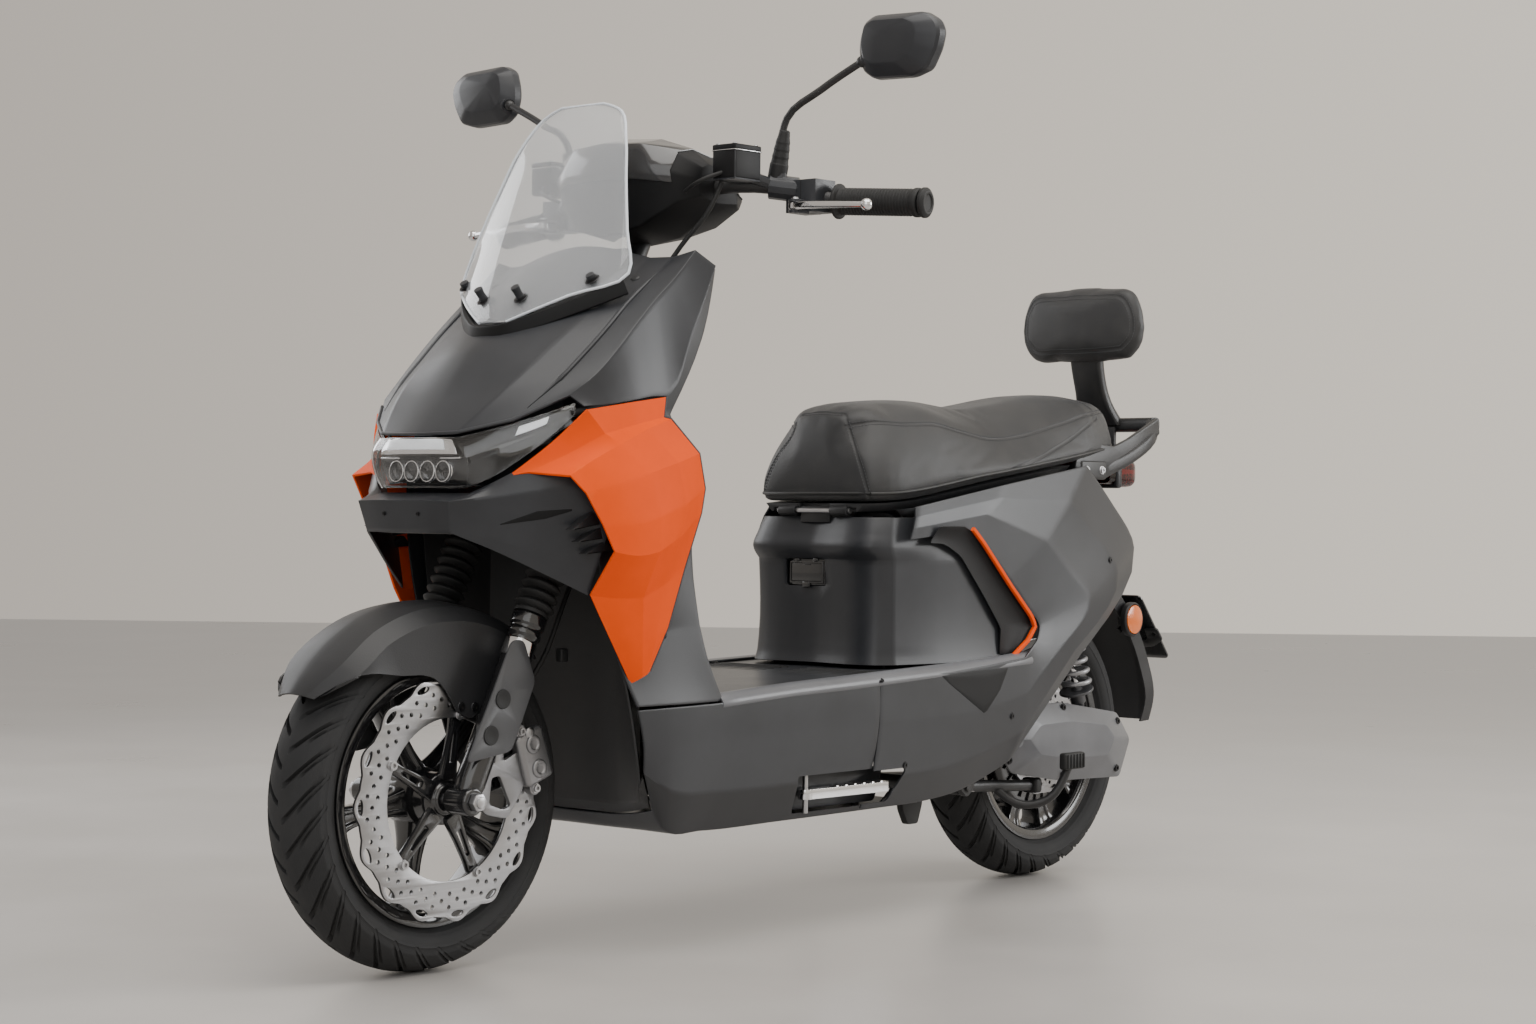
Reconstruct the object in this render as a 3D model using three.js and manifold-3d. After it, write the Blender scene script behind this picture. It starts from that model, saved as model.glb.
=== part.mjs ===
// Seated electric scooter with a step-through floor, built piece by piece.
// Millimetres, +X forward, +Y to the rider's left, +Z up, standing on the ground at z = 0.
import * as THREE from 'three';
import Module from 'manifold-3d';
import { mergeVertices } from 'three/addons/utils/BufferGeometryUtils.js';

const wasm = await Module();
wasm.setup();

// Driving dimensions of the whole scooter
const wheelbase = 1320;
const bodyWidth = 400;
const barHeight = 1000;
const rakeAngle = THREE.MathUtils.degToRad(26.5);
const gap = 0.4;
const panelWall = 3;
const weld = 0.001;
const cutOverrun = 5;

// Wheels
const tyreRadius = 224;
const frontTyreWidth = 94;
const rearTyreWidth = 100;
const tyreWall = 9;
const tyreHeight = 66;
const beadRadius = tyreRadius - tyreHeight;
const rimLip = 7;
const rimWall = 5;
const rimWidth = 66;
const hubRadius = 34;
const hubLength = 72;
const spokeWidth = 26;
const spokeDepth = 30;
const spokeCount = 5;
const wheelSides = 32;

// Brakes
const discInset = 1;
const discBand = 53;
const frontDiscRadius = beadRadius - discInset;
const frontDiscBore = frontDiscRadius - discBand;
const discThickness = 4;
const discPlane = 60;
const discLobes = 15;
const discLobeRise = 4;
const carrierLap = 8;
const carrierRadius = frontDiscBore + carrierLap;
const rearDiscRadius = 92;
const rearDiscBore = 38;

// Front fork
const forkOffset = 35;
const forkHalfSpan = 88;
const stanchionRadius = 15;
const sliderRadius = 20;
const sliderLength = 258;
const sliderFloorShare = 0.3;
const forkTravel = 70;
const gaiterLength = 140;
const gaiterRibs = 9;
const gaiterRibRise = 6;
const axleRadius = 7.5;
const axleReach = 112;
const axleNutRadius = 12;
const axleNutLength = 10;
const crownDepth = 34;
const crownHalfDepth = 24;
const stemRadius = 14;
const headTubeRadius = 25;
const headTubeLength = 170;
const bearingFlange = 12;
const stemTop = 868;
const guardThickness = 3;

// Handlebar
const barRadius = 11;
const gripRadius = 17;
const gripLength = 118;
const barTubeSides = 8;
const leverThickness = 9;
const mirrorStalkRadius = 5;
const mirrorWidth = 138;
const mirrorHeight = 88;
const mirrorDepth = 34;

// Rear suspension
const swingTube = 15;
const swingHalfSpan = 84;
const pivotBoltRadius = 8;
const rearAxleRadius = 8;
const motorRimRoom = 28;
const motorRadius = beadRadius - rimLip - rimWall - motorRimRoom;
const motorWidth = 84;
const shockTubeRadius = 15;
const shockRodRadius = 6;
const bushRoom = 1;
const shockEyeRadius = 12;
const springRadius = 24;
const springWire = 4;
const springCurls = 9;
const shockPlane = 104;

// Frame
const frameTube = 15;
const mainTube = 21;

const palette = {
  satinDark: new THREE.MeshStandardMaterial({ color: 0x3d3d3e, roughness: 0.5, metalness: 0.1 }),
  mattDark: new THREE.MeshStandardMaterial({ color: 0x2e2e2f, roughness: 0.7, metalness: 0 }),
  orange: new THREE.MeshStandardMaterial({ color: 0xf2570f, roughness: 0.42, metalness: 0.05 }),
  glossBlack: new THREE.MeshStandardMaterial({ color: 0x0d0d0e, roughness: 0.2, metalness: 0.3 }),
  frameBlack: new THREE.MeshStandardMaterial({ color: 0x18181a, roughness: 0.55, metalness: 0.3 }),
  rubber: new THREE.MeshStandardMaterial({ color: 0x262626, roughness: 0.85, metalness: 0 }),
  vinyl: new THREE.MeshStandardMaterial({ color: 0x333333, roughness: 0.6, metalness: 0 }),
  steel: new THREE.MeshStandardMaterial({ color: 0xc4c5c7, roughness: 0.3, metalness: 1 }),
  polished: new THREE.MeshStandardMaterial({ color: 0xd7d8da, roughness: 0.18, metalness: 1 }),
  castGrey: new THREE.MeshStandardMaterial({ color: 0x77787a, roughness: 0.45, metalness: 0.6 }),
  coverGrey: new THREE.MeshStandardMaterial({ color: 0x6d6e70, roughness: 0.5, metalness: 0.2 }),
  clear: new THREE.MeshStandardMaterial({
    color: 0xe8ecee, roughness: 0.05, metalness: 0, transparent: true, opacity: 0.3,
  }),
  redLens: new THREE.MeshStandardMaterial({ color: 0x8c1410, roughness: 0.15, metalness: 0 }),
  batteryCase: new THREE.MeshStandardMaterial({ color: 0x4b5157, roughness: 0.6, metalness: 0.2 }),
};

const scooter = new THREE.Group();

// Adds one named piece to a group.
function addPiece(name, geometry, material, parent = scooter) {
  const piece = new THREE.Mesh(facingOut(geometry), material);
  piece.name = name;
  parent.add(piece);
  return piece;
}

// Body places are shares: x and z in 1/100 of the bar height and y in 1/40 of the body's width,
// counted from the ground under the middle of the wheelbase. The front and the rear of the body
// keep their distance from the nearer axle, and a longer wheelbase stretches the floor between them.
const across = (share) => share * bodyWidth / 40;
const above = (share) => share * barHeight / 100;
const axleShare = 66;
const floorFrontShare = 24;
const floorRearShare = -12;

function along(share) {
  const front = wheelbase / 2 - above(axleShare - floorFrontShare);
  const rear = above(axleShare + floorRearShare) - wheelbase / 2;
  if (share >= floorFrontShare) return front + above(share - floorFrontShare);
  if (share <= floorRearShare) return rear + above(share - floorRearShare);
  return rear + (front - rear) * (share - floorRearShare) / (floorFrontShare - floorRearShare);
}

function onBody([xShare, yShare, zShare]) {
  return new THREE.Vector3(along(xShare), across(yShare), above(zShare));
}

// Keeps only positions and an index, with shared corners merged and empty triangles left out.
function bareMesh(geometry) {
  const copy = geometry.clone();
  copy.deleteAttribute('normal');
  copy.deleteAttribute('uv');
  const merged = mergeVertices(copy, weld);
  const all = Array.from(merged.index.array);
  const kept = [];
  for (let i = 0; i < all.length; i += 3) {
    const [a, b, c] = all.slice(i, i + 3);
    if (a !== b && b !== c && c !== a) kept.push(a, b, c);
  }
  merged.setIndex(kept);
  return merged;
}

// Turns a closed mesh inside out if its volume comes out negative.
function facingOut(geometry) {
  const mesh = bareMesh(geometry);
  const place = mesh.attributes.position;
  const index = mesh.index.array;
  const [a, b, c] = [new THREE.Vector3(), new THREE.Vector3(), new THREE.Vector3()];
  let volume = 0;
  for (let i = 0; i < index.length; i += 3) {
    a.fromBufferAttribute(place, index[i]);
    b.fromBufferAttribute(place, index[i + 1]);
    c.fromBufferAttribute(place, index[i + 2]);
    volume += a.dot(b.cross(c));
  }
  if (volume < 0) {
    for (let i = 0; i < index.length; i += 3) {
      const first = index[i];
      index[i] = index[i + 1];
      index[i + 1] = first;
    }
  }
  return mesh;
}

function toSolid(geometry) {
  const mesh = facingOut(geometry);
  return new wasm.Manifold(new wasm.Mesh({
    numProp: 3,
    vertProperties: new Float32Array(mesh.attributes.position.array),
    triVerts: new Uint32Array(mesh.index.array),
  }));
}

function toGeometry(solid) {
  const mesh = solid.simplify(gap / 8).getMesh();
  const geometry = new THREE.BufferGeometry();
  geometry.setAttribute('position', new THREE.BufferAttribute(new Float32Array(mesh.vertProperties), 3));
  geometry.setIndex(new THREE.BufferAttribute(new Uint32Array(mesh.triVerts), 1));
  return geometry;
}

function join(...parts) {
  return toGeometry(parts.map(toSolid).reduce((whole, part) => whole.add(part)));
}

function cut(body, ...tools) {
  return toGeometry(tools.map(toSolid).reduce((left, tool) => left.subtract(tool), toSolid(body)));
}

// Cuts room for the neighbours and drops the crumbs that the cut leaves outside the piece.
function trim(body, ...tools) {
  const left = tools.map(toSolid).reduce((rest, tool) => rest.subtract(tool), toSolid(body));
  const parts = left.decompose();
  return toGeometry(parts.reduce((best, part) => (part.volume() > best.volume() ? part : best)));
}

// Mirrors a piece to the other side of the scooter.
function otherSide(geometry) {
  return geometry.clone().scale(1, -1, 1);
}

function circlePoints(radius, sides) {
  return Array.from({ length: sides }, (_, i) => {
    const angle = 2 * Math.PI * i / sides;
    return new THREE.Vector2(radius * Math.cos(angle), radius * Math.sin(angle));
  });
}

// A round bar between two points, tapering where a second radius is given.
function rod(from, to, radius, sides = 12, endRadius = radius) {
  const axis = to.clone().sub(from);
  const geometry = new THREE.CylinderGeometry(endRadius, radius, axis.length(), sides);
  const turn = new THREE.Quaternion().setFromUnitVectors(new THREE.Vector3(0, 1, 0), axis.normalize());
  return geometry.applyQuaternion(turn).translate(
    (from.x + to.x) / 2, (from.y + to.y) / 2, (from.z + to.z) / 2);
}

// A bent tube through the given points.
function bentTube(points, radius, sides = 8, steps = 12) {
  const path = new THREE.CatmullRomCurve3(points, false, 'centripetal');
  const section = new THREE.Shape(circlePoints(radius, sides));
  return new THREE.ExtrudeGeometry(section, { steps, extrudePath: path });
}

// A block given by its middle and its full sizes.
function block(middle, length, width, height) {
  return new THREE.BoxGeometry(length, width, height).translate(middle.x, middle.y, middle.z);
}

// Corners as points that run clockwise or the other way round.
function wound(corners, clockwise) {
  const points = corners.map(([u, v]) => new THREE.Vector2(u, v));
  return THREE.ShapeUtils.isClockWise(points) === clockwise ? points : points.reverse();
}

function shapeOf(outline, holes = []) {
  const shape = new THREE.Shape(wound(outline, false));
  shape.holes = holes.map((hole) => new THREE.Path(wound(hole, true)));
  return shape;
}

// A plate whose outline is drawn from the side (x, z), lying between two values of y.
function sidePlate(outline, yLow, yHigh, holes = []) {
  const geometry = new THREE.ExtrudeGeometry(shapeOf(outline, holes), {
    depth: yHigh - yLow, bevelEnabled: false, steps: 1,
  });
  return geometry.rotateX(Math.PI / 2).translate(0, yHigh, 0);
}

// A plate whose outline is drawn from above (x, y), lying between two heights.
function topPlate(outline, zLow, zHigh, holes = []) {
  const geometry = new THREE.ExtrudeGeometry(shapeOf(outline, holes), {
    depth: zHigh - zLow, bevelEnabled: false, steps: 1,
  });
  return geometry.translate(0, 0, zLow);
}

// A round body turned about the y axis from a closed profile of [radius, y] corners.
function turned(profile, sides) {
  const corners = profile.map(([radius, y]) => new THREE.Vector2(radius, y));
  corners.push(corners[0].clone());
  return new THREE.LatheGeometry(corners, sides);
}

// A curved panel: a grid of places on its outer face, thickened inwards by its wall.
// The inside point tells which way is in. Its edges stand back by half a seam, or the
// whole panel is swollen by a margin when it serves to make room in a neighbour.
function panel(grid, wall, inside, margin = 0) {
  const rows = grid.length;
  const columns = grid[0].length;
  const spread = margin > 0 ? -margin : gap / 2;
  const place = grid.map((row) => row.map((point) => point.clone()));
  const nudge = (point, neighbour) => {
    const step = neighbour.clone().sub(point);
    return point.clone().addScaledVector(step.normalize(), spread);
  };
  for (let r = 0; r < rows; r += 1) {
    place[r][0] = nudge(grid[r][0], grid[r][1]);
    place[r][columns - 1] = nudge(grid[r][columns - 1], grid[r][columns - 2]);
  }
  for (let c = 0; c < columns; c += 1) {
    const [top, foot] = [place[0][c], place[rows - 1][c]];
    place[0][c] = nudge(top, place[1][c]);
    place[rows - 1][c] = nudge(foot, place[rows - 2][c]);
  }
  const flat = place.flat();
  const faces = [];
  for (let r = 0; r + 1 < rows; r += 1) {
    for (let c = 0; c + 1 < columns; c += 1) {
      const first = r * columns + c;
      faces.push([first, first + 1, first + columns + 1]);
      faces.push([first, first + columns + 1, first + columns]);
    }
  }
  const normals = flat.map(() => new THREE.Vector3());
  const middle = new THREE.Vector3();
  let facing = 0;
  for (const [i, j, k] of faces) {
    const normal = flat[j].clone().sub(flat[i]).cross(flat[k].clone().sub(flat[i]));
    middle.copy(flat[i]).add(flat[j]).add(flat[k]).divideScalar(3);
    facing += normal.dot(middle.sub(inside));
    [i, j, k].forEach((corner) => normals[corner].add(normal));
  }
  const way = facing > 0 ? -1 : 1;
  normals.forEach((normal) => normal.normalize().multiplyScalar(way));
  const outer = flat.map((point, i) => point.clone().addScaledVector(normals[i], -margin));
  const inner = flat.map((point, i) => point.clone().addScaledVector(normals[i], wall + margin));
  const index = [];
  faces.forEach(([i, j, k]) => index.push(i, j, k));
  faces.forEach(([i, j, k]) => index.push(flat.length + i, flat.length + k, flat.length + j));
  const rim = [];
  for (let c = 0; c + 1 < columns; c += 1) {
    rim.push([c + 1, c]);
    rim.push([(rows - 1) * columns + c, (rows - 1) * columns + c + 1]);
  }
  for (let r = 0; r + 1 < rows; r += 1) {
    rim.push([r * columns, (r + 1) * columns]);
    rim.push([(r + 2) * columns - 1, (r + 1) * columns - 1]);
  }
  for (const [i, j] of rim) {
    index.push(i, j, flat.length + j);
    index.push(i, flat.length + j, flat.length + i);
  }
  const geometry = new THREE.BufferGeometry();
  const places = [...outer, ...inner].flatMap((point) => point.toArray());
  geometry.setAttribute('position', new THREE.Float32BufferAttribute(places, 3));
  geometry.setIndex(index);
  return geometry;
}

// A closed body through a row of closed sections with the same number of corners.
function loft(sections) {
  const count = sections[0].length;
  const index = [];
  for (let s = 0; s + 1 < sections.length; s += 1) {
    for (let c = 0; c < count; c += 1) {
      const next = (c + 1) % count;
      const low = s * count;
      const high = low + count;
      index.push(low + c, low + next, high + next);
      index.push(low + c, high + next, high + c);
    }
  }
  const last = (sections.length - 1) * count;
  for (let c = 1; c + 1 < count; c += 1) {
    index.push(0, c + 1, c);
    index.push(last, last + c, last + c + 1);
  }
  const geometry = new THREE.BufferGeometry();
  const places = sections.flat().flatMap((point) => point.toArray());
  geometry.setAttribute('position', new THREE.Float32BufferAttribute(places, 3));
  geometry.setIndex(index);
  return geometry;
}

// Rows given for the left half, from the edge to the middle, are carried on to the right half.
function bothHalves(halfRows) {
  return halfRows.map((row) => {
    const left = row.map(onBody);
    const right = left.slice(0, -1).reverse().map((p) => new THREE.Vector3(p.x, -p.y, p.z));
    return [...left, ...right];
  });
}

// Wheels: tyres are open casings that sit on the rims, rims carry hub and spokes
const frontHub = new THREE.Vector3(wheelbase / 2, 0, tyreRadius);
const rearHub = new THREE.Vector3(-wheelbase / 2, 0, tyreRadius);
const treadHalfShare = 0.32;
const sideBulgeShare = 0.44;

function tyreCasing(width) {
  const half = width / 2;
  const bulge = beadRadius + (tyreRadius - beadRadius) * sideBulgeShare;
  const shoulder = tyreRadius - (tyreRadius - bulge) * treadHalfShare;
  const crown = tyreRadius;
  const foot = beadRadius + rimLip;
  const seat = rimWidth / 2 - gap;
  const outer = [
    [foot, seat], [bulge, half], [shoulder, half * (1 - treadHalfShare / 3)],
    [crown, 0], [shoulder, -half * (1 - treadHalfShare / 3)], [bulge, -half], [foot, -seat],
  ];
  const inner = [
    [beadRadius + gap, -seat], [beadRadius + gap, -seat + tyreWall],
    [bulge, -half + tyreWall], [crown - tyreWall, 0], [bulge, half - tyreWall],
    [beadRadius + gap, seat - tyreWall], [beadRadius + gap, seat],
  ];
  return turned([...outer, ...inner], wheelSides);
}

function rimRing(width) {
  const half = width / 2;
  const well = beadRadius - rimLip;
  return turned([
    [beadRadius, half], [beadRadius + rimLip, half], [beadRadius + rimLip, half + rimWall],
    [well - rimWall, half + rimWall], [well - rimWall, -half - rimWall],
    [beadRadius + rimLip, -half - rimWall], [beadRadius + rimLip, -half], [beadRadius, -half],
    [well, -half / 2], [well, half / 2],
  ], wheelSides);
}

const frontWheel = new THREE.Group();
frontWheel.position.copy(frontHub);
scooter.add(frontWheel);
const rearWheel = new THREE.Group();
rearWheel.position.copy(rearHub);
scooter.add(rearWheel);

function addTyres() {
  addPiece('front_tyre', tyreCasing(frontTyreWidth), palette.rubber, frontWheel);
  addPiece('rear_tyre', tyreCasing(rearTyreWidth), palette.rubber, rearWheel);
}

// A spoke reaches from the hub to the rim's well, wider at its foot.
function spoke(angle, inner, outer, footWidth, tipWidth, depth) {
  const shape = [
    [inner, -footWidth / 2], [outer, -tipWidth / 2], [outer, tipWidth / 2], [inner, footWidth / 2],
  ];
  return sidePlate(shape, -depth / 2, depth / 2).rotateY(angle);
}

// The disc's carrier arms stand out from the hub and end flat behind the disc.
function carrierArm(angle) {
  const plane = discPlane - discThickness / 2 - gap;
  const shape = [
    [hubRadius * 0.7, -spokeWidth * 0.4], [carrierRadius, -spokeWidth * 0.3],
    [carrierRadius, spokeWidth * 0.3], [hubRadius * 0.7, spokeWidth * 0.4],
  ];
  return sidePlate(shape, plane - spokeDepth * 0.4, plane).rotateY(angle);
}

function addFrontRim() {
  const parts = [rimRing(rimWidth)];
  const hubEnd = discPlane - discThickness / 2 - gap;
  parts.push(turned([
    [axleRadius + gap, hubEnd], [hubRadius, hubEnd], [hubRadius, -hubLength / 2],
    [axleRadius + gap, -hubLength / 2],
  ], 20));
  const well = beadRadius - rimLip - rimWall / 2;
  for (let i = 0; i < spokeCount; i += 1) {
    const angle = 2 * Math.PI * i / spokeCount;
    parts.push(spoke(angle, hubRadius * 0.8, well, spokeWidth, spokeWidth * 0.8, spokeDepth));
    parts.push(carrierArm(angle + Math.PI / spokeCount));
  }
  addPiece('front_rim', join(...parts), palette.glossBlack, frontWheel);
}

// The front disc's edge runs in lobes, each with an oval slot.
function addFrontDisc() {
  const edge = [];
  const stepsPerLobe = 4;
  for (let i = 0; i < discLobes * stepsPerLobe; i += 1) {
    const angle = 2 * Math.PI * i / (discLobes * stepsPerLobe);
    const wave = Math.cos(discLobes * angle);
    const radius = frontDiscRadius - discLobeRise * (0.5 - 0.5 * Math.max(wave, -0.6));
    edge.push([radius * Math.cos(angle), radius * Math.sin(angle)]);
  }
  const holes = [circlePoints(frontDiscBore, wheelSides).map((p) => [p.x, p.y])];
  const slotHalf = 8;
  const slotRise = 3;
  for (let i = 0; i < discLobes; i += 1) {
    const angle = 2 * Math.PI * i / discLobes;
    const middle = frontDiscRadius - discLobeRise - 2 * slotRise;
    const corners = [[0, -slotHalf], [slotRise, -slotHalf / 2], [slotRise, slotHalf / 2],
      [0, slotHalf], [-slotRise, slotHalf / 2], [-slotRise, -slotHalf / 2]];
    holes.push(corners.map(([u, v]) => [
      (middle + u) * Math.cos(angle) - v * Math.sin(angle),
      (middle + u) * Math.sin(angle) + v * Math.cos(angle),
    ]).reverse());
  }
  const low = discPlane - discThickness / 2;
  addPiece('front_disc', sidePlate(edge, low, low + discThickness, holes), palette.steel, frontWheel);
}

// The hub motor fills the rear wheel: its shell, the rim and short ribs are one casting.
function addHubMotor() {
  const half = motorWidth / 2;
  const shell = turned([
    [rearAxleRadius + gap, half], [motorRadius * 0.35, half], [motorRadius * 0.9, half * 0.8],
    [motorRadius, half * 0.6], [motorRadius, -half * 0.6], [motorRadius * 0.9, -half * 0.8],
    [motorRadius * 0.35, -half], [rearAxleRadius + gap, -half],
  ], wheelSides);
  const parts = [shell, rimRing(rimWidth)];
  const well = beadRadius - rimLip - rimWall / 2;
  for (let i = 0; i < spokeCount; i += 1) {
    parts.push(spoke(2 * Math.PI * i / spokeCount, motorRadius * 0.95, well, spokeWidth, spokeWidth, spokeDepth));
  }
  addPiece('hub_motor', join(...parts), palette.glossBlack, rearWheel);
}

function addRearDisc() {
  const low = motorWidth / 2 + gap;
  const edge = circlePoints(rearDiscRadius, wheelSides).map((p) => [p.x, p.y]);
  const bore = circlePoints(rearDiscBore, wheelSides / 2).map((p) => [p.x, p.y]);
  addPiece('rear_disc', sidePlate(edge, low, low + discThickness, [bore]), palette.steel, rearWheel);
}

// Front fork in its own frame: origin on the axle, z up along the legs
const fork = new THREE.Group();
fork.position.copy(frontHub);
fork.rotation.y = -rakeAngle;
scooter.add(fork);
const crownLow = sliderLength + gaiterLength + 2 * gap;
const crownHigh = crownLow + crownDepth;
const headLow = crownHigh + gap;
const headHigh = headLow + headTubeLength;

// A place in the fork's frame given as a place in the scooter's frame.
function fromFork(x, y, z) {
  const [cos, sin] = [Math.cos(rakeAngle), Math.sin(rakeAngle)];
  return new THREE.Vector3(frontHub.x + x * cos - z * sin, y, frontHub.z + x * sin + z * cos);
}

function sliderTube() {
  const bore = stanchionRadius + gap;
  const floor = sliderLength * sliderFloorShare;
  const collar = sliderRadius + 3;
  const tube = turned([
    [0, sliderRadius * 0.4], [sliderRadius * 0.8, sliderRadius * 0.4], [sliderRadius, sliderRadius],
    [sliderRadius, sliderLength * 0.92], [collar, sliderLength * 0.93], [collar, sliderLength],
    [bore, sliderLength], [bore, floor], [0, floor],
  ], 16).rotateX(Math.PI / 2);
  return tube.translate(0, forkHalfSpan, 0);
}

// The guard's outline, as shares of the slider's length: forward of the leg, then up it.
const guardShares = [
  [0.138, 0.147], [0.138, 0.806], [0.065, 0.843], [-0.102, 0.691], [-0.11, 0.405], [-0.108, 0.314],
];
const guardHoleShares = [[0.065, 0.522], [0.057, 0.331]];
const guardHoleRadius = 10;

function guardPlate() {
  const outline = guardShares.map(([u, v]) => [u * sliderLength, v * sliderLength]);
  const holes = guardHoleShares.map(([u, v]) => circlePoints(guardHoleRadius, 12)
    .map((p) => [u * sliderLength + p.x, v * sliderLength + p.y]));
  const inner = forkHalfSpan + sliderRadius - guardThickness / 2;
  return sidePlate(outline, inner, inner + guardThickness, holes);
}

function addForkLowers() {
  const lugRadius = sliderRadius * 0.85;
  const lugReach = sliderRadius + 1;
  const lug = rod(
    new THREE.Vector3(0, forkHalfSpan - lugReach, 0), new THREE.Vector3(0, forkHalfSpan + lugReach, 0),
    lugRadius, 16);
  const axleHole = rod(
    new THREE.Vector3(0, -2 * forkHalfSpan, 0), new THREE.Vector3(0, 2 * forkHalfSpan, 0),
    axleRadius + gap, 12);
  const leg = cut(join(sliderTube(), lug), axleHole);
  addPiece('fork_slider_left', join(leg, guardPlate()), palette.glossBlack, fork);
  addPiece('fork_slider_right', otherSide(leg), palette.glossBlack, fork);
  const nutPlace = forkHalfSpan + lugReach + gap;
  const axle = join(
    rod(new THREE.Vector3(0, -nutPlace - axleNutLength - 3, 0), new THREE.Vector3(0, nutPlace + axleNutLength + 3, 0),
      axleRadius, 12),
    rod(new THREE.Vector3(0, nutPlace, 0), new THREE.Vector3(0, nutPlace + axleNutLength, 0), axleNutRadius, 6),
    rod(new THREE.Vector3(0, -nutPlace, 0), new THREE.Vector3(0, -nutPlace - axleNutLength, 0), axleNutRadius, 6),
  );
  addPiece('front_axle', axle, palette.steel, fork);
}

// Crown, both stanchions and the steering column are one welded and clamped unit.
function addSteeringStem() {
  const stanchionLow = sliderLength * sliderFloorShare + forkTravel + stanchionRadius / 2;
  const parts = [-forkHalfSpan, forkHalfSpan].map((y) => rod(
    new THREE.Vector3(0, y, stanchionLow), new THREE.Vector3(0, y, crownHigh - gap), stanchionRadius, 14));
  const reach = forkHalfSpan + stanchionRadius + 6;
  const nose = crownHalfDepth;
  const tail = -forkOffset - crownHalfDepth;
  const half = reach * 0.42;
  const yoke = topPlate([
    [nose, -reach], [nose, reach], [-nose, reach], [tail, half], [tail, -half], [-nose, -reach],
  ], crownLow, crownHigh);
  parts.push(yoke);
  const axis = (z) => new THREE.Vector3(-forkOffset, 0, z);
  parts.push(rod(axis(crownLow), axis(stemTop), stemRadius, 14));
  const race = headTubeRadius - 5;
  parts.push(rod(axis(headLow + gap), axis(headLow + bearingFlange), race - gap, 16));
  parts.push(rod(axis(headHigh - bearingFlange), axis(headHigh + bearingFlange), race - gap, 16));
  addPiece('steering_stem', join(...parts), palette.frameBlack, fork);
}

// Ribbed rubber gaiters cover the stanchions above the sliders.
function addGaiters() {
  const bore = stanchionRadius + 5 * gap;
  const valley = stanchionRadius + gaiterRibRise;
  const ridge = valley + gaiterRibRise;
  const low = sliderLength + gap;
  const pitch = (gaiterLength - 2 * gaiterRibRise) / gaiterRibs;
  const profile = [[bore, low], [valley, low], [valley, low + gaiterRibRise]];
  for (let i = 0; i < gaiterRibs; i += 1) {
    const foot = low + gaiterRibRise + i * pitch;
    profile.push([ridge, foot + pitch * 0.5]);
    profile.push([valley, foot + pitch]);
  }
  profile.push([valley, low + gaiterLength - gap]);
  profile.push([bore, low + gaiterLength - gap]);
  const sleeve = turned(profile, 8).rotateX(Math.PI / 2).translate(0, forkHalfSpan, 0);
  addPiece('gaiter_left', sleeve, palette.rubber, fork);
  addPiece('gaiter_right', otherSide(sleeve), palette.rubber, fork);
}

// The caliper straddles the disc's edge behind the left leg, on a bracket bolted to the leg.
const caliperAngle = THREE.MathUtils.degToRad(160);
const caliperLength = 74;
const caliperHalfWidth = 22;
const caliperReach = 52;
const bracketThickness = 6;
const bracketShares = [
  [-0.14, 0.13], [-0.3, 0.52], [-0.66, 0.6], [-0.8, 0.36], [-0.74, 0.04], [-0.56, -0.2], [-0.3, -0.14],
];

function addFrontCaliper() {
  const outerEdge = frontDiscRadius + 9;
  const bridge = frontDiscRadius + 3;
  const inside = discPlane - discThickness / 2 - 1;
  const outside = discPlane + discThickness / 2 + 1;
  const bodyAt = (x, y, length, width, height) => block(new THREE.Vector3(x, y, 0), length, width, height);
  const half = (outerEdge + bridge) / 2;
  const caliper = join(
    bodyAt(outerEdge - caliperReach / 2, outside + caliperHalfWidth / 2, caliperReach, caliperHalfWidth, caliperLength),
    bodyAt(outerEdge - caliperReach / 2, inside - caliperHalfWidth / 3, caliperReach,
      caliperHalfWidth * 2 / 3, caliperLength * 0.8),
    bodyAt(half, discPlane + 1, outerEdge - bridge, 2 * caliperHalfWidth, caliperLength * 0.7),
  ).rotateY(-caliperAngle);
  const outline = bracketShares.map(([u, v]) => [u * frontDiscRadius, v * frontDiscRadius]);
  const plate = sidePlate(outline, outside + caliperHalfWidth / 3, outside + caliperHalfWidth / 3 + bracketThickness);
  const whole = join(caliper, plate);
  const legClear = rod(
    new THREE.Vector3(0, forkHalfSpan, 0), new THREE.Vector3(0, forkHalfSpan, sliderLength),
    sliderRadius + gap, 16).rotateY(-rakeAngle);
  const hubClear = rod(new THREE.Vector3(0, 0, 0), new THREE.Vector3(0, axleReach, 0), sliderRadius + gap, 16);
  addPiece('front_caliper', cut(whole, legClear, hubClear), palette.castGrey, frontWheel);
}

// The mudguard follows the tyre: stations by angle round the axle, then half section corners.
const guardClearance = 22;
const fenderAngles = [34, 46, 62, 78, 94, 106, 118, 130];
const fenderEdgeShares = [0.99, 0.9, 0.72, 0.63, 0.44, 0.42, 0.72, 0.9];

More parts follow.
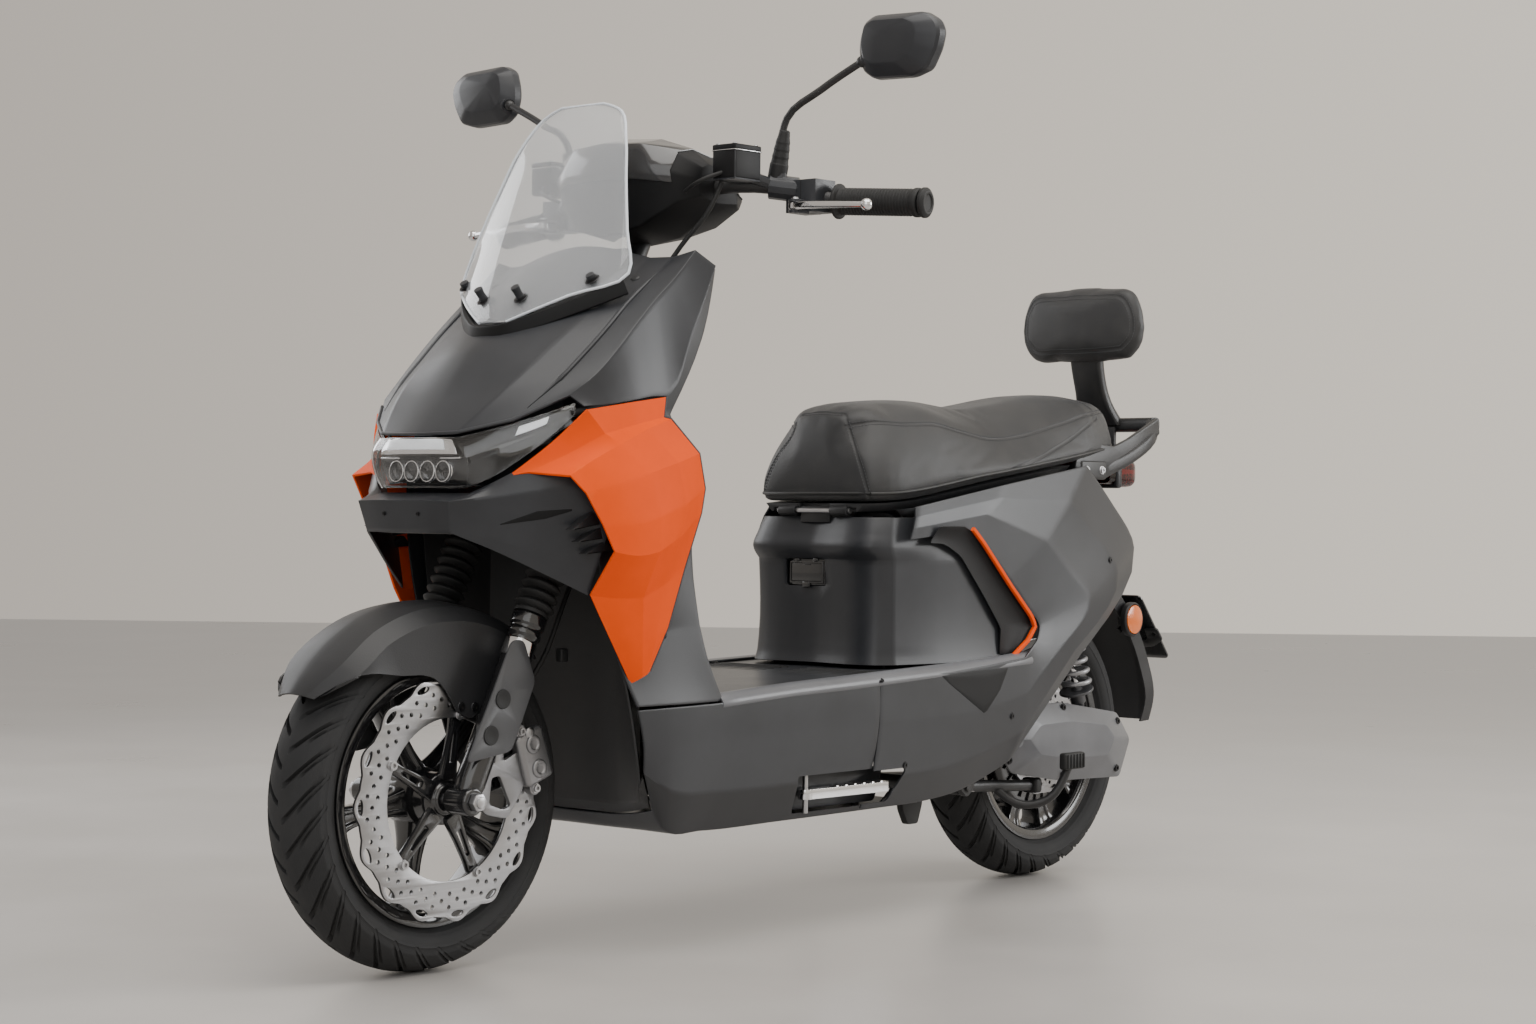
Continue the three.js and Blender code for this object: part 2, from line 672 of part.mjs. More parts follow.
function addFrontFender() {
  const crown = tyreRadius + guardClearance + panelWall + 3;
  const flank = forkHalfSpan - sliderRadius - gap;
  const rows = fenderAngles.map((degrees, i) => {
    const angle = THREE.MathUtils.degToRad(degrees);
    const narrow = i === 0 ? 0.45 : 1;
    const corners = [
      [flank * narrow, crown * fenderEdgeShares[i]],
      [flank * narrow * 0.99, crown * (0.9 + 0.09 * (1 - narrow))],
      [flank * narrow * 0.72, crown * 0.97],
      [flank * narrow * 0.3, crown * 0.995],
      [0, crown],
    ];
    const left = corners.map(([y, radius]) => new THREE.Vector3(
      radius * Math.cos(angle), y, radius * Math.sin(angle)));
    const right = left.slice(0, -1).reverse().map((p) => new THREE.Vector3(p.x, -p.y, p.z));
    return [...left, ...right];
  });
  addPiece('front_fender', panel(rows, panelWall, new THREE.Vector3()), palette.mattDark, frontWheel);
}

// Front bodywork: shells over the fork, in body shares
const frontInside = onBody([42, 0, 50]);
const hoodShares = [
  [[55.3, 19, 72.4], [56.6, 17.6, 73.8], [61.8, 12.8, 70.6], [66, 7.2, 69], [66.8, 0, 68.8]],
  [[51.2, 19.9, 72.8], [53, 18.8, 76.6], [56, 15, 75.7], [60.3, 10.1, 74.7], [62.5, 0, 73.5]],
  [[47, 20.3, 73.5], [49.1, 19.2, 80.3], [52, 15.5, 79.2], [55.5, 11.2, 78.7], [57.3, 0, 79.8]],
  [[44, 20.3, 74], [45.2, 19.1, 84.1], [47.8, 15.8, 83], [50.9, 11.9, 82.5], [52, 0, 84.2]],
  [[41.2, 20.3, 74.2], [42, 19, 87], [44, 15.7, 86.4], [45.8, 12.3, 86.3], [46.2, 0, 89]],
  [[36.5, 20.3, 82.5], [38.2, 19, 90.2], [40, 15.7, 89.5], [41, 12.4, 89.7], [41.5, 0, 92.5]],
  [[31.8, 20.1, 91.8], [34.5, 18.8, 93.8], [35.2, 15.5, 93], [36.2, 12.2, 93], [37, 0, 95]],
];
const chinShares = [
  [[56.6, 19, 70.8], [60, 15.5, 66], [63.4, 11.2, 62.8], [65, 8.4, 61.3], [65.5, 5, 61.3], [65.5, 0, 61.3]],
  [[54.5, 20, 62.5], [60, 16.5, 61.8], [65, 11.2, 60.8], [68.8, 8.6, 60.2], [69.3, 5, 60.3], [69.4, 0, 60.3]],
  [[52.2, 20.3, 56], [59, 15, 54], [64, 11.2, 55.6], [68, 7.9, 56.6], [68.5, 4.8, 56.6], [68.6, 0, 56.6]],
  [[53.1, 17.8, 48.3], [58.3, 14.6, 51.2], [63.4, 11.2, 54], [67.8, 8, 56.2], [68.3, 4.7, 56.2], [68.4, 0, 56.2]],
];
const lensShares = [
  [[55.8, 18, 72.9], [58.6, 15.8, 71.6], [62.2, 12.4, 70], [66.2, 7.2, 68.4], [67.2, 4, 68.4], [67.3, 0, 68.4]],
  [[56, 18.2, 72.4], [59.2, 15.8, 70.2], [63, 12.2, 68.2], [66.4, 8.8, 66.2], [67.5, 4.2, 66.2], [67.6, 0, 66.2]],
  [[56.1, 18.3, 71.9], [59.8, 15.4, 68.6], [63.4, 11.8, 66.2], [66, 8.8, 64], [67.1, 4.2, 64], [67.2, 0, 64]],
  [[56.3, 18.4, 71.3], [60.6, 14.6, 66.4], [64, 10.6, 63], [65.4, 8, 61.8], [66.1, 4.1, 61.8], [66.2, 0, 61.8]],
];
const fairingShares = [
  [[62.5, 12.5, 63.4], [58.5, 16.5, 67.5], [53.8, 20, 71.6], [48, 20.3, 72.8], [41.4, 20.3, 73.9]],
  [[61.2, 15, 64], [57.5, 18.5, 66.4], [53, 20.5, 69], [47.5, 20.7, 70.3], [42.1, 20.6, 71.4]],
  [[59.5, 20.8, 63.6], [56, 21.2, 65.5], [51, 21.4, 67.7], [46, 21.2, 69.7], [41, 20.8, 71.2]],
  [[57.5, 21.7, 61.4], [53, 22.4, 62.5], [47, 22.6, 64], [41, 22.2, 65.5], [35.5, 20.8, 66.8]],
  [[55, 22.2, 57.5], [50, 23, 57.5], [45, 23, 58.5], [39.5, 22.2, 60], [33.8, 20.3, 62.2]],
  [[53, 22.4, 54], [49, 22.9, 53.5], [45, 22.8, 54], [40, 21.9, 56], [34.5, 20.3, 59]],
  [[53.7, 18.8, 48.4], [50, 20, 48], [46, 20.8, 48], [42, 20.5, 49.5], [37.2, 20, 52]],
  [[50, 18.3, 42.5], [47.8, 19.2, 42.5], [45.5, 19.8, 42.5], [43, 19.8, 43], [40.5, 19.7, 44]],
  [[46.2, 18, 36.8], [45.5, 18.6, 37.2], [44.9, 19, 37.6], [44.2, 19.2, 38], [43.6, 19.4, 38.5]],
];
const legShieldShares = [
  [[32, 17.2, 91.5], [31, 16.8, 91.5], [30.3, 15.6, 91.5], [27.2, 9, 91.5], [25, 0, 91.5]],
  [[37.5, 17.8, 83], [33.5, 17.8, 83], [29.7, 16.8, 83], [26, 9.5, 83], [23.7, 0, 83]],
  [[50, 18, 72], [40, 18.2, 72], [30.5, 17.6, 72], [26.8, 10.5, 72], [24.5, 0, 72]],
  [[52, 18.2, 62], [42, 18.4, 62], [32.1, 18, 62], [28.2, 11, 62], [26.1, 0, 62]],
  [[51, 18.2, 50], [42.5, 18.8, 50], [33.8, 18.4, 50], [30, 11.5, 50], [27.8, 0, 50]],
  [[49, 18.6, 42.5], [42, 19.4, 43.3], [34.8, 19, 44.2], [31, 11.5, 43], [28.8, 0, 43]],
  [[47.5, 19.2, 38.5], [41, 19.8, 39.5], [33.5, 19.5, 39.5], [29.5, 11.5, 39], [27.4, 0, 39]],
  [[45.5, 19.5, 33.8], [37, 19.8, 33.8], [28.6, 19.2, 33.8], [24.6, 11.5, 33.8], [22.6, 0, 33.8]],
];
const splashShares = [
  [[50.5, 16.5, 56], [47, 15.2, 56], [40.6, 13.4, 56], [37.9, 8, 56], [37.5, 0, 56]],
  [[48.7, 16.8, 46], [46, 15.6, 46], [40.4, 13.8, 46], [37.8, 8, 46], [37.4, 0, 46]],
  [[45.5, 17.2, 36], [43.5, 16, 36], [40, 14, 36], [37.7, 8, 36], [37.3, 0, 36]],
  [[43.5, 17.3, 27], [42, 16, 27], [39.6, 14, 27], [37.5, 8, 27], [37.1, 0, 27]],
  [[42.4, 16.8, 23], [40.8, 15.6, 21.6], [38.9, 13.6, 20.6], [36.9, 8, 19.8], [36.5, 0, 19.8]],
  [[42.6, 17.8, 24.4], [40.6, 16.6, 22], [38.2, 14.8, 19.9], [36, 7.2, 18.5], [35.4, 0, 18.3]],
];
const windshieldShares = [
  [[53.4, 2.6, 83.8], [53.5, 1.3, 83.8], [53.6, 0, 83.8]],
  [[49.2, 10, 87.2], [51.2, 5, 87.2], [51.9, 0, 87.2]],
  [[44.1, 15.8, 90.2], [48.5, 8.4, 90.2], [50.2, 0, 90.2]],
  [[42.8, 14.2, 96], [45.8, 7.5, 96], [46.8, 0, 96]],
  [[40.8, 12, 103], [42.6, 6.4, 103], [43.2, 0, 103]],
  [[38.9, 10.1, 108.6], [40.1, 5.4, 108.6], [40.5, 0, 108.6]],
  [[37, 7.4, 112.8], [37.8, 4, 112.8], [38.1, 0, 112.8]],
  [[36.9, 4, 114.1], [37.2, 2, 114.1], [37.4, 0, 114.1]],
];
const windshieldWall = 4;
const lensWall = 3;
const windshieldBossShares = [[49.5, 3.5, 84.4], [44.2, 12, 86]];
const windshieldBossReach = [4.5, 0, 5.4];
const bossRadius = 8;
const hoodPillarShares = [61.4, 0, 73.8];
const bucketShares = { rear: 60, front: 65.6, side: 8.6, low: 61, high: 68 };
const finShares = [
  [[57, 56.3], [53, 56.6], [52.2, 55.2], [56.4, 55.6]],
  [[57.4, 53.8], [53.2, 54.3], [52.6, 52.7], [57, 53.2]],
  [[57.4, 51.9], [53.4, 51.9], [53, 50.4], [57, 51.2]],
];

const seam = gap * 0.75;
const leftRows = (rows) => rows.map((row) => row.map(onBody));

// One grid of the front bodywork as a piece, or swollen to make room in its neighbours.
const fronts = {
  hood: (margin) => panel(bothHalves(hoodShares), panelWall, frontInside, margin),
  chin: (margin) => panel(bothHalves(chinShares), panelWall, frontInside, margin),
  lens: (margin) => panel(bothHalves(lensShares), lensWall, frontInside, margin),
  fairing: (margin) => panel(leftRows(fairingShares), panelWall, frontInside, margin),
  legShield: (margin) => panel(bothHalves(legShieldShares), panelWall, onBody([40, 0, 60]), margin),
  splash: (margin) => panel(bothHalves(splashShares), panelWall, onBody([20, 0, 40]), margin),
  windshield: (margin) => panel(bothHalves(windshieldShares), windshieldWall, frontInside, margin),
};

// The hood carries four bosses that the windshield is screwed to.
function addNoseCowl() {
  const reach = onBody(windshieldBossReach);
  const bosses = windshieldBossShares.flatMap((share) => {
    const foot = onBody(share);
    const boss = rod(foot, foot.clone().add(reach), bossRadius, 10);
    return [boss, otherSide(boss)];
  });
  const pillarTop = onBody(hoodPillarShares);
  const pillarFoot = pillarTop.clone().setZ(above(bucketShares.high) + seam);
  const hood = join(fronts.hood(0), ...bosses, rod(pillarFoot, pillarTop, bossRadius, 10));
  addPiece('nose_cowl', trim(hood, fronts.windshield(seam)), palette.satinDark);
  addPiece('windshield', fronts.windshield(0), palette.clear);
}

// The headlight sits in an open bucket that is moulded on the lower cowl.
function addLowerCowl() {
  const { rear, front, side, low, high } = bucketShares;
  const middle = onBody([(rear + front) / 2, 0, (low + high) / 2]);
  const outer = block(middle, above(front - rear), across(2 * side), above(high - low));
  const hollow = block(
    middle.clone().setX(middle.x + panelWall + cutOverrun / 2),
    above(front - rear) + cutOverrun, across(2 * side) - 2 * panelWall, above(high - low) - 2 * panelWall);
  const fins = finShares.flatMap((shares) => {
    const outline = shares.map(([x, z]) => [along(x), above(z)]);
    const fin = trim(sidePlate(outline, across(17), across(20.6)), fronts.fairing(seam));
    return [fin, otherSide(fin)];
  });
  const cowl = join(fronts.chin(0), cut(outer, hollow), ...fins);
  addPiece('lower_cowl', trim(cowl, fronts.hood(seam), fronts.lens(seam)), palette.satinDark);
  addPiece('headlight_lens', trim(fronts.lens(0), fronts.hood(seam)), palette.clear);
}

function addSideFairings() {
  const neighbours = [fronts.hood(seam), fronts.chin(2 * seam), fronts.lens(seam)];
  const fairing = fronts.fairing(0);
  addPiece('side_fairing_left', trim(fairing, ...neighbours), palette.orange);
  addPiece('side_fairing_right', trim(otherSide(fairing), ...neighbours), palette.orange);
}

function addLegShield() {
  const fairing = fronts.fairing(seam);
  const shield = trim(fronts.legShield(0), fronts.hood(seam), fronts.chin(seam), fairing, otherSide(fairing));
  addPiece('leg_shield', shield, palette.satinDark);
  const splash = trim(fronts.splash(0), fronts.legShield(seam), fairing, otherSide(fairing));
  addPiece('splash_panel', splash, palette.mattDark);
}

// Floor and underbody
const floorShares = [
  [[28.4, 19.1, 34.2], [24.8, 11.5, 34.3], [22.8, 0, 34.3]],
  [[15, 19.2, 34.9], [14.6, 11.5, 35], [14.4, 0, 35]],
  [[0, 19.1, 35.5], [0, 11.5, 35.6], [0, 0, 35.6]],
  [[-12.5, 18.8, 35.9], [-12.5, 11.5, 36], [-12.5, 0, 36]],
  [[-30, 18.2, 36.5], [-30, 11.5, 36.6], [-30, 0, 36.6]],
  [[-44.5, 17.6, 37.3], [-44.5, 11.5, 37.4], [-44.5, 0, 37.4]],
];
const bellyShares = [
  [[45.5, 19.5, 33.4], [44, 19.2, 29], [43.2, 18.5, 25], [38, 15, 19.5], [35.8, 7, 18.2], [35.2, 0, 18]],
  [[40, 19.8, 33.5], [39.5, 19.6, 29], [38.5, 18.6, 22.5], [35, 15, 16.5], [33.6, 7, 16.3], [33.5, 0, 16.3]],
  [[28, 19.7, 33.7], [28, 19.6, 29], [28, 18.2, 21.5], [28, 14.8, 16], [28, 7, 15.8], [28, 0, 15.8]],
  [[12, 19.7, 34.6], [12, 19.6, 29], [12, 18.2, 21.5], [12, 14.8, 16], [12, 7, 15.8], [12, 0, 15.8]],
  [[-4.5, 19.6, 35.2], [-4.5, 19.5, 29], [-4.5, 18, 21.5], [-20, 14.4, 16.2], [-22, 7, 16], [-22, 0, 16]],
];
const bellyInside = [8, 0, 26];
const stepRecessShares = [[12.2, 22.5], [10, 16.9], [-10.6, 16.9], [-12.6, 22.5]];
const stepRecessDepth = 14;
const stepRecessEnd = -14;
const floorInside = [0, 0, 10];

// The step recess's outline, drawn in or let out by a step.
function recessOutline(step) {
  const outline = stepRecessShares.map(([x, z]) => [along(x), above(z)]);
  const middle = outline.reduce(([x, z], [u, v]) => [x + u / 4, z + v / 4], [0, 0]);
  const halfLength = (outline[0][0] - outline[3][0]) * 0.444;
  const halfRise = (outline[0][1] - outline[1][1]) / 2;
  return outline.map(([x, z]) => [
    middle[0] + (x - middle[0]) * (1 - step / halfLength), middle[1] + (z - middle[1]) * (1 - step / halfRise),
  ]);
}

// The step recess is a tray let into the side of the underbody.
function addUnderbody() {
  const inside = onBody(bellyInside);
  const belly = panel(bothHalves(bellyShares), panelWall, inside);
  const inset = recessOutline;
  const back = across(stepRecessDepth);
  const squareEnd = bellyShares[bellyShares.length - 1].map(([, y, z]) => [stepRecessEnd, y, z]);
  const hull = loft(bothHalves([...bellyShares.slice(0, -1), squareEnd]));
  const tray = sidePlate(inset(-panelWall), back - panelWall, across(19.6));
  const hollow = sidePlate(inset(0), back, across(22));
  const wall = meet(tray, hull);
  const tub = join(belly, wall, otherSide(wall));
  const shield = fronts.legShield(seam);
  const open = trim(tub, hollow, otherSide(hollow), shield, fronts.splash(seam));
  addPiece('underbody', join(open, pegPin(), otherSide(pegPin())), palette.satinDark);
}

function meet(first, second) {
  return toGeometry(toSolid(first).intersect(toSolid(second)));
}

// Seat box, tail and their neighbours
const seatBoxShares = [
  [[-44, 15.4, 36.6], [-33, 15.6, 36.6], [-24, 15, 36.6], [-15.2, 13.5, 36.6], [-13, 11.8, 36.6], [-12.8, 0, 36.6]],
  [[-44, 15.2, 37.8], [-33, 15.4, 37.8], [-24, 14.8, 37.8], [-15.4, 13.2, 37.8], [-13.3, 11.6, 37.8], [-13.1, 0, 37.8]],
  [[-44, 15, 39.5], [-33, 15.2, 39.5], [-24, 14.6, 39.5], [-15.5, 13.1, 39.5], [-13.5, 11.5, 39.5], [-13.3, 0, 39.5]],
  [[-44, 15, 52], [-33, 15.2, 52], [-24, 14.6, 52], [-15.5, 13.1, 52], [-13.5, 11.5, 52], [-13.3, 0, 52]],
  [[-44, 14.9, 54], [-33, 15, 54], [-24, 14.5, 54], [-14.8, 13.2, 54], [-12.3, 11.7, 54], [-12.2, 0, 54]],
  [[-44, 14.6, 56], [-33, 14.7, 56], [-24, 14.2, 56], [-15.2, 12.8, 56], [-13, 11.4, 56], [-12.9, 0, 56]],
  [[-44, 14, 58.4], [-33, 14, 58.4], [-24, 13.6, 58.4], [-16, 12.2, 58.4], [-14, 10.8, 58.4], [-13.8, 0, 58.4]],
];
const tailShares = [
  [[-4.5, 19.6, 35.2], [-4.5, 19.5, 29], [-4.5, 18.4, 21.5], [-4.5, 16, 16.5]],
  [[-18, 19.2, 35.6], [-18.6, 19.2, 29], [-19.4, 18.2, 21.5], [-20, 15.7, 16.5]],
  [[-30, 18.7, 36.2], [-29.5, 18.8, 29.5], [-28.6, 18, 22.5], [-27.5, 15.6, 17.2]],
  [[-44.5, 18, 37.1], [-43.6, 18.2, 31.5], [-42.4, 17.6, 26], [-41.1, 15.8, 21.1]],
  [[-49, 17.2, 39.5], [-52.6, 17.8, 38.8], [-56.2, 17.4, 37.8], [-60, 16, 37]],
  [[-50, 16.8, 41.6], [-60, 17.4, 46], [-69.5, 16, 50.5], [-78.7, 13, 54.8]],
  [[-47, 16.6, 44.5], [-55.4, 17, 50], [-63.6, 15.8, 55.6], [-71.5, 13.6, 61]],
  [[-42, 16.4, 49], [-49.2, 16.8, 55], [-56.4, 16, 61], [-63.2, 14.4, 66.8]],
  [[-34.1, 16, 56.5], [-36, 16.2, 59], [-38, 15.9, 61.4], [-40, 15.2, 63.5]],
  [[-17, 15, 55.1], [-17.6, 15.1, 56.8], [-18.3, 14.9, 58.4], [-19, 14.3, 60]],
];
const shellWall = 3;
const hingeShares = { x: -12.8, z: 59.3 };
const hingePinRadius = 4;
const hingePlate = { back: 4, drop: 6, wall: 6, height: 24, widthShare: 5.6 };
const chargeFlapShares = { y: -1.7, halfWidth: 3.65, low: 48, high: 52.1 };

const shells = {
  seatBox: (margin) => panel(bothHalves(seatBoxShares), shellWall, onBody([-30, 0, 48]), margin),
  tail: (margin) => panel(leftRows(tailShares), shellWall, onBody([-35, 0, 40]), margin),
  floor: (margin) => panel(bothHalves(floorShares), panelWall, onBody(floorInside), margin),
  belly: (margin) => panel(bothHalves(bellyShares), panelWall, onBody(bellyInside), margin),
};

function addFloor() {
  const outline = bothHalves([seatBoxShares[0]])[0].map((p) => [p.x + seam * Math.sign(p.x), p.y]);
  const grown = outline.map(([x, y]) => [x > along(-14) ? x + 2 * seam : x, y + Math.sign(y) * 2 * seam]);
  grown.push([along(-60), grown[grown.length - 1][1]]);
  grown.unshift([along(-60), grown[0][1]]);
  const opening = topPlate(grown, above(30), above(45));
  const floor = trim(
    shells.floor(0), opening, fronts.legShield(seam), shells.belly(seam),
    shells.tail(seam), otherSide(shells.tail(seam)));
  addPiece('floor_panel', floor, palette.satinDark);
}

// The charging socket opens through the front of the seat box behind a small hinged flap.
function addSeatBox() {
  const { y, halfWidth, low, high } = chargeFlapShares;
  const face = along(-13.3);
  const middle = new THREE.Vector3(face, across(y), above((low + high) / 2));
  const opening = block(middle, 6 * shellWall, across(2 * halfWidth), above(high - low));
  const lip = block(
    middle.clone().setX(face - shellWall * 2), 2 * shellWall, across(2 * halfWidth) + 2 * shellWall,
    above(high - low) + 2 * shellWall);
  const socketFloor = block(
    middle.clone().setX(face - shellWall * 3), 2 * shellWall, across(2 * halfWidth) + 2 * shellWall,
    above(high - low) + 2 * shellWall);
  const pin = onBody([hingeShares.x, 0, hingeShares.z]);
  const hinge = [
    rod(pin.clone().setY(-across(7)), pin.clone().setY(across(7)), hingePinRadius, 12),
    block(
      pin.clone().add(new THREE.Vector3(-hingePlate.back, 0, -hingePlate.drop)), hingePlate.wall,
      across(hingePlate.widthShare), hingePlate.height),
  ];
  const box = join(cut(join(shells.seatBox(0), lip), opening), socketFloor, ...hinge);
  addPiece('seat_box', box, palette.satinDark);
  const flap = block(
    middle.clone().setX(face - shellWall / 2 + gap), shellWall,
    across(2 * halfWidth) - 2 * gap, above(high - low) - 2 * gap);
  addPiece('charge_flap', flap, palette.mattDark);
}

function addTail() {
  const rim = shells.belly(seam);
  const recess = sidePlate(recessOutline(-panelWall - seam), across(stepRecessDepth - 1), across(22));
  const tail = trim(shells.tail(0), rim, shells.floor(seam), recess);
  addPiece('tail_panel_left', tail, palette.satinDark);
  addPiece('tail_panel_right', otherSide(tail), palette.satinDark);
}

// Seat: sections from nose to tail as [x, foot height, foot half width, top height, top half width]
const seatShares = [
  [-12.6, 60.4, 11.2, 74.6, 5.4], [-16, 60.5, 13, 75.7, 8], [-22, 61, 14, 75.9, 10],
  [-28, 62, 14.6, 76, 11.2], [-35, 63.2, 15, 74.8, 11.8], [-42, 64.3, 15.2, 74, 12],
  [-50, 65.4, 15.2, 74.8, 12.2], [-60, 66.8, 15, 76.5, 12.4], [-70, 68.2, 14, 78.2, 11.6],
  [-74.6, 68.9, 12.2, 78, 10], [-76.4, 69.6, 10.4, 76, 8.6],
];
const seatLean = 1;
const panWall = 12;
const panInset = 1.6;
const panEnd = 8;

// Half a seat section from the foot's edge to the crown, drawn in at the foot and the shoulder.
function seatSection([x, foot, footHalf, top, topHalf], lean) {
  const rise = top - foot;
  const corners = [
    [footHalf * 0.93, 0], [footHalf, rise * 0.12], [footHalf * 0.7 + topHalf * 0.32, rise * 0.5],
    [topHalf * 1.06, rise * 0.8], [topHalf * 0.9, rise * 0.94], [topHalf * 0.5, rise], [0, rise * 1.01],
  ];
  const left = corners.map(([y, z]) => onBody([x - lean * z / rise, y, foot + z]));
  const right = left.slice(0, -1).reverse().map((p) => new THREE.Vector3(p.x, -p.y, p.z));
  return [...left, ...right];
}

function addSeat() {
  const cushion = loft(seatShares.map((share, i) => seatSection(share, i === 0 ? seatLean : 0)));
  addPiece('seat_cushion', cushion, palette.vinyl);
  const stations = seatShares.slice(0, panEnd);
  const drop = panWall;
  const sections = stations.map(([x, foot, footHalf]) => {
    const half = across(footHalf - panInset);
    const high = above(foot) - seam;
    const place = along(x - (x > -13 ? 0.2 : 0));
    return [
      new THREE.Vector3(place, half, high), new THREE.Vector3(place, -half, high),
      new THREE.Vector3(place, -half + drop, high - drop), new THREE.Vector3(place, half - drop, high - drop),
    ];
  });
  const pin = onBody([hingeShares.x, 0, hingeShares.z]);
  const knuckle = (y) => rod(
    pin.clone().setY(across(y - 1.6)), pin.clone().setY(across(y + 1.6)), hingePinRadius * 2, 12);
  const bore = rod(
    pin.clone().setY(-across(8)), pin.clone().setY(across(8)), hingePinRadius + gap, 12);
  const swing = Math.hypot(hingePlate.back + hingePlate.wall / 2, hingePlate.height / 2 - hingePlate.drop);
  const room = block(
    pin, 2 * swing + 4 * gap, across(hingePlate.widthShare) + 8 * gap, 2 * hingePlate.height);
  addPiece('seat_pan', cut(join(loft(sections), knuckle(5), knuckle(-5)), bore, room), palette.mattDark);
}

// Main frame: welded round tubes
const downTubeShares = [[38.5, 0, 70], [33.4, 0, 55], [32, 0, 40], [30.2, 0, 28], [29.9, 0, 24]];
const floorRailShares = [[31, 11, 24], [10, 11.6, 24], [-14, 11.6, 24], [-28, 11.8, 24.6]];
const rearRailShares = [[-26, 12.2, 24.4], [-30, 12.6, 31], [-36, 12.6, 45], [-50, 12.4, 55.6], [-66, 11.2, 58.6], [-74, 10.4, 57.4]];
const frameCrossShares = [[-8, 24, 11.6], [-31, 32, 12.4], [-45, 52.6, 12.2], [-66, 58.6, 11]];
const pivotShares = { x: -33, z: 25 };
const standPivotShares = { x: -36, z: 17 };
const floorPostShares = [22, 6, -9];
const carrierShares = [[42.4, 0, 68], [57.6, 0, 64.6], [60, 0, 64.6]];
const pivotLugInner = 10.5;
const pivotLugOuter = 11.6;
const shockTopShares = { x: -60, z: 50 };
const shockFootShares = { x: -68, z: 26.4 };
const lugThickness = 6;
const shockHalf = 7;
const batteryTrayShares = { front: -15.2, rear: -40.2, side: 10.5, z: 37.6 };
const bracketWall = 5;
const controllerShares = { x: -56, z: 58.1, length: 11, side: 6, height: 4 };
const controllerShelfShares = { z: 55.5, length: 9, side: 12 };

const spot = ({ x, z }, y) => new THREE.Vector3(along(x), y, above(z));

function bothTubes(shares, radius) {
  const left = bentTube(shares.map(onBody), radius, 8, 2 * shares.length - 2);
  return [left, otherSide(left)];
}

function crossBar(x, z, y, radius = frameTube * 0.8) {
  return rod(onBody([x, -y, z]), onBody([x, y, z]), radius, 6);
}

// The head tube stands in the fork's frame, so it is carried over to the scooter's frame.
function headTube() {
  const bore = headTubeRadius - 5;
  const tube = turned([
    [bore, headLow], [headTubeRadius, headLow], [headTubeRadius, headHigh], [bore, headHigh],
  ], 16).rotateX(Math.PI / 2).translate(-forkOffset, 0, 0);
  return tube.rotateY(-rakeAngle).translate(frontHub.x, frontHub.y, frontHub.z);
}

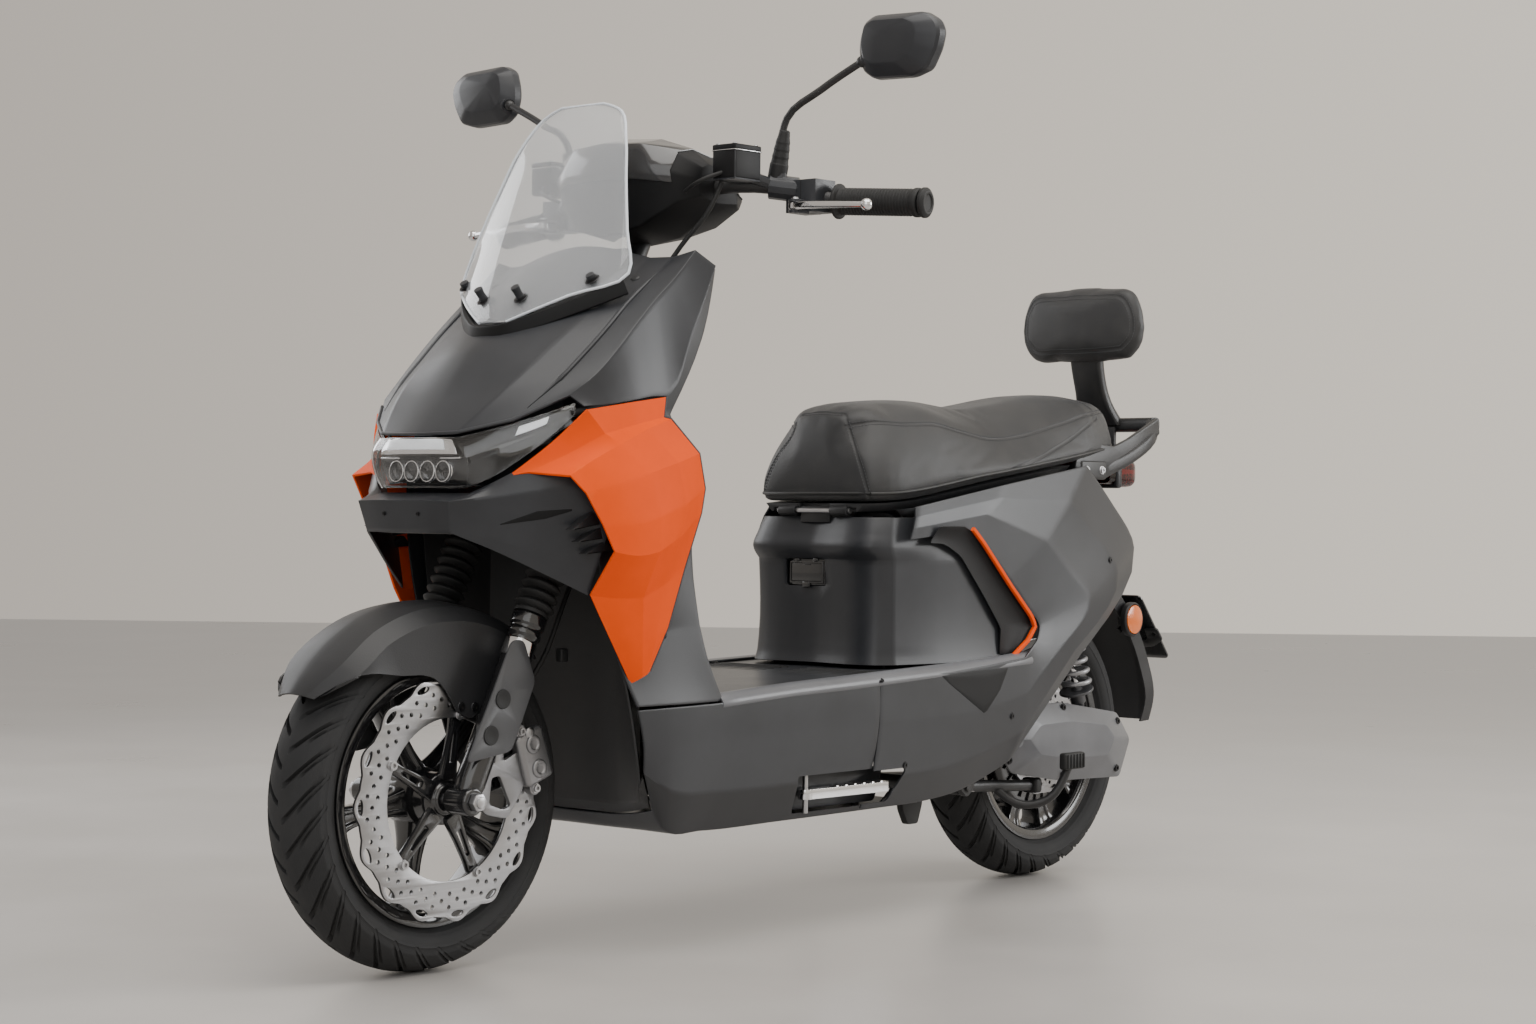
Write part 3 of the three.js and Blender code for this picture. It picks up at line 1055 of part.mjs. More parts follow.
function addMainFrame() {
  const head = headTube();
  const headBore = rod(
    fromFork(-forkOffset, 0, headLow - cutOverrun), fromFork(-forkOffset, 0, headHigh + cutOverrun),
    headTubeRadius - 5, 16);
  const downTube = bentTube(downTubeShares.map(onBody), mainTube, 10, 9);
  const parts = [
    cut(downTube, headBore), head, ...bothTubes(floorRailShares, frameTube),
    ...bothTubes(rearRailShares, frameTube), crossBar(30, 24.4, 12.6),
  ];
  parts.push(...frameCrossShares.map(([x, z, y]) => crossBar(x, z, y)));
  const { front, rear, side, z } = batteryTrayShares;
  parts.push(block(
    onBody([(front + rear) / 2, 0, z]), above(front - rear), across(2 * side), bracketWall));
  parts.push(...[[-17, 11.2], [-37, 11.2]].flatMap(([x, y]) => {
    const strut = rod(onBody([x, y - 0.9, z]), onBody([x + 4, y + 0.6, x > -20 ? 24.5 : 40]), 4.5, 8);
    return [strut, otherSide(strut)];
  }));
  const room = [shells.belly(seam), shells.floor(seam)];
  parts.push(...floorPostShares.flatMap((x) => {
    const post = trim(rod(onBody([x, 11.4, 15]), onBody([x, 11.4, 38]), 6, 8), ...room);
    return [post, otherSide(post)];
  }));
  const [carrierRoot, carrierBend, carrierEnd] = carrierShares.map(onBody);
  parts.push(rod(carrierRoot, carrierBend, 8, 10));
  parts.push(rod(carrierBend.clone().setX(carrierBend.x - 2), carrierEnd.setX(carrierEnd.x - gap), 8, 10));
  const shelf = controllerShelfShares;
  parts.push(block(
    onBody([controllerShares.x, 0, shelf.z]), above(shelf.length), across(2 * shelf.side), bracketWall));
  const lug = (place, y, radius) => rod(
    place.clone().setY(across(pivotLugInner * y)), place.clone().setY(across(pivotLugOuter * y)), radius, 10);
  const pivot = spot(pivotShares, 0);
  const stand = spot(standPivotShares, 0);
  const lugPlate = [
    [along(-26), above(26)], [along(-30), above(29)], [along(-34.6), above(26.4)],
    [along(-38), above(17)], [along(-36), above(15.4)], [along(-30), above(21)],
  ];
  for (const side of [1, -1]) {
    parts.push(lug(pivot, side, frameTube));
    const [low, high] = [pivotLugInner, pivotLugOuter].map((share) => across(share) * side).sort((a, b) => a - b);
    parts.push(sidePlate(lugPlate, low, high));
  }
  parts.push(rod(pivot.clone().setY(-across(12.4)), pivot.clone().setY(across(12.4)), pivotBoltRadius, 12));
  parts.push(rod(stand.clone().setY(-across(12)), stand.clone().setY(across(12)), pivotBoltRadius * 0.8, 12));
  const shockTop = spot(shockTopShares, shockPlane);
  const bracket = sidePlate([
    [shockTop.x - shockEyeRadius, shockTop.z - shockEyeRadius],
    [shockTop.x + shockEyeRadius, shockTop.z - shockEyeRadius],
    [shockTop.x + shockEyeRadius, above(57.4)], [shockTop.x - shockEyeRadius, above(57.8)],
  ], shockPlane + shockHalf + 1.5, shockPlane + shockHalf + 1.5 + lugThickness);
  parts.push(bracket);
  parts.push(rod(
    shockTop.clone().setY(shockPlane - shockHalf - 1), shockTop.clone().setY(shockPlane + shockHalf + 3),
    shockRodRadius, 12));
  addPiece('main_frame', trim(join(...parts), shells.belly(seam)), palette.frameBlack);
}

// Battery and controller
const controllerFlange = 20;
const batteryShares = { front: -16, rear: -40, side: 9.5, high: 57 };

function addElectrics() {
  const { front, rear, side, high } = batteryShares;
  const low = above(batteryTrayShares.z) + bracketWall / 2 + gap;
  const middle = onBody([(front + rear) / 2, 0, 0]).setZ((low + above(high)) / 2);
  const height = above(high) - low;
  const handle = bentTube([
    [-20, 0, high - 1], [-24, 0, high + 2], [-32, 0, high + 2], [-36, 0, high - 1],
  ].map(onBody), 5, 8, 8);
  addPiece('battery_pack', join(block(middle, above(front - rear), across(2 * side), height), handle), palette.batteryCase);
  const box = controllerShares;
  const core = block(onBody([box.x, 0, box.z]), above(box.length), across(2 * box.side), above(box.height));
  const foot = block(
    onBody([box.x, 0, controllerShelfShares.z]).add(new THREE.Vector3(0, 0, bracketWall + gap)),
    above(box.length), across(2 * box.side) + 2 * controllerFlange, bracketWall);
  addPiece('motor_controller', join(core, foot), palette.castGrey);
}

// Grab rail, backrest, tail light and rear mudguard
const railArmShares = [[-62, 12, 65.8], [-70, 12.2, 66.2], [-78, 12.6, 68.6], [-84, 12.4, 71.6], [-88, 10.4, 74]];
const railSection = { half: 11, height: 13 };
const railBarShares = [-88, 10.6, 74];
const railBarShare = 2.4;
const hangerShare = 0.8;
const backrestShares = { x: -82.5, side: 12, low: 85.5, high: 96.3, depth: 4.2 };
const tailLightShares = { front: -80, rear: -90, side: 7.5, low: 63.5, high: 68 };
const mudguardRoom = 76;
const mudguardRadius = tyreRadius + mudguardRoom;
const mudguardHalf = 70;
const strutRadius = 5;
const earRadius = 8;
const earDrop = 24;
const hangerSideShare = 4.6;
const mudguardFlange = 34;
const mudguardAngles = [58, 72, 86, 100, 114, 128, 142, 156, 168, 177];
// Radius as a share of the mudguard's, and angle round the rear axle
const plateShares = { high: [1.069, 134.75], low: [1.127, 159.2], side: 8 };
const strutShares = { foot: [0.9, 144.7], tip: [1.074, 145.6], y: 3 };
const plateThickness = 3.5;

function railArm() {
  const path = new THREE.CatmullRomCurve3(railArmShares.map(onBody), false, 'centripetal');
  const { half, height } = railSection;
  const section = new THREE.Shape([
    [-half, -height * 0.6], [-half * 0.6, -height], [half * 0.6, -height], [half, -height * 0.6],
    [half, height * 0.6], [half * 0.6, height], [-half * 0.6, height], [-half, height * 0.6],
  ].map(([u, v]) => new THREE.Vector2(v, u)));
  return new THREE.ExtrudeGeometry(section, { steps: 9, extrudePath: path });
}

function addGrabRail() {
  const arm = railArm();
  const [barX, barY, barZ] = railBarShares;
  const bar = block(onBody([barX, 0, barZ]), above(railBarShare), across(2 * barY + 2), above(railBarShare));
  const { x, low } = backrestShares;
  const stalk = loft([[barX, barZ, 4.6, 1.4], [barX + 2, barZ + 4, 3.2, 1.1], [x - 1.6, low - 2, 3, 1], [x - 1, low + 4, 3.4, 1]].map(
    ([px, pz, half, depth]) => [
      onBody([px - depth, -half, pz]), onBody([px + depth, -half, pz]),
      onBody([px + depth, half, pz]), onBody([px - depth, half, pz]),
    ]));
  const pad = backrestShares;
  const foot = onBody([-65, 11.6, 0]);
  const post = rod(foot.clone().setZ(above(60.02)), foot.clone().setZ(above(65.6)), 9, 10);
  const lamp = tailLightShares;
  const hanger = block(
    onBody([(lamp.front + lamp.rear) / 2 - 2, 0, (lamp.high + barZ) / 2]).setX(along(barX + 1)),
    above(hangerShare), across(lamp.side), above(barZ - lamp.high) - 2 * seam);
  const rail = join(arm, otherSide(arm), bar, post, otherSide(post), stalk, hanger);
  const padRoom = block(
    onBody([pad.x, 0, (pad.low + pad.high) / 2]), above(pad.depth) + 2 * seam,
    across(2 * pad.side) + 2 * seam, above(pad.high - pad.low + 0.4) + 2 * seam);
  const bracketTop = cut(rail, padRoom);
  addPiece('grab_rail', trim(bracketTop), palette.castGrey);
}

// The pad is drawn in at its edges and crowned on the side that faces the rider.
function addBackrest() {
  const { x, side, low, high, depth } = backrestShares;
  const [half, rise] = [side, high - low];
  const ring = (shrink, at) => [
    [0.82, 0], [1, 0.2], [1, 0.7], [0.86, 0.94], [0.5, 1], [-0.5, 1], [-0.86, 0.94],
    [-1, 0.7], [-1, 0.2], [-0.82, 0], [-0.4, -0.03], [0.4, -0.03],
  ].map(([u, v]) => onBody([at, u * half * shrink, low + rise * (0.5 + (v - 0.5) * shrink * 0.96)]));
  const pad = loft([
    ring(0.9, x - depth / 2), ring(1, x - depth * 0.3), ring(1, x + depth * 0.1),
    ring(0.94, x + depth * 0.34), ring(0.8, x + depth * 0.46), ring(0.45, x + depth / 2),
  ]);
  addPiece('backrest_pad', pad, palette.vinyl);
}

function addTailLight() {
  const { front, rear, side, low, high } = tailLightShares;
  const section = (x, half, foot, top) => [
    onBody([x, -half, foot]), onBody([x, half, foot]), onBody([x, half, top]), onBody([x, -half, top]),
  ];
  const lamp = loft([
    section(front, side, low + 0.6, high), section((front + rear) / 2, side, low, high),
    section(rear + 1.6, side * 0.92, low + 0.3, high), section(rear, side * 0.72, low + 1.2, high - 0.6),
  ]);
  addPiece('tail_light', lamp, palette.redLens);
}

function addRearFender() {
  const rows = mudguardAngles.map((degrees, i) => {
    const angle = THREE.MathUtils.degToRad(degrees);
    const last = i === mudguardAngles.length - 1;
    const half = mudguardHalf * (last ? 0.8 : 1);
    const corners = [
      [half, mudguardRadius - mudguardFlange], [half, mudguardRadius - 8], [half - 8, mudguardRadius],
      [0, mudguardRadius + 2],
    ];
    const left = corners.map(([y, radius]) => new THREE.Vector3(
      rearHub.x + radius * Math.cos(angle), y, rearHub.z + radius * Math.sin(angle)));
    const right = left.slice(0, -1).reverse().map((p) => new THREE.Vector3(p.x, -p.y, p.z));
    return [...left, ...right];
  });
  const guard = panel(rows, panelWall, rearHub);
  const { high, low, side } = plateShares;
  const round = ([share, degrees], y) => {
    const angle = THREE.MathUtils.degToRad(degrees);
    const reach = share * mudguardRadius;
    return new THREE.Vector3(rearHub.x + reach * Math.cos(angle), y, rearHub.z + reach * Math.sin(angle));
  };
  const [top, foot] = [round(high, 0), round(low, 0)];
  const plate = sidePlate([
    [top.x, top.z], [foot.x, foot.z], [foot.x - plateThickness, foot.z + plateThickness],
    [top.x - plateThickness, top.z + plateThickness],
  ], -across(side), across(side));
  const strut = (y) => rod(round(strutShares.foot, y), round(strutShares.tip, y), strutRadius, 8);
  const struts = [-1, 1].map((way) => strut(way * across(strutShares.y)));
  const [barX, barZ] = frameCrossShares[frameCrossShares.length - 1];
  const over = (way, z) => onBody([barX, way * hangerSideShare, 0]).setZ(z);
  const hangerLow = rearHub.z + mudguardRadius - strutRadius * 2;
  const hanger = [-1, 1].map((way) => rod(
    over(way, hangerLow), over(way, above(barZ) + strutRadius), strutRadius, 8));
  const ears = [-1, 1].map((way) => rod(
    over(way, above(barZ) - earDrop), over(way, above(barZ) - earDrop * 0.4), earRadius, 8));
  const whole = join(guard, plate, ...struts, ...hanger, ...ears);
  const room = crossBarRoom();
  addPiece('rear_fender', trim(whole, room), palette.mattDark);
}

// Room round the last cross bar of the frame, which the mudguard's hangers clasp.
function crossBarRoom() {
  const [x, z, y] = frameCrossShares[frameCrossShares.length - 1];
  return crossBar(x, z, y + 2, frameTube * 0.8 + seam);
}

// Swingarm: two arms on the frame's pivot bolt, carrying the rear axle and brake
const swingBraceShares = { x: -39.5, z: 24.5 };
const coverShares = [
  [-42, 24], [-47, 28.6], [-60, 29], [-76, 26.6], [-80, 22], [-77, 16], [-60, 16.5], [-47, 18.5],
];
const coverPlane = 116;
const coverWall = 8;
const coverRise = 22;
const coverBossShares = [{ x: -47, z: 23.6 }, { x: -57, z: 22.9 }];
const rearCaliperAngle = THREE.MathUtils.degToRad(28);

function rearCaliper() {
  const face = motorWidth / 2 + gap;
  const [reach, length] = [rearDiscRadius, 46];
  const outside = face + discThickness + 1;
  const part = (low, high, near, far) => block(
    new THREE.Vector3((near + far) / 2, (low + high) / 2, 0), far - near, high - low, length);
  return join(
    part(outside, outside + 30, reach - 18, reach + 12),
    part(face - 5, outside + 1, reach + 2, reach + 12),
    part(face - 4.6, face - 1, reach - 8, reach + 12),
  ).rotateY(-rearCaliperAngle).translate(rearHub.x, rearHub.y, rearHub.z);
}

function addSwingarm() {
  const pivot = spot(pivotShares, 0);
  const brace = spot(swingBraceShares, 0);
  const parts = [
    rod(pivot.clone().setY(-across(10.2)), pivot.clone().setY(across(10.2)), swingTube + 4, 14),
    rod(brace.clone().setY(-swingHalfSpan), brace.clone().setY(swingHalfSpan), swingTube * 0.8, 8),
    rod(rearHub.clone().setY(-axleReach), rearHub.clone().setY(axleReach), rearAxleRadius, 12),
  ];
  for (const side of [1, -1]) {
    const y = side * swingHalfSpan;
    parts.push(rod(pivot.clone().setY(y), rearHub.clone().setY(y), swingTube, 8));
    const end = rearHub.clone().setY(side * (swingHalfSpan - swingTube + 1));
    parts.push(rod(end, rearHub.clone().setY(side * (swingHalfSpan + swingTube)), swingTube + 5, 10));
    parts.push(rod(
      rearHub.clone().setY(side * (swingHalfSpan + swingTube - 1)), rearHub.clone().setY(side * (axleReach - 3)),
      axleNutRadius, 6));
  }
  const foot = spot(shockFootShares, 0);
  parts.push(sidePlate([
    [foot.x - shockEyeRadius, foot.z + shockEyeRadius], [foot.x + shockEyeRadius, foot.z + shockEyeRadius],
    [foot.x + 3 * shockEyeRadius, rearHub.z - 3], [foot.x, rearHub.z - 8],
  ], shockPlane - shockHalf - 2 - lugThickness, shockPlane - shockHalf - 2));
  parts.push(rod(
    foot.clone().setY(shockPlane - shockHalf - 4), foot.clone().setY(shockPlane + shockHalf + 2),
    shockRodRadius, 12));
  const clasp = rod(
    rearHub.clone().add(new THREE.Vector3(rearDiscRadius * 0.75, 0, rearDiscRadius * 0.36)).setY(swingHalfSpan - 8),
    rearHub.clone().add(new THREE.Vector3(rearDiscRadius * 0.7, 0, 0)).setY(swingHalfSpan - 4), swingTube * 0.6, 8);
  const bore = rod(
    pivot.clone().setY(-across(12)), pivot.clone().setY(across(12)), pivotBoltRadius + gap, 16);
  addPiece('swingarm', trim(join(...parts, rearCaliper(), clasp), bore), palette.frameBlack);
}

// The cover over the drive side is a raised moulding on two bosses.
function addMotorCover() {
  const outline = coverShares.map(([x, z]) => [along(x), above(z)]);
  const [mx, mz] = outline.reduce(([x, z], [u, v]) => [x + u / outline.length, z + v / outline.length], [0, 0]);
  const ring = (shrink, y) => outline.map(([x, z]) => new THREE.Vector3(
    mx + (x - mx) * shrink, y, mz + (z - mz) * (shrink * 1.4 - 0.4)));
  const face = coverPlane + coverRise;
  const shellOf = (inset) => loft([
    ring(1 - inset / 200, coverPlane - inset * 0.2), ring(1 - inset / 200, coverPlane + coverWall - inset * 0.5),
    ring(0.93 - inset / 200, face - 5 - inset * 0.8), ring(0.84 - inset / 200, face - inset),
  ]);
  const hollow = shellOf(3).translate(0, -0.5, 0);
  const shell = cut(shellOf(0), hollow);
  const bosses = coverBossShares.map((place) => rod(
    spot(place, swingHalfSpan + swingTube + gap), spot(place, face - 1.5), 9, 10));
  addPiece('motor_cover', join(shell, ...bosses), palette.coverGrey);
}

// Shock absorber in its own frame: origin on the upper eye, the lower eye straight down z
const shockTop = spot(shockTopShares, shockPlane);
const shockFoot = spot(shockFootShares, shockPlane);
const shockSpan = shockTop.distanceTo(shockFoot);
const shock = new THREE.Group();
shock.position.copy(shockTop);
shock.rotation.y = Math.atan2(shockTop.x - shockFoot.x, shockTop.z - shockFoot.z);
scooter.add(shock);
const seatRadius = springRadius + springWire;
const upperSeat = 24;
const lowerSeat = 41;
const seatThickness = 4;
const shockTubeLength = 120;

const shockAt = (y, z) => new THREE.Vector3(0, y, z);
const shockEye = (z) => rod(shockAt(-shockHalf, z), shockAt(shockHalf, z), shockEyeRadius, 16);
const eyeBore = (z) => rod(shockAt(-2 * shockHalf, z), shockAt(2 * shockHalf, z), shockRodRadius + bushRoom, 16);

function addShock() {
  const body = join(
    shockEye(0), rod(shockAt(0, 0), shockAt(0, -upperSeat), shockHalf, 10),
    rod(shockAt(0, -upperSeat + seatThickness), shockAt(0, -shockTubeLength), shockTubeRadius, 14),
    rod(shockAt(0, -upperSeat), shockAt(0, -upperSeat - seatThickness), seatRadius, 20));
  const bore = rod(
    shockAt(0, -upperSeat), shockAt(0, -shockTubeLength - cutOverrun), shockRodRadius + gap, 12);
  addPiece('shock_body', cut(body, eyeBore(0), bore), palette.frameBlack, shock);
  const seatLevel = -shockSpan + lowerSeat;
  const shaft = join(
    shockEye(-shockSpan), rod(shockAt(0, -shockSpan), shockAt(0, seatLevel), shockHalf, 10),
    rod(shockAt(0, seatLevel - lowerSeat * 0.5), shockAt(0, seatLevel), shockEyeRadius, 14),
    rod(shockAt(0, seatLevel), shockAt(0, seatLevel + seatThickness), seatRadius, 20),
    rod(shockAt(0, -shockSpan), shockAt(0, -shockTubeLength * 0.82), shockRodRadius, 12));
  addPiece('shock_rod', cut(shaft, eyeBore(-shockSpan)), palette.polished, shock);
}

// The spring is one helix of round wire between the two seats.
function addShockSpring() {
  const high = -upperSeat - seatThickness - gap - springWire;
  const low = -shockSpan + lowerSeat + seatThickness + gap + springWire;
  const stepsPerCurl = 8;
  const sides = 5;
  const count = springCurls * stepsPerCurl;
  const centre = (i) => {
    const angle = 2 * Math.PI * i / stepsPerCurl;
    return new THREE.Vector3(
      springRadius * Math.cos(angle), springRadius * Math.sin(angle), low + (high - low) * i / count);
  };
  const rings = [];
  for (let i = 0; i <= count; i += 1) {
    const middle = centre(i);
    const outward = new THREE.Vector3(middle.x, middle.y, 0).normalize();
    rings.push(circlePoints(springWire, sides).map((p) => middle.clone()
      .addScaledVector(outward, p.x).add(new THREE.Vector3(0, 0, p.y))));
  }
  let least = Infinity;
  for (let i = 0; i + stepsPerCurl <= count; i += 1) {
    for (const first of rings[i]) {
      for (const second of rings[i + stepsPerCurl]) least = Math.min(least, first.distanceTo(second));
    }
  }
  console.log(`least gap between spring curls ${least.toFixed(2)} mm`);
  addPiece('shock_spring', loft(rings), palette.frameBlack, shock);
}

// Centre stand, folded up, with the arm that the rider's foot pushes
const standFootShares = { x: -55, z: 16 };
const standLegSpan = 9.2;
const standTube = 9;
const kickArmShares = [[-46, 9.2, 16.3], [-48.5, 13, 13.6], [-51, 16, 14.5], [-53.6, 18, 19.4]];
const kickPadShares = [-54, 18.5, 20.5];

function addCentreStand() {
  const pivot = spot(standPivotShares, 0);
  const parts = [rod(
    pivot.clone().setY(-across(10.2)), pivot.clone().setY(across(10.2)), standTube + 3, 16)];
  for (const side of [1, -1]) {
    const y = side * across(standLegSpan);
    const foot = spot(standFootShares, y * 1.08);
    parts.push(rod(pivot.clone().setY(y), foot, standTube, 8));
    parts.push(block(foot.clone().setX(foot.x - 2), above(1.8), across(3), above(2.4)));
  }
  const middle = pivot.clone().lerp(spot(standFootShares, 0), 0.25);
  parts.push(rod(
    middle.clone().setY(-across(standLegSpan)), middle.clone().setY(across(standLegSpan)), standTube * 0.7, 10));
  parts.push(bentTube(kickArmShares.map(onBody), standTube * 0.75, 6, 7));
  parts.push(block(onBody(kickPadShares), above(5.6), across(1.5), above(2.8)));
  const bore = rod(
    pivot.clone().setY(-across(12)), pivot.clone().setY(across(12)), pivotBoltRadius * 0.8 + gap, 14);
  addPiece('centre_stand', cut(join(...parts), bore), palette.frameBlack);
}

// Folding footpegs in the step recesses
const pegPivotShares = [7.2, 15.6, 19.5];
const pegTipShares = [-9.8, 15.9, 19.5];
const pegPinRadius = 4;
const pegEyeRadius = 10;
const pegHalfHeight = 7;
const pegTeeth = 6;
const pegTooth = { length: 5, width: 14, height: 4 };

function pegPin() {
  const pivot = onBody(pegPivotShares);
  return rod(pivot.clone().setZ(above(16)), pivot.clone().setZ(above(23.2)), pegPinRadius, 12);
}

function addFootpegs() {
  const pivot = onBody(pegPivotShares);
  const tip = onBody(pegTipShares);
  const [low, high] = [pivot.z - pegHalfHeight, pivot.z + pegHalfHeight];
  const eye = rod(pivot.clone().setZ(low), pivot.clone().setZ(high), pegEyeRadius, 16);
  const plank = topPlate([
    [pivot.x, pivot.y - 7], [tip.x, tip.y - 9], [tip.x - 6, tip.y - 4], [tip.x - 6, tip.y + 6],
    [tip.x, tip.y + 11], [pivot.x, pivot.y + 9],
  ], low, high);
  const toothPitch = (pivot.x - tip.x) / (pegTeeth + 2.5);
  const teeth = Array.from({ length: pegTeeth }, (_, i) => block(
    new THREE.Vector3(tip.x + (i + 0.5) * toothPitch, tip.y, high), pegTooth.length, pegTooth.width, pegTooth.height));
  const bore = rod(
    pivot.clone().setZ(low - cutOverrun), pivot.clone().setZ(high + cutOverrun), pegPinRadius + gap, 12);
  const peg = cut(join(eye, plank, ...teeth), bore);
  addPiece('footpeg_left', peg, palette.polished);
  addPiece('footpeg_right', otherSide(peg), palette.polished);
}

// Handlebar with its controls, whose places keep their distance from the front axle
const ahead = (share) => frontHub.x + above(share - axleShare);
const onBar = ([x, y, z]) => new THREE.Vector3(ahead(x), across(y), above(z));

const barMiddleShares = [
  [13.1 + 2.4, 27, 101.3], [17.5, 22, 103], [23.5, 12, 103.5], [22.4, 0, 100.4],
];
const gripFootShares = [15.5, 27, 101.3];
const gripEndShares = [13.1, 39, 100.6];
const clampRadius = 21;
const clampLength = 40;
const housingShares = { x: 16.7, y: 23.6, z: 102, length: 4.2, width: 5.2, height: 4.4 };
const reservoirShares = { x: 25, y: 17.5, z: 106, length: 5.2, width: 4, height: 4.4 };
const leverPivotShares = [20.6, 24.2, 100.4];
const leverShares = [[20.6, 24.2, 100.4], [22.6, 27, 100.2], [22.6, 33, 99.9], [21.9, 37.6, 99.7]];
const leverPinRadius = 3.5;
const leverEyeRadius = 9;
const leverBall = 8;
const lugWall = 4;

function barParts(radius) {
  const middle = barMiddleShares.map(onBar);
  const rest = middle.slice(0, -1).reverse().map((p) => new THREE.Vector3(p.x, -p.y, p.z));
  const foot = onBar(gripFootShares);
  const end = onBar(gripEndShares);
  const start = foot.clone().lerp(end, -0.06 - (radius - barRadius) / gripLength);
  const straight = rod(start, end.clone().lerp(foot, 0.02), radius, barTubeSides);
  return [bentTube([...middle, ...rest], radius, barTubeSides, 16), straight, otherSide(straight)];
}

// The place on the bar's middle line at a given distance to the left.
function barAt(y) {
  const path = new THREE.CatmullRomCurve3(barMiddleShares.map(onBar), false, 'centripetal');
  const points = path.getPoints(120);
  return points.reduce((best, point) => (Math.abs(point.y - y) < Math.abs(best.y - y) ? point : best));
}

function clampParts(grow) {
  const axis = (z) => fromFork(-forkOffset, 0, z);
  return rod(axis(stemTop - clampLength), axis(stemTop + clampLength * 0.6), clampRadius + grow, 20);
}

function addHandlebar() {
  const axis = (z) => fromFork(-forkOffset, 0, z);
  const bore = rod(axis(stemTop - clampLength - cutOverrun), axis(stemTop + gap), stemRadius + gap, 14);
  addPiece('handlebar', cut(join(...barParts(barRadius), clampParts(0)), bore), palette.frameBlack);
}

// Cover over the middle of the bar, as half sections from the outer end to the middle.
const coverSections = [
  [12.8, [[27.5, 104], [26.8, 105.8], [25.5, 106.4], [21.5, 105.6], [19.4, 101.4], [19.6, 99.6], [23.5, 99], [27, 99.8]]],
  [10.8, [[31, 105], [30, 107.8], [27, 108.8], [20.5, 107.4], [15.6, 100.6], [16.5, 97.7], [24, 96.9], [30.5, 97.4]]],
  [6.2, [[34, 106], [32.6, 108.8], [28, 110], [20, 108.4], [14.2, 100.2], [15.2, 96.8], [24, 96], [33.4, 96.4]]],
  [0, [[34.5, 106], [33, 109], [28, 110.2], [20, 108.6], [14, 100], [15, 96.6], [24, 95.9], [33.8, 96.3]]],
];
const coverMiddle = [24, 0, 102.6];

function coverBody(shrink) {
  const middle = onBar(coverMiddle);
  const section = ([y, outline], side) => outline.map(([x, z]) => {
    const place = onBar([x, y * side, z]);
    return place.sub(middle).multiplyScalar(shrink).add(middle);
  });
  const left = coverSections.map((entry) => section(entry, 1));
  const right = coverSections.slice(0, -1).reverse().map((entry) => section(entry, -1));
  return loft([...left, ...right]);
}

function addHandlebarCover() {
  const shell = cut(coverBody(1), coverBody(0.955));
  const stemRoom = clampParts(gap * 2);
  const footRoom = rod(
    fromFork(-forkOffset, 0, stemTop - 3 * clampLength), fromFork(-forkOffset, 0, stemTop), clampRadius + 2, 20);
  const cover = trim(shell, ...barParts(barRadius + gap), stemRoom, footRoom);
  addPiece('handlebar_cover', cover, palette.satinDark);
}

function gripSleeve() {
  const foot = onBar(gripFootShares);
  const end = onBar(gripEndShares);
  const way = end.clone().sub(foot).normalize();
  const sleeve = rod(foot, end.clone().addScaledVector(way, 4), gripRadius, 12);
  const flange = rod(foot, foot.clone().addScaledVector(way, 5), gripRadius + 6, 12);
  const cap = rod(end, end.clone().addScaledVector(way, 8), gripRadius + 2, 12);
  const clearRadius = (barRadius + 2 * gap) / Math.cos(Math.PI / barTubeSides);
  const bore = rod(foot.clone().addScaledVector(way, -cutOverrun), end, clearRadius, barTubeSides);
  return cut(join(sleeve, flange, cap), bore, ...barParts(barRadius + gap));
}

function leverOf() {
  const points = leverShares.map(onBar);
  const pivot = onBar(leverPivotShares);
  const half = leverThickness / 2;
  const eye = rod(pivot.clone().setZ(pivot.z - half), pivot.clone().setZ(pivot.z + half), leverEyeRadius, 14);
  const blade = bentTube(points, half, 8, 7);
  const tip = points[points.length - 1];
  const ball = new THREE.SphereGeometry(leverBall, 8, 6).translate(tip.x, tip.y, tip.z);
  const bore = rod(
    pivot.clone().setZ(pivot.z - 2 * half), pivot.clone().setZ(pivot.z + 2 * half), leverPinRadius + gap, 12);
  return cut(join(eye, blade, ball), bore);
}

// A housing clamps the bar beside the grip and holds the lever's pin and the mirror's boss.
function housingOf(withReservoir) {
  const { x, y, z, length, width, height } = housingShares;
  const core = block(onBar([x, y, z]), above(length), across(width), above(height));
  const pivot = onBar(leverPivotShares);
  const half = leverThickness / 2 + 2 * gap;
  const lugFoot = ahead(x + length / 2) - 2;
  const lugOutline = [
    [lugFoot, pivot.y - leverEyeRadius], [pivot.x + 4, pivot.y - leverEyeRadius],
    [pivot.x + leverEyeRadius, pivot.y - 3], [pivot.x + leverEyeRadius, pivot.y + 3],
    [pivot.x + 4, pivot.y + leverEyeRadius - 1], [lugFoot, pivot.y + leverEyeRadius - 1],
  ];
  const lugs = [
    topPlate(lugOutline, pivot.z + half, pivot.z + half + lugWall),
    topPlate(lugOutline, pivot.z - half - lugWall, pivot.z - half),
  ];
  const pin = rod(
    pivot.clone().setZ(pivot.z - half - 2), pivot.clone().setZ(pivot.z + half + 2), leverPinRadius, 12);
  const base = onBar(mirrorBaseShares);
  const boss = rod(base.clone().setZ(above(103)), base.clone().setZ(base.z - gap), 11, 12);
  const collar = rod(barAt(base.y - 11), barAt(across(y - width / 2 + 1)), barRadius + 6, 12);
  const parts = [core, ...lugs, pin, boss, collar];
  if (withReservoir) {
    const box = reservoirShares;
    parts.push(block(onBar([box.x, box.y, box.z]), above(box.length), across(box.width), above(box.height)));
    parts.push(rod(base.clone().setZ(above(103.4)), onBar([box.x - 1, box.y, box.z - 1]), 8, 8));
  }
  return cut(join(...parts), ...barParts(barRadius + gap));
}

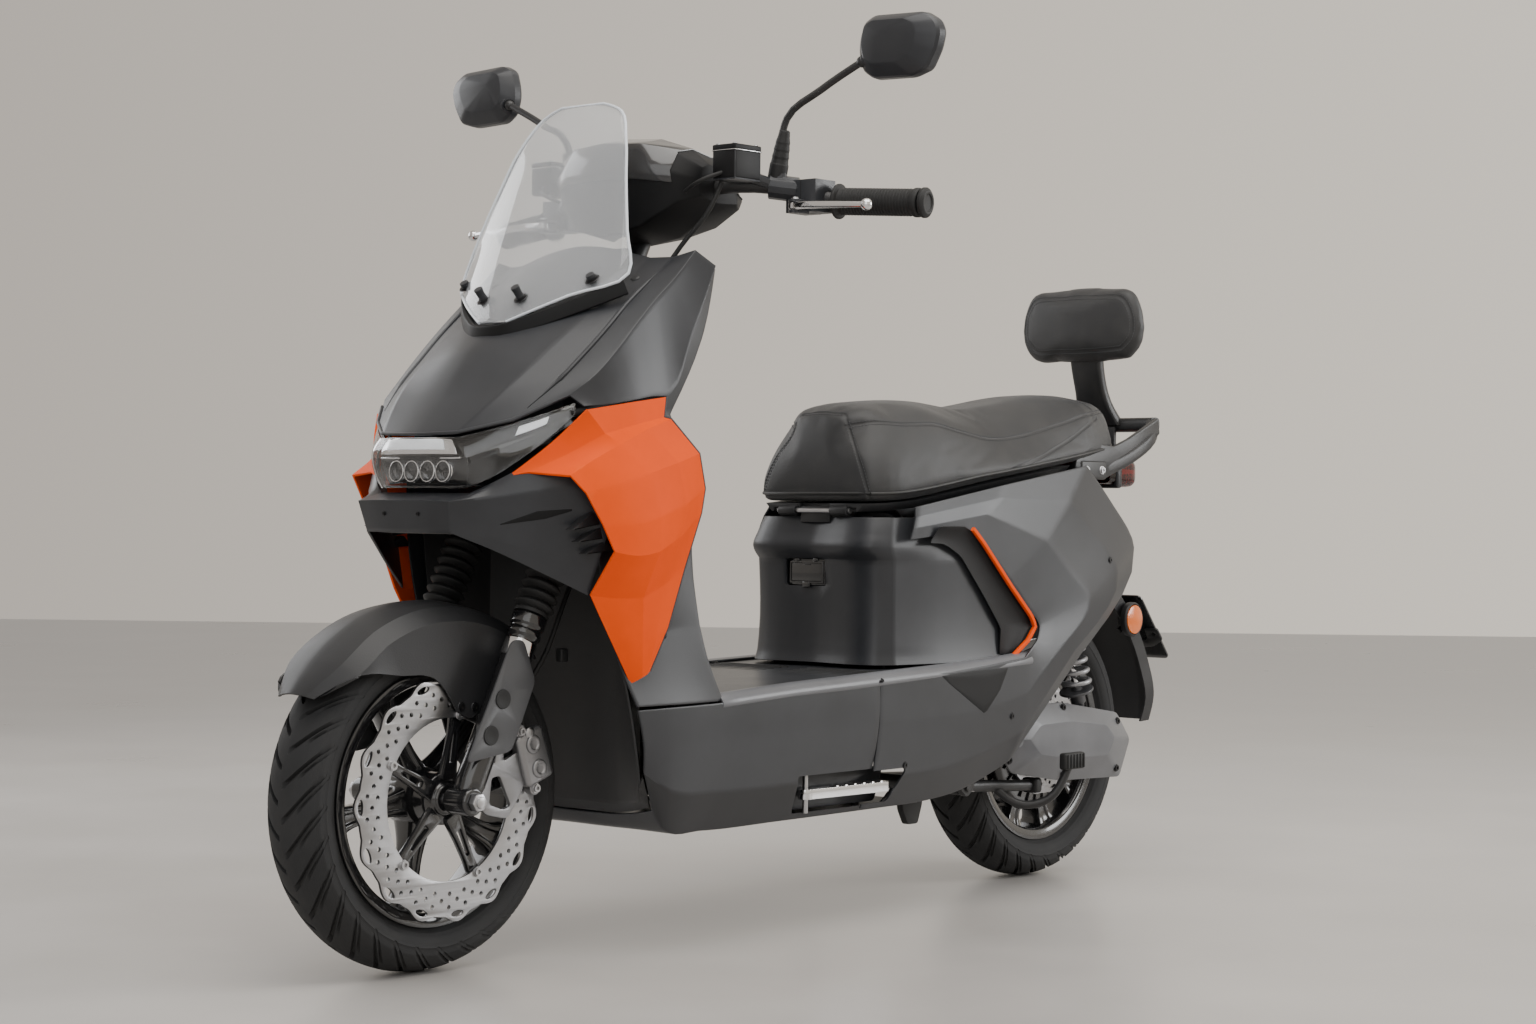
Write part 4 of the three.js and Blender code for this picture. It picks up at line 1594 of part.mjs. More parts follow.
const mirrorBaseShares = [19, 19.9, 106.4];
const mirrorStalkShares = [[19, 19.9, 106.4], [19, 20.1, 109], [19, 21.2, 112.6], [18.8, 27, 116], [18.4, 33.8, 119.2]];
const mirrorHeadShares = [18.2, 39.8, 120.9];
const mirrorBall = 8;
const mirrorOutline = [
  [-0.98, -0.2], [-0.86, -0.7], [-0.5, -0.98], [0.45, -1], [0.86, -0.72], [1, -0.1], [0.92, 0.62],
  [0.6, 0.98], [-0.5, 1], [-0.88, 0.66],
];

function mirrorStalk() {
  const points = mirrorStalkShares.map(onBar);
  const tip = points[points.length - 1];
  const base = points[0];
  const boot = rod(base, base.clone().setZ(base.z + above(2.6)), 9, 12, 6.5);
  const ball = new THREE.SphereGeometry(mirrorBall, 10, 6).translate(tip.x, tip.y, tip.z);
  return join(bentTube(points, mirrorStalkRadius, 6, 9), boot, ball);
}

function mirrorHead() {
  const middle = onBar(mirrorHeadShares);
  const ring = (shrink, x) => mirrorOutline.map(([u, v]) => new THREE.Vector3(
    middle.x + x, middle.y + u * shrink * mirrorWidth / 2, middle.z + v * shrink * mirrorHeight / 2));
  const half = mirrorDepth / 2;
  const shell = loft([
    ring(0.96, -half), ring(1, -half * 0.7), ring(0.97, 0), ring(0.8, half * 0.6), ring(0.45, half),
  ]);
  const glassBed = loft([ring(0.92, -half - cutOverrun), ring(0.92, -half + 2)]);
  const [root, tip] = mirrorStalkShares.slice(-2).map(onBar);
  const out = root.clone().sub(tip).normalize();
  const socket = new THREE.SphereGeometry(mirrorBall + 2 * gap, 10, 6).translate(tip.x, tip.y, tip.z);
  const throat = rod(tip, tip.clone().addScaledVector(out, 4 * mirrorBall), mirrorStalkRadius + 2, 12, mirrorBall * 2.4);
  return trim(cut(shell, glassBed), socket, throat);
}

const buttonShares = { horn: [14.6, 24.6, 100.6], signal: [14.6, 22.4, 102.8] };
const buttonRadius = 6;
const buttonTravel = 3;

function addControls() {
  const grip = gripSleeve();
  addPiece('left_grip', grip, palette.rubber);
  addPiece('throttle_grip', otherSide(grip), palette.rubber);
  const horn = onBar(buttonShares.horn);
  const signal = onBar(buttonShares.signal);
  const back = ahead(housingShares.x - housingShares.length / 2);
  const depth = buttonTravel + 3;
  const hornBody = rod(
    horn.clone().setX(back - buttonTravel), horn.clone().setX(back + depth - buttonTravel - gap), buttonRadius, 14);
  const hornWell = rod(
    horn.clone().setX(back - cutOverrun), horn.clone().setX(back + depth), buttonRadius + gap, 14);
  const signalBody = join(
    block(signal.clone().setX(back + 1), depth, 8, 5), block(signal.clone().setX(back - 3), 4, 5, 9));
  const signalSlot = block(
    signal.clone().setX(back + 1), depth + 2 * gap, 8 + 2 * buttonTravel + 2 * gap, 5 + 2 * gap);
  const mouth = block(
    signal.clone().setX(back - cutOverrun), 2 * cutOverrun, 8 + 2 * buttonTravel + 2 * gap, 5 + 2 * gap);
  addPiece('left_switch_housing', cut(housingOf(true), hornWell, signalSlot, mouth), palette.mattDark);
  addPiece('right_switch_housing', otherSide(housingOf(false)), palette.mattDark);
  addPiece('horn_button', hornBody, palette.orange);
  addPiece('signal_switch', signalBody, palette.castGrey);
  const lever = leverOf();
  addPiece('brake_lever_left', lever, palette.polished);
  addPiece('brake_lever_right', otherSide(lever), palette.polished);
  const stalk = mirrorStalk();
  addPiece('mirror_stalk_left', stalk, palette.mattDark);
  addPiece('mirror_stalk_right', otherSide(stalk), palette.mattDark);
  const head = mirrorHead();
  addPiece('mirror_head_left', head, palette.mattDark);
  addPiece('mirror_head_right', otherSide(head), palette.mattDark);
}

// The brake hose runs from the reservoir through the steering opening and behind the left leg.
const hoseShares = [
  [26.6, 16.2, 103.62], [27.6, 15, 100], [29.4, 11.4, 95], [32.6, 8.4, 88], [37.2, 7, 78], [40.8, 7, 66],
  [41.6, 7.2, 60], [43.6, 7.6, 54], [47.2, 8, 48], [50.6, 8, 41],
];
const hoseRadius = 3.5;

function addBrakeHose() {
  const ends = [6 * hoseRadius, 0].map((lift) => {
    const place = new THREE.Vector3(
      frontDiscRadius + 9 - caliperReach / 2, 0, -caliperLength / 2 - 2 * gap - lift);
    place.applyAxisAngle(new THREE.Vector3(0, 1, 0), -caliperAngle).add(frontHub);
    return place.setY(discPlane + discThickness / 2 + 1 + caliperHalfWidth / 2);
  });
  const path = [...hoseShares.map(onBar), ...ends];
  addPiece('brake_hose', bentTube(path, hoseRadius, 6, 28), palette.rubber);
}

addTyres();
addFrontRim();
addFrontDisc();
addHubMotor();
addRearDisc();
addForkLowers();
addSteeringStem();
addGaiters();
addFrontCaliper();
addFrontFender();
addNoseCowl();
addLowerCowl();
addSideFairings();
addLegShield();
addUnderbody();
addFloor();
addSeatBox();
addTail();
addSeat();
addMainFrame();
addElectrics();
addGrabRail();
addBackrest();
addTailLight();
addRearFender();
addSwingarm();
addMotorCover();
addShock();
addShockSpring();
addCentreStand();
addFootpegs();
addHandlebar();
addHandlebarCover();
addControls();
addBrakeHose();

// The scooter's box is centred over the origin, front to back.
scooter.updateMatrixWorld(true);
const extent = new THREE.Box3().setFromObject(scooter);
scooter.position.x = -(extent.min.x + extent.max.x) / 2;

export default scooter;
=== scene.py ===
"""Seated electric scooter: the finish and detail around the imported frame.

Metres, +X forward, +Y to the rider's left, +Z up, on the ground at z = 0.
Places on the body are given in centimetres from the ground under the middle of the wheelbase.
"""

import math

import bmesh
import bpy
from mathutils import Matrix, Vector
from mathutils.bvhtree import BVHTree
from mathutils.kdtree import KDTree


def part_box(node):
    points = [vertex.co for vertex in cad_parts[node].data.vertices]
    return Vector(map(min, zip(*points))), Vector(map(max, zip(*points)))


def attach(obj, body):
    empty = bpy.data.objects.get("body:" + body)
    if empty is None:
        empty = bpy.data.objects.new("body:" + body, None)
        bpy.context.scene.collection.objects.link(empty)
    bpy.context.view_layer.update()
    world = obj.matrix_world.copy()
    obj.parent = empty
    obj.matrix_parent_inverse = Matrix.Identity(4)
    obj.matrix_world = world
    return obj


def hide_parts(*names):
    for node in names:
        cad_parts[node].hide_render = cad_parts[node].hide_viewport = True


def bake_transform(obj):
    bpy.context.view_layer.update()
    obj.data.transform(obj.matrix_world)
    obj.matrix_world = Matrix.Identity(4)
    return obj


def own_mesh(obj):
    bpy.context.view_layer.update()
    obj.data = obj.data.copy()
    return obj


bl_info = {
    "name": "Seated electric scooter",
    "version": (1, 0, 0),
    "blender": (4, 5, 0),
    "location": "3D View > Sidebar > Scooter",
    "description": "Builds the looks of a seated electric scooter around its packed frame",
    "category": "Object",
}

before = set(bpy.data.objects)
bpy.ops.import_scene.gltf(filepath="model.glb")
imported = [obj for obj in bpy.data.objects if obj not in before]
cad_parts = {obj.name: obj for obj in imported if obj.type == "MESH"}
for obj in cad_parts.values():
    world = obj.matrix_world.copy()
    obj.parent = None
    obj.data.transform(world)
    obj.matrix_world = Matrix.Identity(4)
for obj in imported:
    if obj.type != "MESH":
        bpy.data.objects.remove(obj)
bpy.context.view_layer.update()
MM = 0.001
CM = 0.01
UP = Vector((0, 0, 1))
LEFT = Vector((0, 1, 0))
BOTH_SIDES = (1, -1)
NAMED_SIDES = ((1, "left"), (-1, "right"))


def middle_of(node):
    """The middle of a CAD node's box at rest."""
    low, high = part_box(node)
    return (low + high) / 2


# Driving places, taken from the frame
FRONT_AXLE = middle_of("front_tyre")
REAR_AXLE = middle_of("rear_tyre")
MIDDLE_X = (FRONT_AXLE.x + REAR_AXLE.x) / 2
RAKE = math.radians(26.5)
FORK = Matrix.Translation(FRONT_AXLE) @ Matrix.Rotation(-RAKE, 4, "Y")
SEAM = 0.8 * MM
WALL = 3 * MM

# The camera that took the picture: place, turn and focal length in its own pixels
VIEW_PLACE = Vector((MIDDLE_X + 3.079, 2.695, 0.606))
VIEW_YAW = math.radians(220.99)
VIEW_PITCH = math.radians(-0.22)
VIEW_ROLL = math.radians(0.53)
VIEW_FOCUS = 2802.0
PICTURE = (1536, 1024)
SENSOR = 36.0


def spot(x, y, z):
    """A place on the body, given in centimetres."""
    return Vector((MIDDLE_X + x * CM, y * CM, z * CM))


def view_axes():
    """Right, up and ahead of the camera."""
    ahead = Vector((
        math.cos(VIEW_YAW) * math.cos(VIEW_PITCH),
        math.sin(VIEW_YAW) * math.cos(VIEW_PITCH), math.sin(VIEW_PITCH)))
    right = ahead.cross(UP).normalized()
    above = right.cross(ahead)
    turn_cos, turn_sin = math.cos(VIEW_ROLL), math.sin(VIEW_ROLL)
    return right * turn_cos + above * turn_sin, above * turn_cos - right * turn_sin, ahead


def sight(u, v):
    """The direction from the camera through a pixel of the picture."""
    right, above, ahead = view_axes()
    across = (u - PICTURE[0] / 2) / VIEW_FOCUS
    rise = (PICTURE[1] / 2 - v) / VIEW_FOCUS
    return (ahead + right * across + above * rise).normalized()


def at_side(u, v, y):
    """The place seen at a pixel on the upright plane at that y."""
    way = sight(u, v)
    return VIEW_PLACE + way * ((y - VIEW_PLACE.y) / way.y)


# Mesh building

# The turn in degrees over which an edge looks sharp: mostly, on castings, facets and round pieces
SHARP_TURN = 35.0
CAST_TURN = 32.0
FACET_TURN = 14.0
ROUND_TURN = 40.0


def bare_object(name, mesh):
    piece = bpy.data.objects.new(name, mesh)
    bpy.context.scene.collection.objects.link(piece)
    return piece


def mesh_piece(name, points, faces, angle=SHARP_TURN, outward=False):
    """A mesh object with smooth faces, sharp where the turn is over the angle."""
    mesh = bpy.data.meshes.new(name)
    mesh.from_pydata([tuple(p) for p in points], [], faces)
    if outward:
        shape = bmesh.new()
        shape.from_mesh(mesh)
        bmesh.ops.remove_doubles(shape, verts=shape.verts, dist=1e-6)
        bmesh.ops.recalc_face_normals(shape, faces=shape.faces)
        shape.to_mesh(mesh)
        shape.free()
    mesh.update()
    piece = bare_object(name, mesh)
    soften(piece, angle)
    return piece


def soften(piece, angle=SHARP_TURN):
    piece.data.shade_smooth()
    piece.data.set_sharp_from_angle(angle=math.radians(angle))
    return piece


def applied(piece, angle=SHARP_TURN):
    """Turns the piece and its modifiers into one plain mesh."""
    graph = bpy.context.evaluated_depsgraph_get()
    mesh = bpy.data.meshes.new_from_object(piece.evaluated_get(graph), depsgraph=graph)
    piece.modifiers.clear()
    old = piece.data
    if piece.type == "MESH":
        piece.data = mesh
        if old.users == 0:
            bpy.data.meshes.remove(old)
        return soften(piece, angle)
    fresh = bare_object(piece.name + "_made", mesh)
    name = piece.name
    bpy.data.objects.remove(piece)
    fresh.name = name
    return soften(fresh, angle)


def settled(piece, matrix):
    """Moves the mesh itself, so that the object stays at the origin."""
    piece.data.transform(matrix)
    if matrix.determinant() < 0:
        piece.data.flip_normals()
    piece.data.update()
    return piece


def mirrored(piece, name):
    """A copy for the other side."""
    twin = bare_object(name, piece.data.copy())
    for key in piece.keys():
        twin[key] = piece[key]
    return settled(twin, Matrix.Scale(-1, 4, LEFT))


def bevelled(piece, width, segments=2, angle=30.0):
    modifier = piece.modifiers.new("Edges", "BEVEL")
    modifier.width = width
    modifier.segments = segments
    modifier.limit_method = "ANGLE"
    modifier.angle_limit = math.radians(angle)
    modifier.harden_normals = False
    return applied(piece, angle=40.0)


def divided(piece, levels=2, angle=40.0):
    modifier = piece.modifiers.new("Round", "SUBSURF")
    modifier.levels = levels
    modifier.render_levels = levels
    return applied(piece, angle)


def carved(piece, *tools, angle=SHARP_TURN):
    """Cuts the tools out of the piece and removes them."""
    for tool in tools:
        modifier = piece.modifiers.new("Opening", "BOOLEAN")
        modifier.operation = "DIFFERENCE"
        modifier.solver = "EXACT"
        modifier.object = tool
    piece = applied(piece, angle)
    for tool in tools:
        bpy.data.objects.remove(tool)
    return piece


def merged(name, *pieces):
    """Puts several meshes into one object, with their materials kept."""
    whole = bmesh.new()
    materials = []
    for piece in pieces:
        part = bmesh.new()
        part.from_mesh(piece.data)
        slots = []
        for material in piece.data.materials:
            if material not in materials:
                materials.append(material)
            slots.append(materials.index(material))
        for face in part.faces:
            face.material_index = slots[face.material_index] if slots else 0
        copy = bpy.data.meshes.new("part")
        part.to_mesh(copy)
        part.free()
        whole.from_mesh(copy)
        bpy.data.meshes.remove(copy)
        bpy.data.objects.remove(piece)
    mesh = bpy.data.meshes.new(name)
    whole.to_mesh(mesh)
    whole.free()
    for material in materials:
        mesh.materials.append(material)
    return bare_object(name, mesh)


def spline(points, steps, sharp=()):
    """A smooth line through the points, broken at the sharp ones; steps are shares of a span."""
    last = len(points) - 1
    spans = [max((points[i + 1] - points[i]).length, 1e-6) for i in range(last)]
    chords = [(points[i + 1] - points[i]) / spans[i] for i in range(last)]

    def inner(i):
        before, after = spans[i - 1], spans[i]
        return (chords[i - 1] * after + chords[i] * before) / (before + after)

    def slope(i, leaving):
        if 0 < i < last and i not in sharp:
            return inner(i)
        chord = chords[i] if leaving else chords[i - 1]
        other = i + 1 if leaving else i - 1
        if 0 < other < last and other not in sharp:
            return (chord * 3 - inner(other)) / 2
        return chord

    line = []
    for i in range(last):
        start, end = slope(i, True) * spans[i], slope(i + 1, False) * spans[i]
        for t in steps:
            line.append(
                points[i] * (1 + t * t * (2 * t - 3)) + start * (t * (1 - t) ** 2)
                + points[i + 1] * (t * t * (3 - 2 * t)) + end * (t * t * (t - 1)))
    line.append(points[last].copy())
    return line


EVEN_STEPS = (0, 0.25, 0.5, 0.75)
CREASE_STEPS = (0, 0.07, 0.3, 0.5, 0.7, 0.93)


def refined(rows, steps=CREASE_STEPS, sharp_rows=(), sharp_columns=()):
    """A grid of places with smooth cells and creases along chosen rows and columns."""
    wide = [spline(row, steps, sharp_columns) for row in rows]
    columns = [spline([row[c] for row in wide], steps, sharp_rows) for c in range(len(wide[0]))]
    return [[column[r] for column in columns] for r in range(len(columns[0]))]


def both_halves(half_rows):
    """Rows of centimetre places for the left half are carried on to the right half."""
    rows = []
    for half in half_rows:
        left = [spot(*place) for place in half]
        right = [Vector((p.x, -p.y, p.z)) for p in reversed(left[:-1])]
        rows.append(left + right)
    return rows


def grid_faces(rows, columns, first=0, closed=False):
    faces = []
    for r in range(rows - 1):
        for c in range(columns if closed else columns - 1):
            after = (c + 1) % columns
            corner = first + r * columns
            faces.append((corner + c, corner + after, corner + columns + after,
                          corner + columns + c))
    return faces


def skin(name, grid, inside, wall=WALL, seam=SEAM, rim=0.9 * MM):
    """A panel with a wall, drawn back by half a seam at its edges, which are rounded."""
    rows, columns = len(grid), len(grid[0])
    place = [[p.copy() for p in row] for row in grid]

    def drawn(point, neighbour):
        way = neighbour - point
        return point + way.normalized() * seam / 2 if way.length > seam else point

    for r in range(rows):
        place[r][0] = drawn(grid[r][0], grid[r][1])
        place[r][-1] = drawn(grid[r][-1], grid[r][-2])
    for c in range(columns):
        top, foot = place[0][c], place[-1][c]
        place[0][c] = drawn(top, place[1][c])
        place[-1][c] = drawn(foot, place[-2][c])
    flat = [p for row in place for p in row]
    faces = grid_faces(rows, columns)
    normals = [Vector() for _ in flat]
    facing = 0.0
    for face in faces:
        a, b, c, d = (flat[i] for i in face)
        normal = (c - a).cross(d - b)
        facing += normal.dot((a + b + c + d) / 4 - inside)
        for i in face:
            normals[i] += normal
    way = 1.0 if facing > 0 else -1.0
    if way < 0:
        faces = [face[::-1] for face in faces]
    count = len(flat)
    inner = [p - normals[i].normalized() * wall * way for i, p in enumerate(flat)]
    walls = faces + [tuple(count + i for i in reversed(face)) for face in faces]
    edge = [(r * columns, (r + 1) * columns) for r in range(rows - 1)]
    edge += [((rows - 1) * columns + c, (rows - 1) * columns + c + 1) for c in range(columns - 1)]
    edge += [((r + 2) * columns - 1, (r + 1) * columns - 1) for r in reversed(range(rows - 1))]
    edge += [(c + 1, c) for c in reversed(range(columns - 1))]
    for i, j in edge:
        walls.append((i, count + i, count + j, j) if way > 0 else (j, count + j, count + i, i))
    piece = mesh_piece(name, flat + inner, walls, outward=True)
    return bevelled(piece, rim, 2, 50.0) if rim else piece


def lofted(name, sections, levels=0, capped=True, angle=40.0):
    """A closed body through rings of points."""
    count = len(sections[0])
    faces = grid_faces(len(sections), count, closed=True)
    if capped:
        faces.append(tuple(reversed(range(count))))
        first = (len(sections) - 1) * count
        faces.append(tuple(range(first, first + count)))
    piece = mesh_piece(name, [p for ring in sections for p in ring], faces, angle, outward=True)
    return divided(piece, levels, angle) if levels else piece


def filleted(profile, radius, steps=3, closed=False):
    """Rounds the corners of a flat outline of (a, b) pairs."""
    count = len(profile)
    line = []
    for i, corner in enumerate(profile):
        if not closed and i in (0, count - 1):
            line.append(tuple(corner))
            continue
        here = Vector(corner)
        before = Vector(profile[i - 1]) - here
        after = Vector(profile[(i + 1) % count]) - here
        reach = min(radius, before.length * 0.45, after.length * 0.45)
        start = here + before.normalized() * reach
        end = here + after.normalized() * reach
        for step in range(steps + 1):
            t = step / steps
            line.append(tuple(start * (1 - t) ** 2 + here * (2 * t * (1 - t)) + end * t * t))
    return line


def lathed(name, profile, place, segments=72, closed=True, angle=32.0):
    """A body turned about the y axis through a place, from (radius, y) pairs in metres."""
    rings = []
    for step in range(segments):
        turn = 2 * math.pi * step / segments
        rings.append([place + Vector((r * math.cos(turn), y, r * math.sin(turn)))
                      for r, y in profile])
    count = len(profile)
    faces = []
    for step in range(segments):
        one, two = step * count, ((step + 1) % segments) * count
        for i in range(count if closed else count - 1):
            after = (i + 1) % count
            faces.append((one + i, one + after, two + after, two + i))
    points = [p for ring in rings for p in ring]
    return mesh_piece(name, points, faces, angle, outward=True)


def upright(profile, name, matrix, segments=48, closed=True, angle=32.0):
    """A body turned about the z axis of a matrix, from (radius, height) pairs in metres."""
    piece = lathed(name, profile, Vector(), segments, closed, angle)
    return settled(piece, matrix @ Matrix.Rotation(math.pi / 2, 4, "X"))


def along(start, end, roll=0.0):
    """A matrix whose origin is start and whose z axis points to end."""
    turn = (end - start).to_track_quat("Z", "Y").to_matrix().to_4x4()
    return Matrix.Translation(start) @ turn @ Matrix.Rotation(roll, 4, "Z")


def tube(name, points, radius, sides=16, steps=EVEN_STEPS, smooth=True, taper=None):
    """A round tube along a path, closed at both ends; taper scales its radius along the way."""
    path = spline(points, steps) if smooth else points
    count = len(path)
    ahead = [(path[min(i + 1, count - 1)] - path[max(i - 1, 0)]).normalized() for i in range(count)]
    side = ahead[0].orthogonal().normalized()
    rings = []
    for i, point in enumerate(path):
        side = (side - ahead[i] * side.dot(ahead[i])).normalized()
        other = ahead[i].cross(side)
        reach = radius * (taper(i / (count - 1)) if taper else 1.0)
        rings.append([
            point + (side * math.cos(2 * math.pi * k / sides)
                     + other * math.sin(2 * math.pi * k / sides)) * reach
            for k in range(sides)])
    return lofted(name, rings, angle=50.0)


def rounded_box(name, middle, size, edge=2 * MM, segments=3, matrix=None):
    """A block with rounded edges."""
    half = Vector(size) / 2
    corners = [Vector((x * half.x, y * half.y, z * half.z)) for x in (-1, 1) for y in (-1, 1)
               for z in (-1, 1)]
    faces = [(0, 1, 3, 2), (4, 6, 7, 5), (0, 4, 5, 1), (2, 3, 7, 6), (0, 2, 6, 4), (1, 5, 7, 3)]
    piece = mesh_piece(name, corners, faces, outward=True)
    piece = bevelled(piece, min(edge, min(size) * 0.48), segments)
    return settled(piece, Matrix.Translation(middle) @ (matrix or Matrix.Identity(4)))


def box_outline(half_width, half_height, radius, steps):
    """A flat rectangle round the middle, with round corners."""
    corners = [(-half_width, -half_height), (half_width, -half_height), (half_width, half_height),
               (-half_width, half_height)]
    return filleted(corners, radius, steps, closed=True)


def flat_plate(name, outlines, thickness, matrix, edge=0.4 * MM):
    """A plate drawn flat in x and y, the first outline outside and the rest holes, then placed."""
    curve = bpy.data.curves.new(name, "CURVE")
    curve.dimensions = "2D"
    curve.fill_mode = "BOTH"
    curve.extrude = thickness / 2 - edge
    curve.bevel_depth = edge
    curve.bevel_resolution = 1
    curve.offset = -edge
    for outline in outlines:
        line = curve.splines.new("POLY")
        line.points.add(len(outline) - 1)
        for point, (x, y) in zip(line.points, outline):
            point.co = (x, y, 0, 1)
        line.use_cyclic_u = True
    piece = bpy.data.objects.new(name, curve)
    bpy.context.scene.collection.objects.link(piece)
    piece = applied(piece, angle=30.0)
    shape = bmesh.new()
    shape.from_mesh(piece.data)
    bmesh.ops.remove_doubles(shape, verts=shape.verts, dist=1e-6)
    bmesh.ops.recalc_face_normals(shape, faces=shape.faces)
    shape.to_mesh(piece.data)
    shape.free()
    return soften(settled(piece, matrix), 30.0)


def circle(radius, sides=24, centre=(0, 0), start=0.0):
    return [
        (centre[0] + radius * math.cos(start + 2 * math.pi * i / sides),
         centre[1] + radius * math.sin(start + 2 * math.pi * i / sides)) for i in range(sides)]


SIDE_PLANE = Matrix(((1, 0, 0, 0), (0, 0, -1, 0), (0, 1, 0, 0), (0, 0, 0, 1)))


def beside(place, turn=Matrix.Identity(4)):
    """A matrix that stands a flat drawing up, facing the side, with x forward and y up."""
    return Matrix.Translation(place) @ turn @ SIDE_PLANE


def surface_of(*pieces):
    """What a ray can hit: the faces of one or more finished meshes."""
    points, faces = [], []
    for piece in pieces:
        first = len(points)
        points += [v.co.copy() for v in piece.data.vertices]
        faces += [tuple(first + i for i in face.vertices) for face in piece.data.polygons]
    return BVHTree.FromPolygons(points, faces)


def seen(surface, u, v):
    """Where the line of sight through a pixel meets the surface, with its normal."""
    way = sight(u, v)
    place, normal, _, _ = surface.ray_cast(VIEW_PLACE, way)
    if place is None:
        place, normal, _, _ = surface.find_nearest(VIEW_PLACE + way * 3.9)
    return place, (-normal if normal.dot(way) > 0 else normal)


def resampled(line, count):
    """Evenly spaced places along a line of pixel pairs."""
    places = [Vector(p) for p in line]
    lengths = [0.0]
    for a, b in zip(places, places[1:]):
        lengths.append(lengths[-1] + (b - a).length)
    result = []
    for i in range(count):
        target = lengths[-1] * i / (count - 1)
        k = max(j for j in range(len(lengths) - 1) if lengths[j] <= target + 1e-9)
        share = (target - lengths[k]) / max(lengths[k + 1] - lengths[k], 1e-9)
        result.append(places[k].lerp(places[k + 1], min(share, 1.0)))
    return result


def inlay(name, upper, lower, surface, lift=0.6 * MM, depth=1.6 * MM, columns=24, rows=6,
          rim=0.4 * MM):
    """A thin piece laid on a surface between two lines drawn in the picture's pixels."""
    top, foot = resampled(upper, columns), resampled(lower, columns)
    grid = []
    for r in range(rows):
        row = []
        for a, b in zip(top, foot):
            place, normal = seen(surface, *a.lerp(b, r / (rows - 1)))
            row.append(place + normal * lift)
        grid.append(row)
    middle = grid[rows // 2][columns // 2]
    inside = middle + sight(PICTURE[0] / 2, PICTURE[1] / 2) * 0.3
    return skin(name, grid, inside, wall=depth + lift, seam=0, rim=rim)


def bead(name, pixels, surface, radius, lift=0.0, sides=8):
    """A fine round moulding that follows a line drawn in the picture's pixels."""
    places = []
    for a in resampled(pixels, max(6, len(pixels) * 6)):
        place, normal = seen(surface, *a)
        places.append(place + normal * lift)
    return tube(name, places, radius, sides, smooth=False)


def finished(piece, body, material, replaces=()):
    """Gives a piece its material if it has none, its body and the CAD nodes it stands for."""
    if not piece.data.materials:
        piece.data.materials.append(material)
    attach(piece, body)
    if replaces:
        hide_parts(*replaces)
    return piece


def finished_pair(piece, twin_name, body, material):
    """Finishes the mirror image of a left piece, then the piece."""
    finished(mirrored(piece, twin_name), body, material)
    return finished(piece, body, material)


def coloured(piece, material):
    piece.data.materials.clear()
    piece.data.materials.append(material)
    return piece


def cad_copy(node, name, angle=30.0):
    """A merged copy of a CAD node's mesh, with its flat faces joined up."""
    piece = bare_object(name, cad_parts[node].data.copy())
    piece.data.materials.clear()
    shape = bmesh.new()
    shape.from_mesh(piece.data)
    bmesh.ops.remove_doubles(shape, verts=shape.verts, dist=1e-5)
    bmesh.ops.dissolve_limit(
        shape, angle_limit=math.radians(1.0), verts=shape.verts, edges=shape.edges,
        delimit={"NORMAL"})
    shape.to_mesh(piece.data)
    shape.free()
    return soften(piece, angle)


# Materials


class Graph:
    """A node tree that is built by names: nodes, values on their sockets, and links."""

    def __init__(self, tree):
        self.tree = tree

    def node(self, kind, values=None, **settings):
        made = self.tree.nodes.new(kind)
        for key, value in settings.items():
            setattr(made, key, value)
        for key, value in (values or {}).items():
            self.put(made, key, value)
        return made

    def put(self, node, key, value):
        socket = node.inputs[key]
        if isinstance(value, bpy.types.NodeSocket):
            self.tree.links.new(value, socket)
        else:
            socket.default_value = value

    def maths(self, operation, *values):
        made = self.node("ShaderNodeMath", operation=operation)
        for i, value in enumerate(values):
            self.put(made, i, value)
        return made.outputs[0]

    def ramp(self, value, *stops):
        made = self.node("ShaderNodeValToRGB", {"Fac": value})
        elements = made.color_ramp.elements
        while len(elements) < len(stops):
            elements.new(0.5)
        for element, (place, shade) in zip(elements, stops):
            element.position = place
            element.color = (shade, shade, shade, 1) if isinstance(shade, float) else shade
        return made.outputs["Color"]


def new_group(name, inputs, outputs):
    """A shader node group with named inputs (name, kind, default) and outputs (name, kind)."""
    tree = bpy.data.node_groups.new(name, "ShaderNodeTree")
    for label, kind, default in inputs:
        socket = tree.interface.new_socket(label, in_out="INPUT", socket_type=kind)
        if default is not None:
            socket.default_value = default
    for label, kind in outputs:
        tree.interface.new_socket(label, in_out="OUTPUT", socket_type=kind)
    graph = Graph(tree)
    return graph, graph.node("NodeGroupInput").outputs, graph.node("NodeGroupOutput")


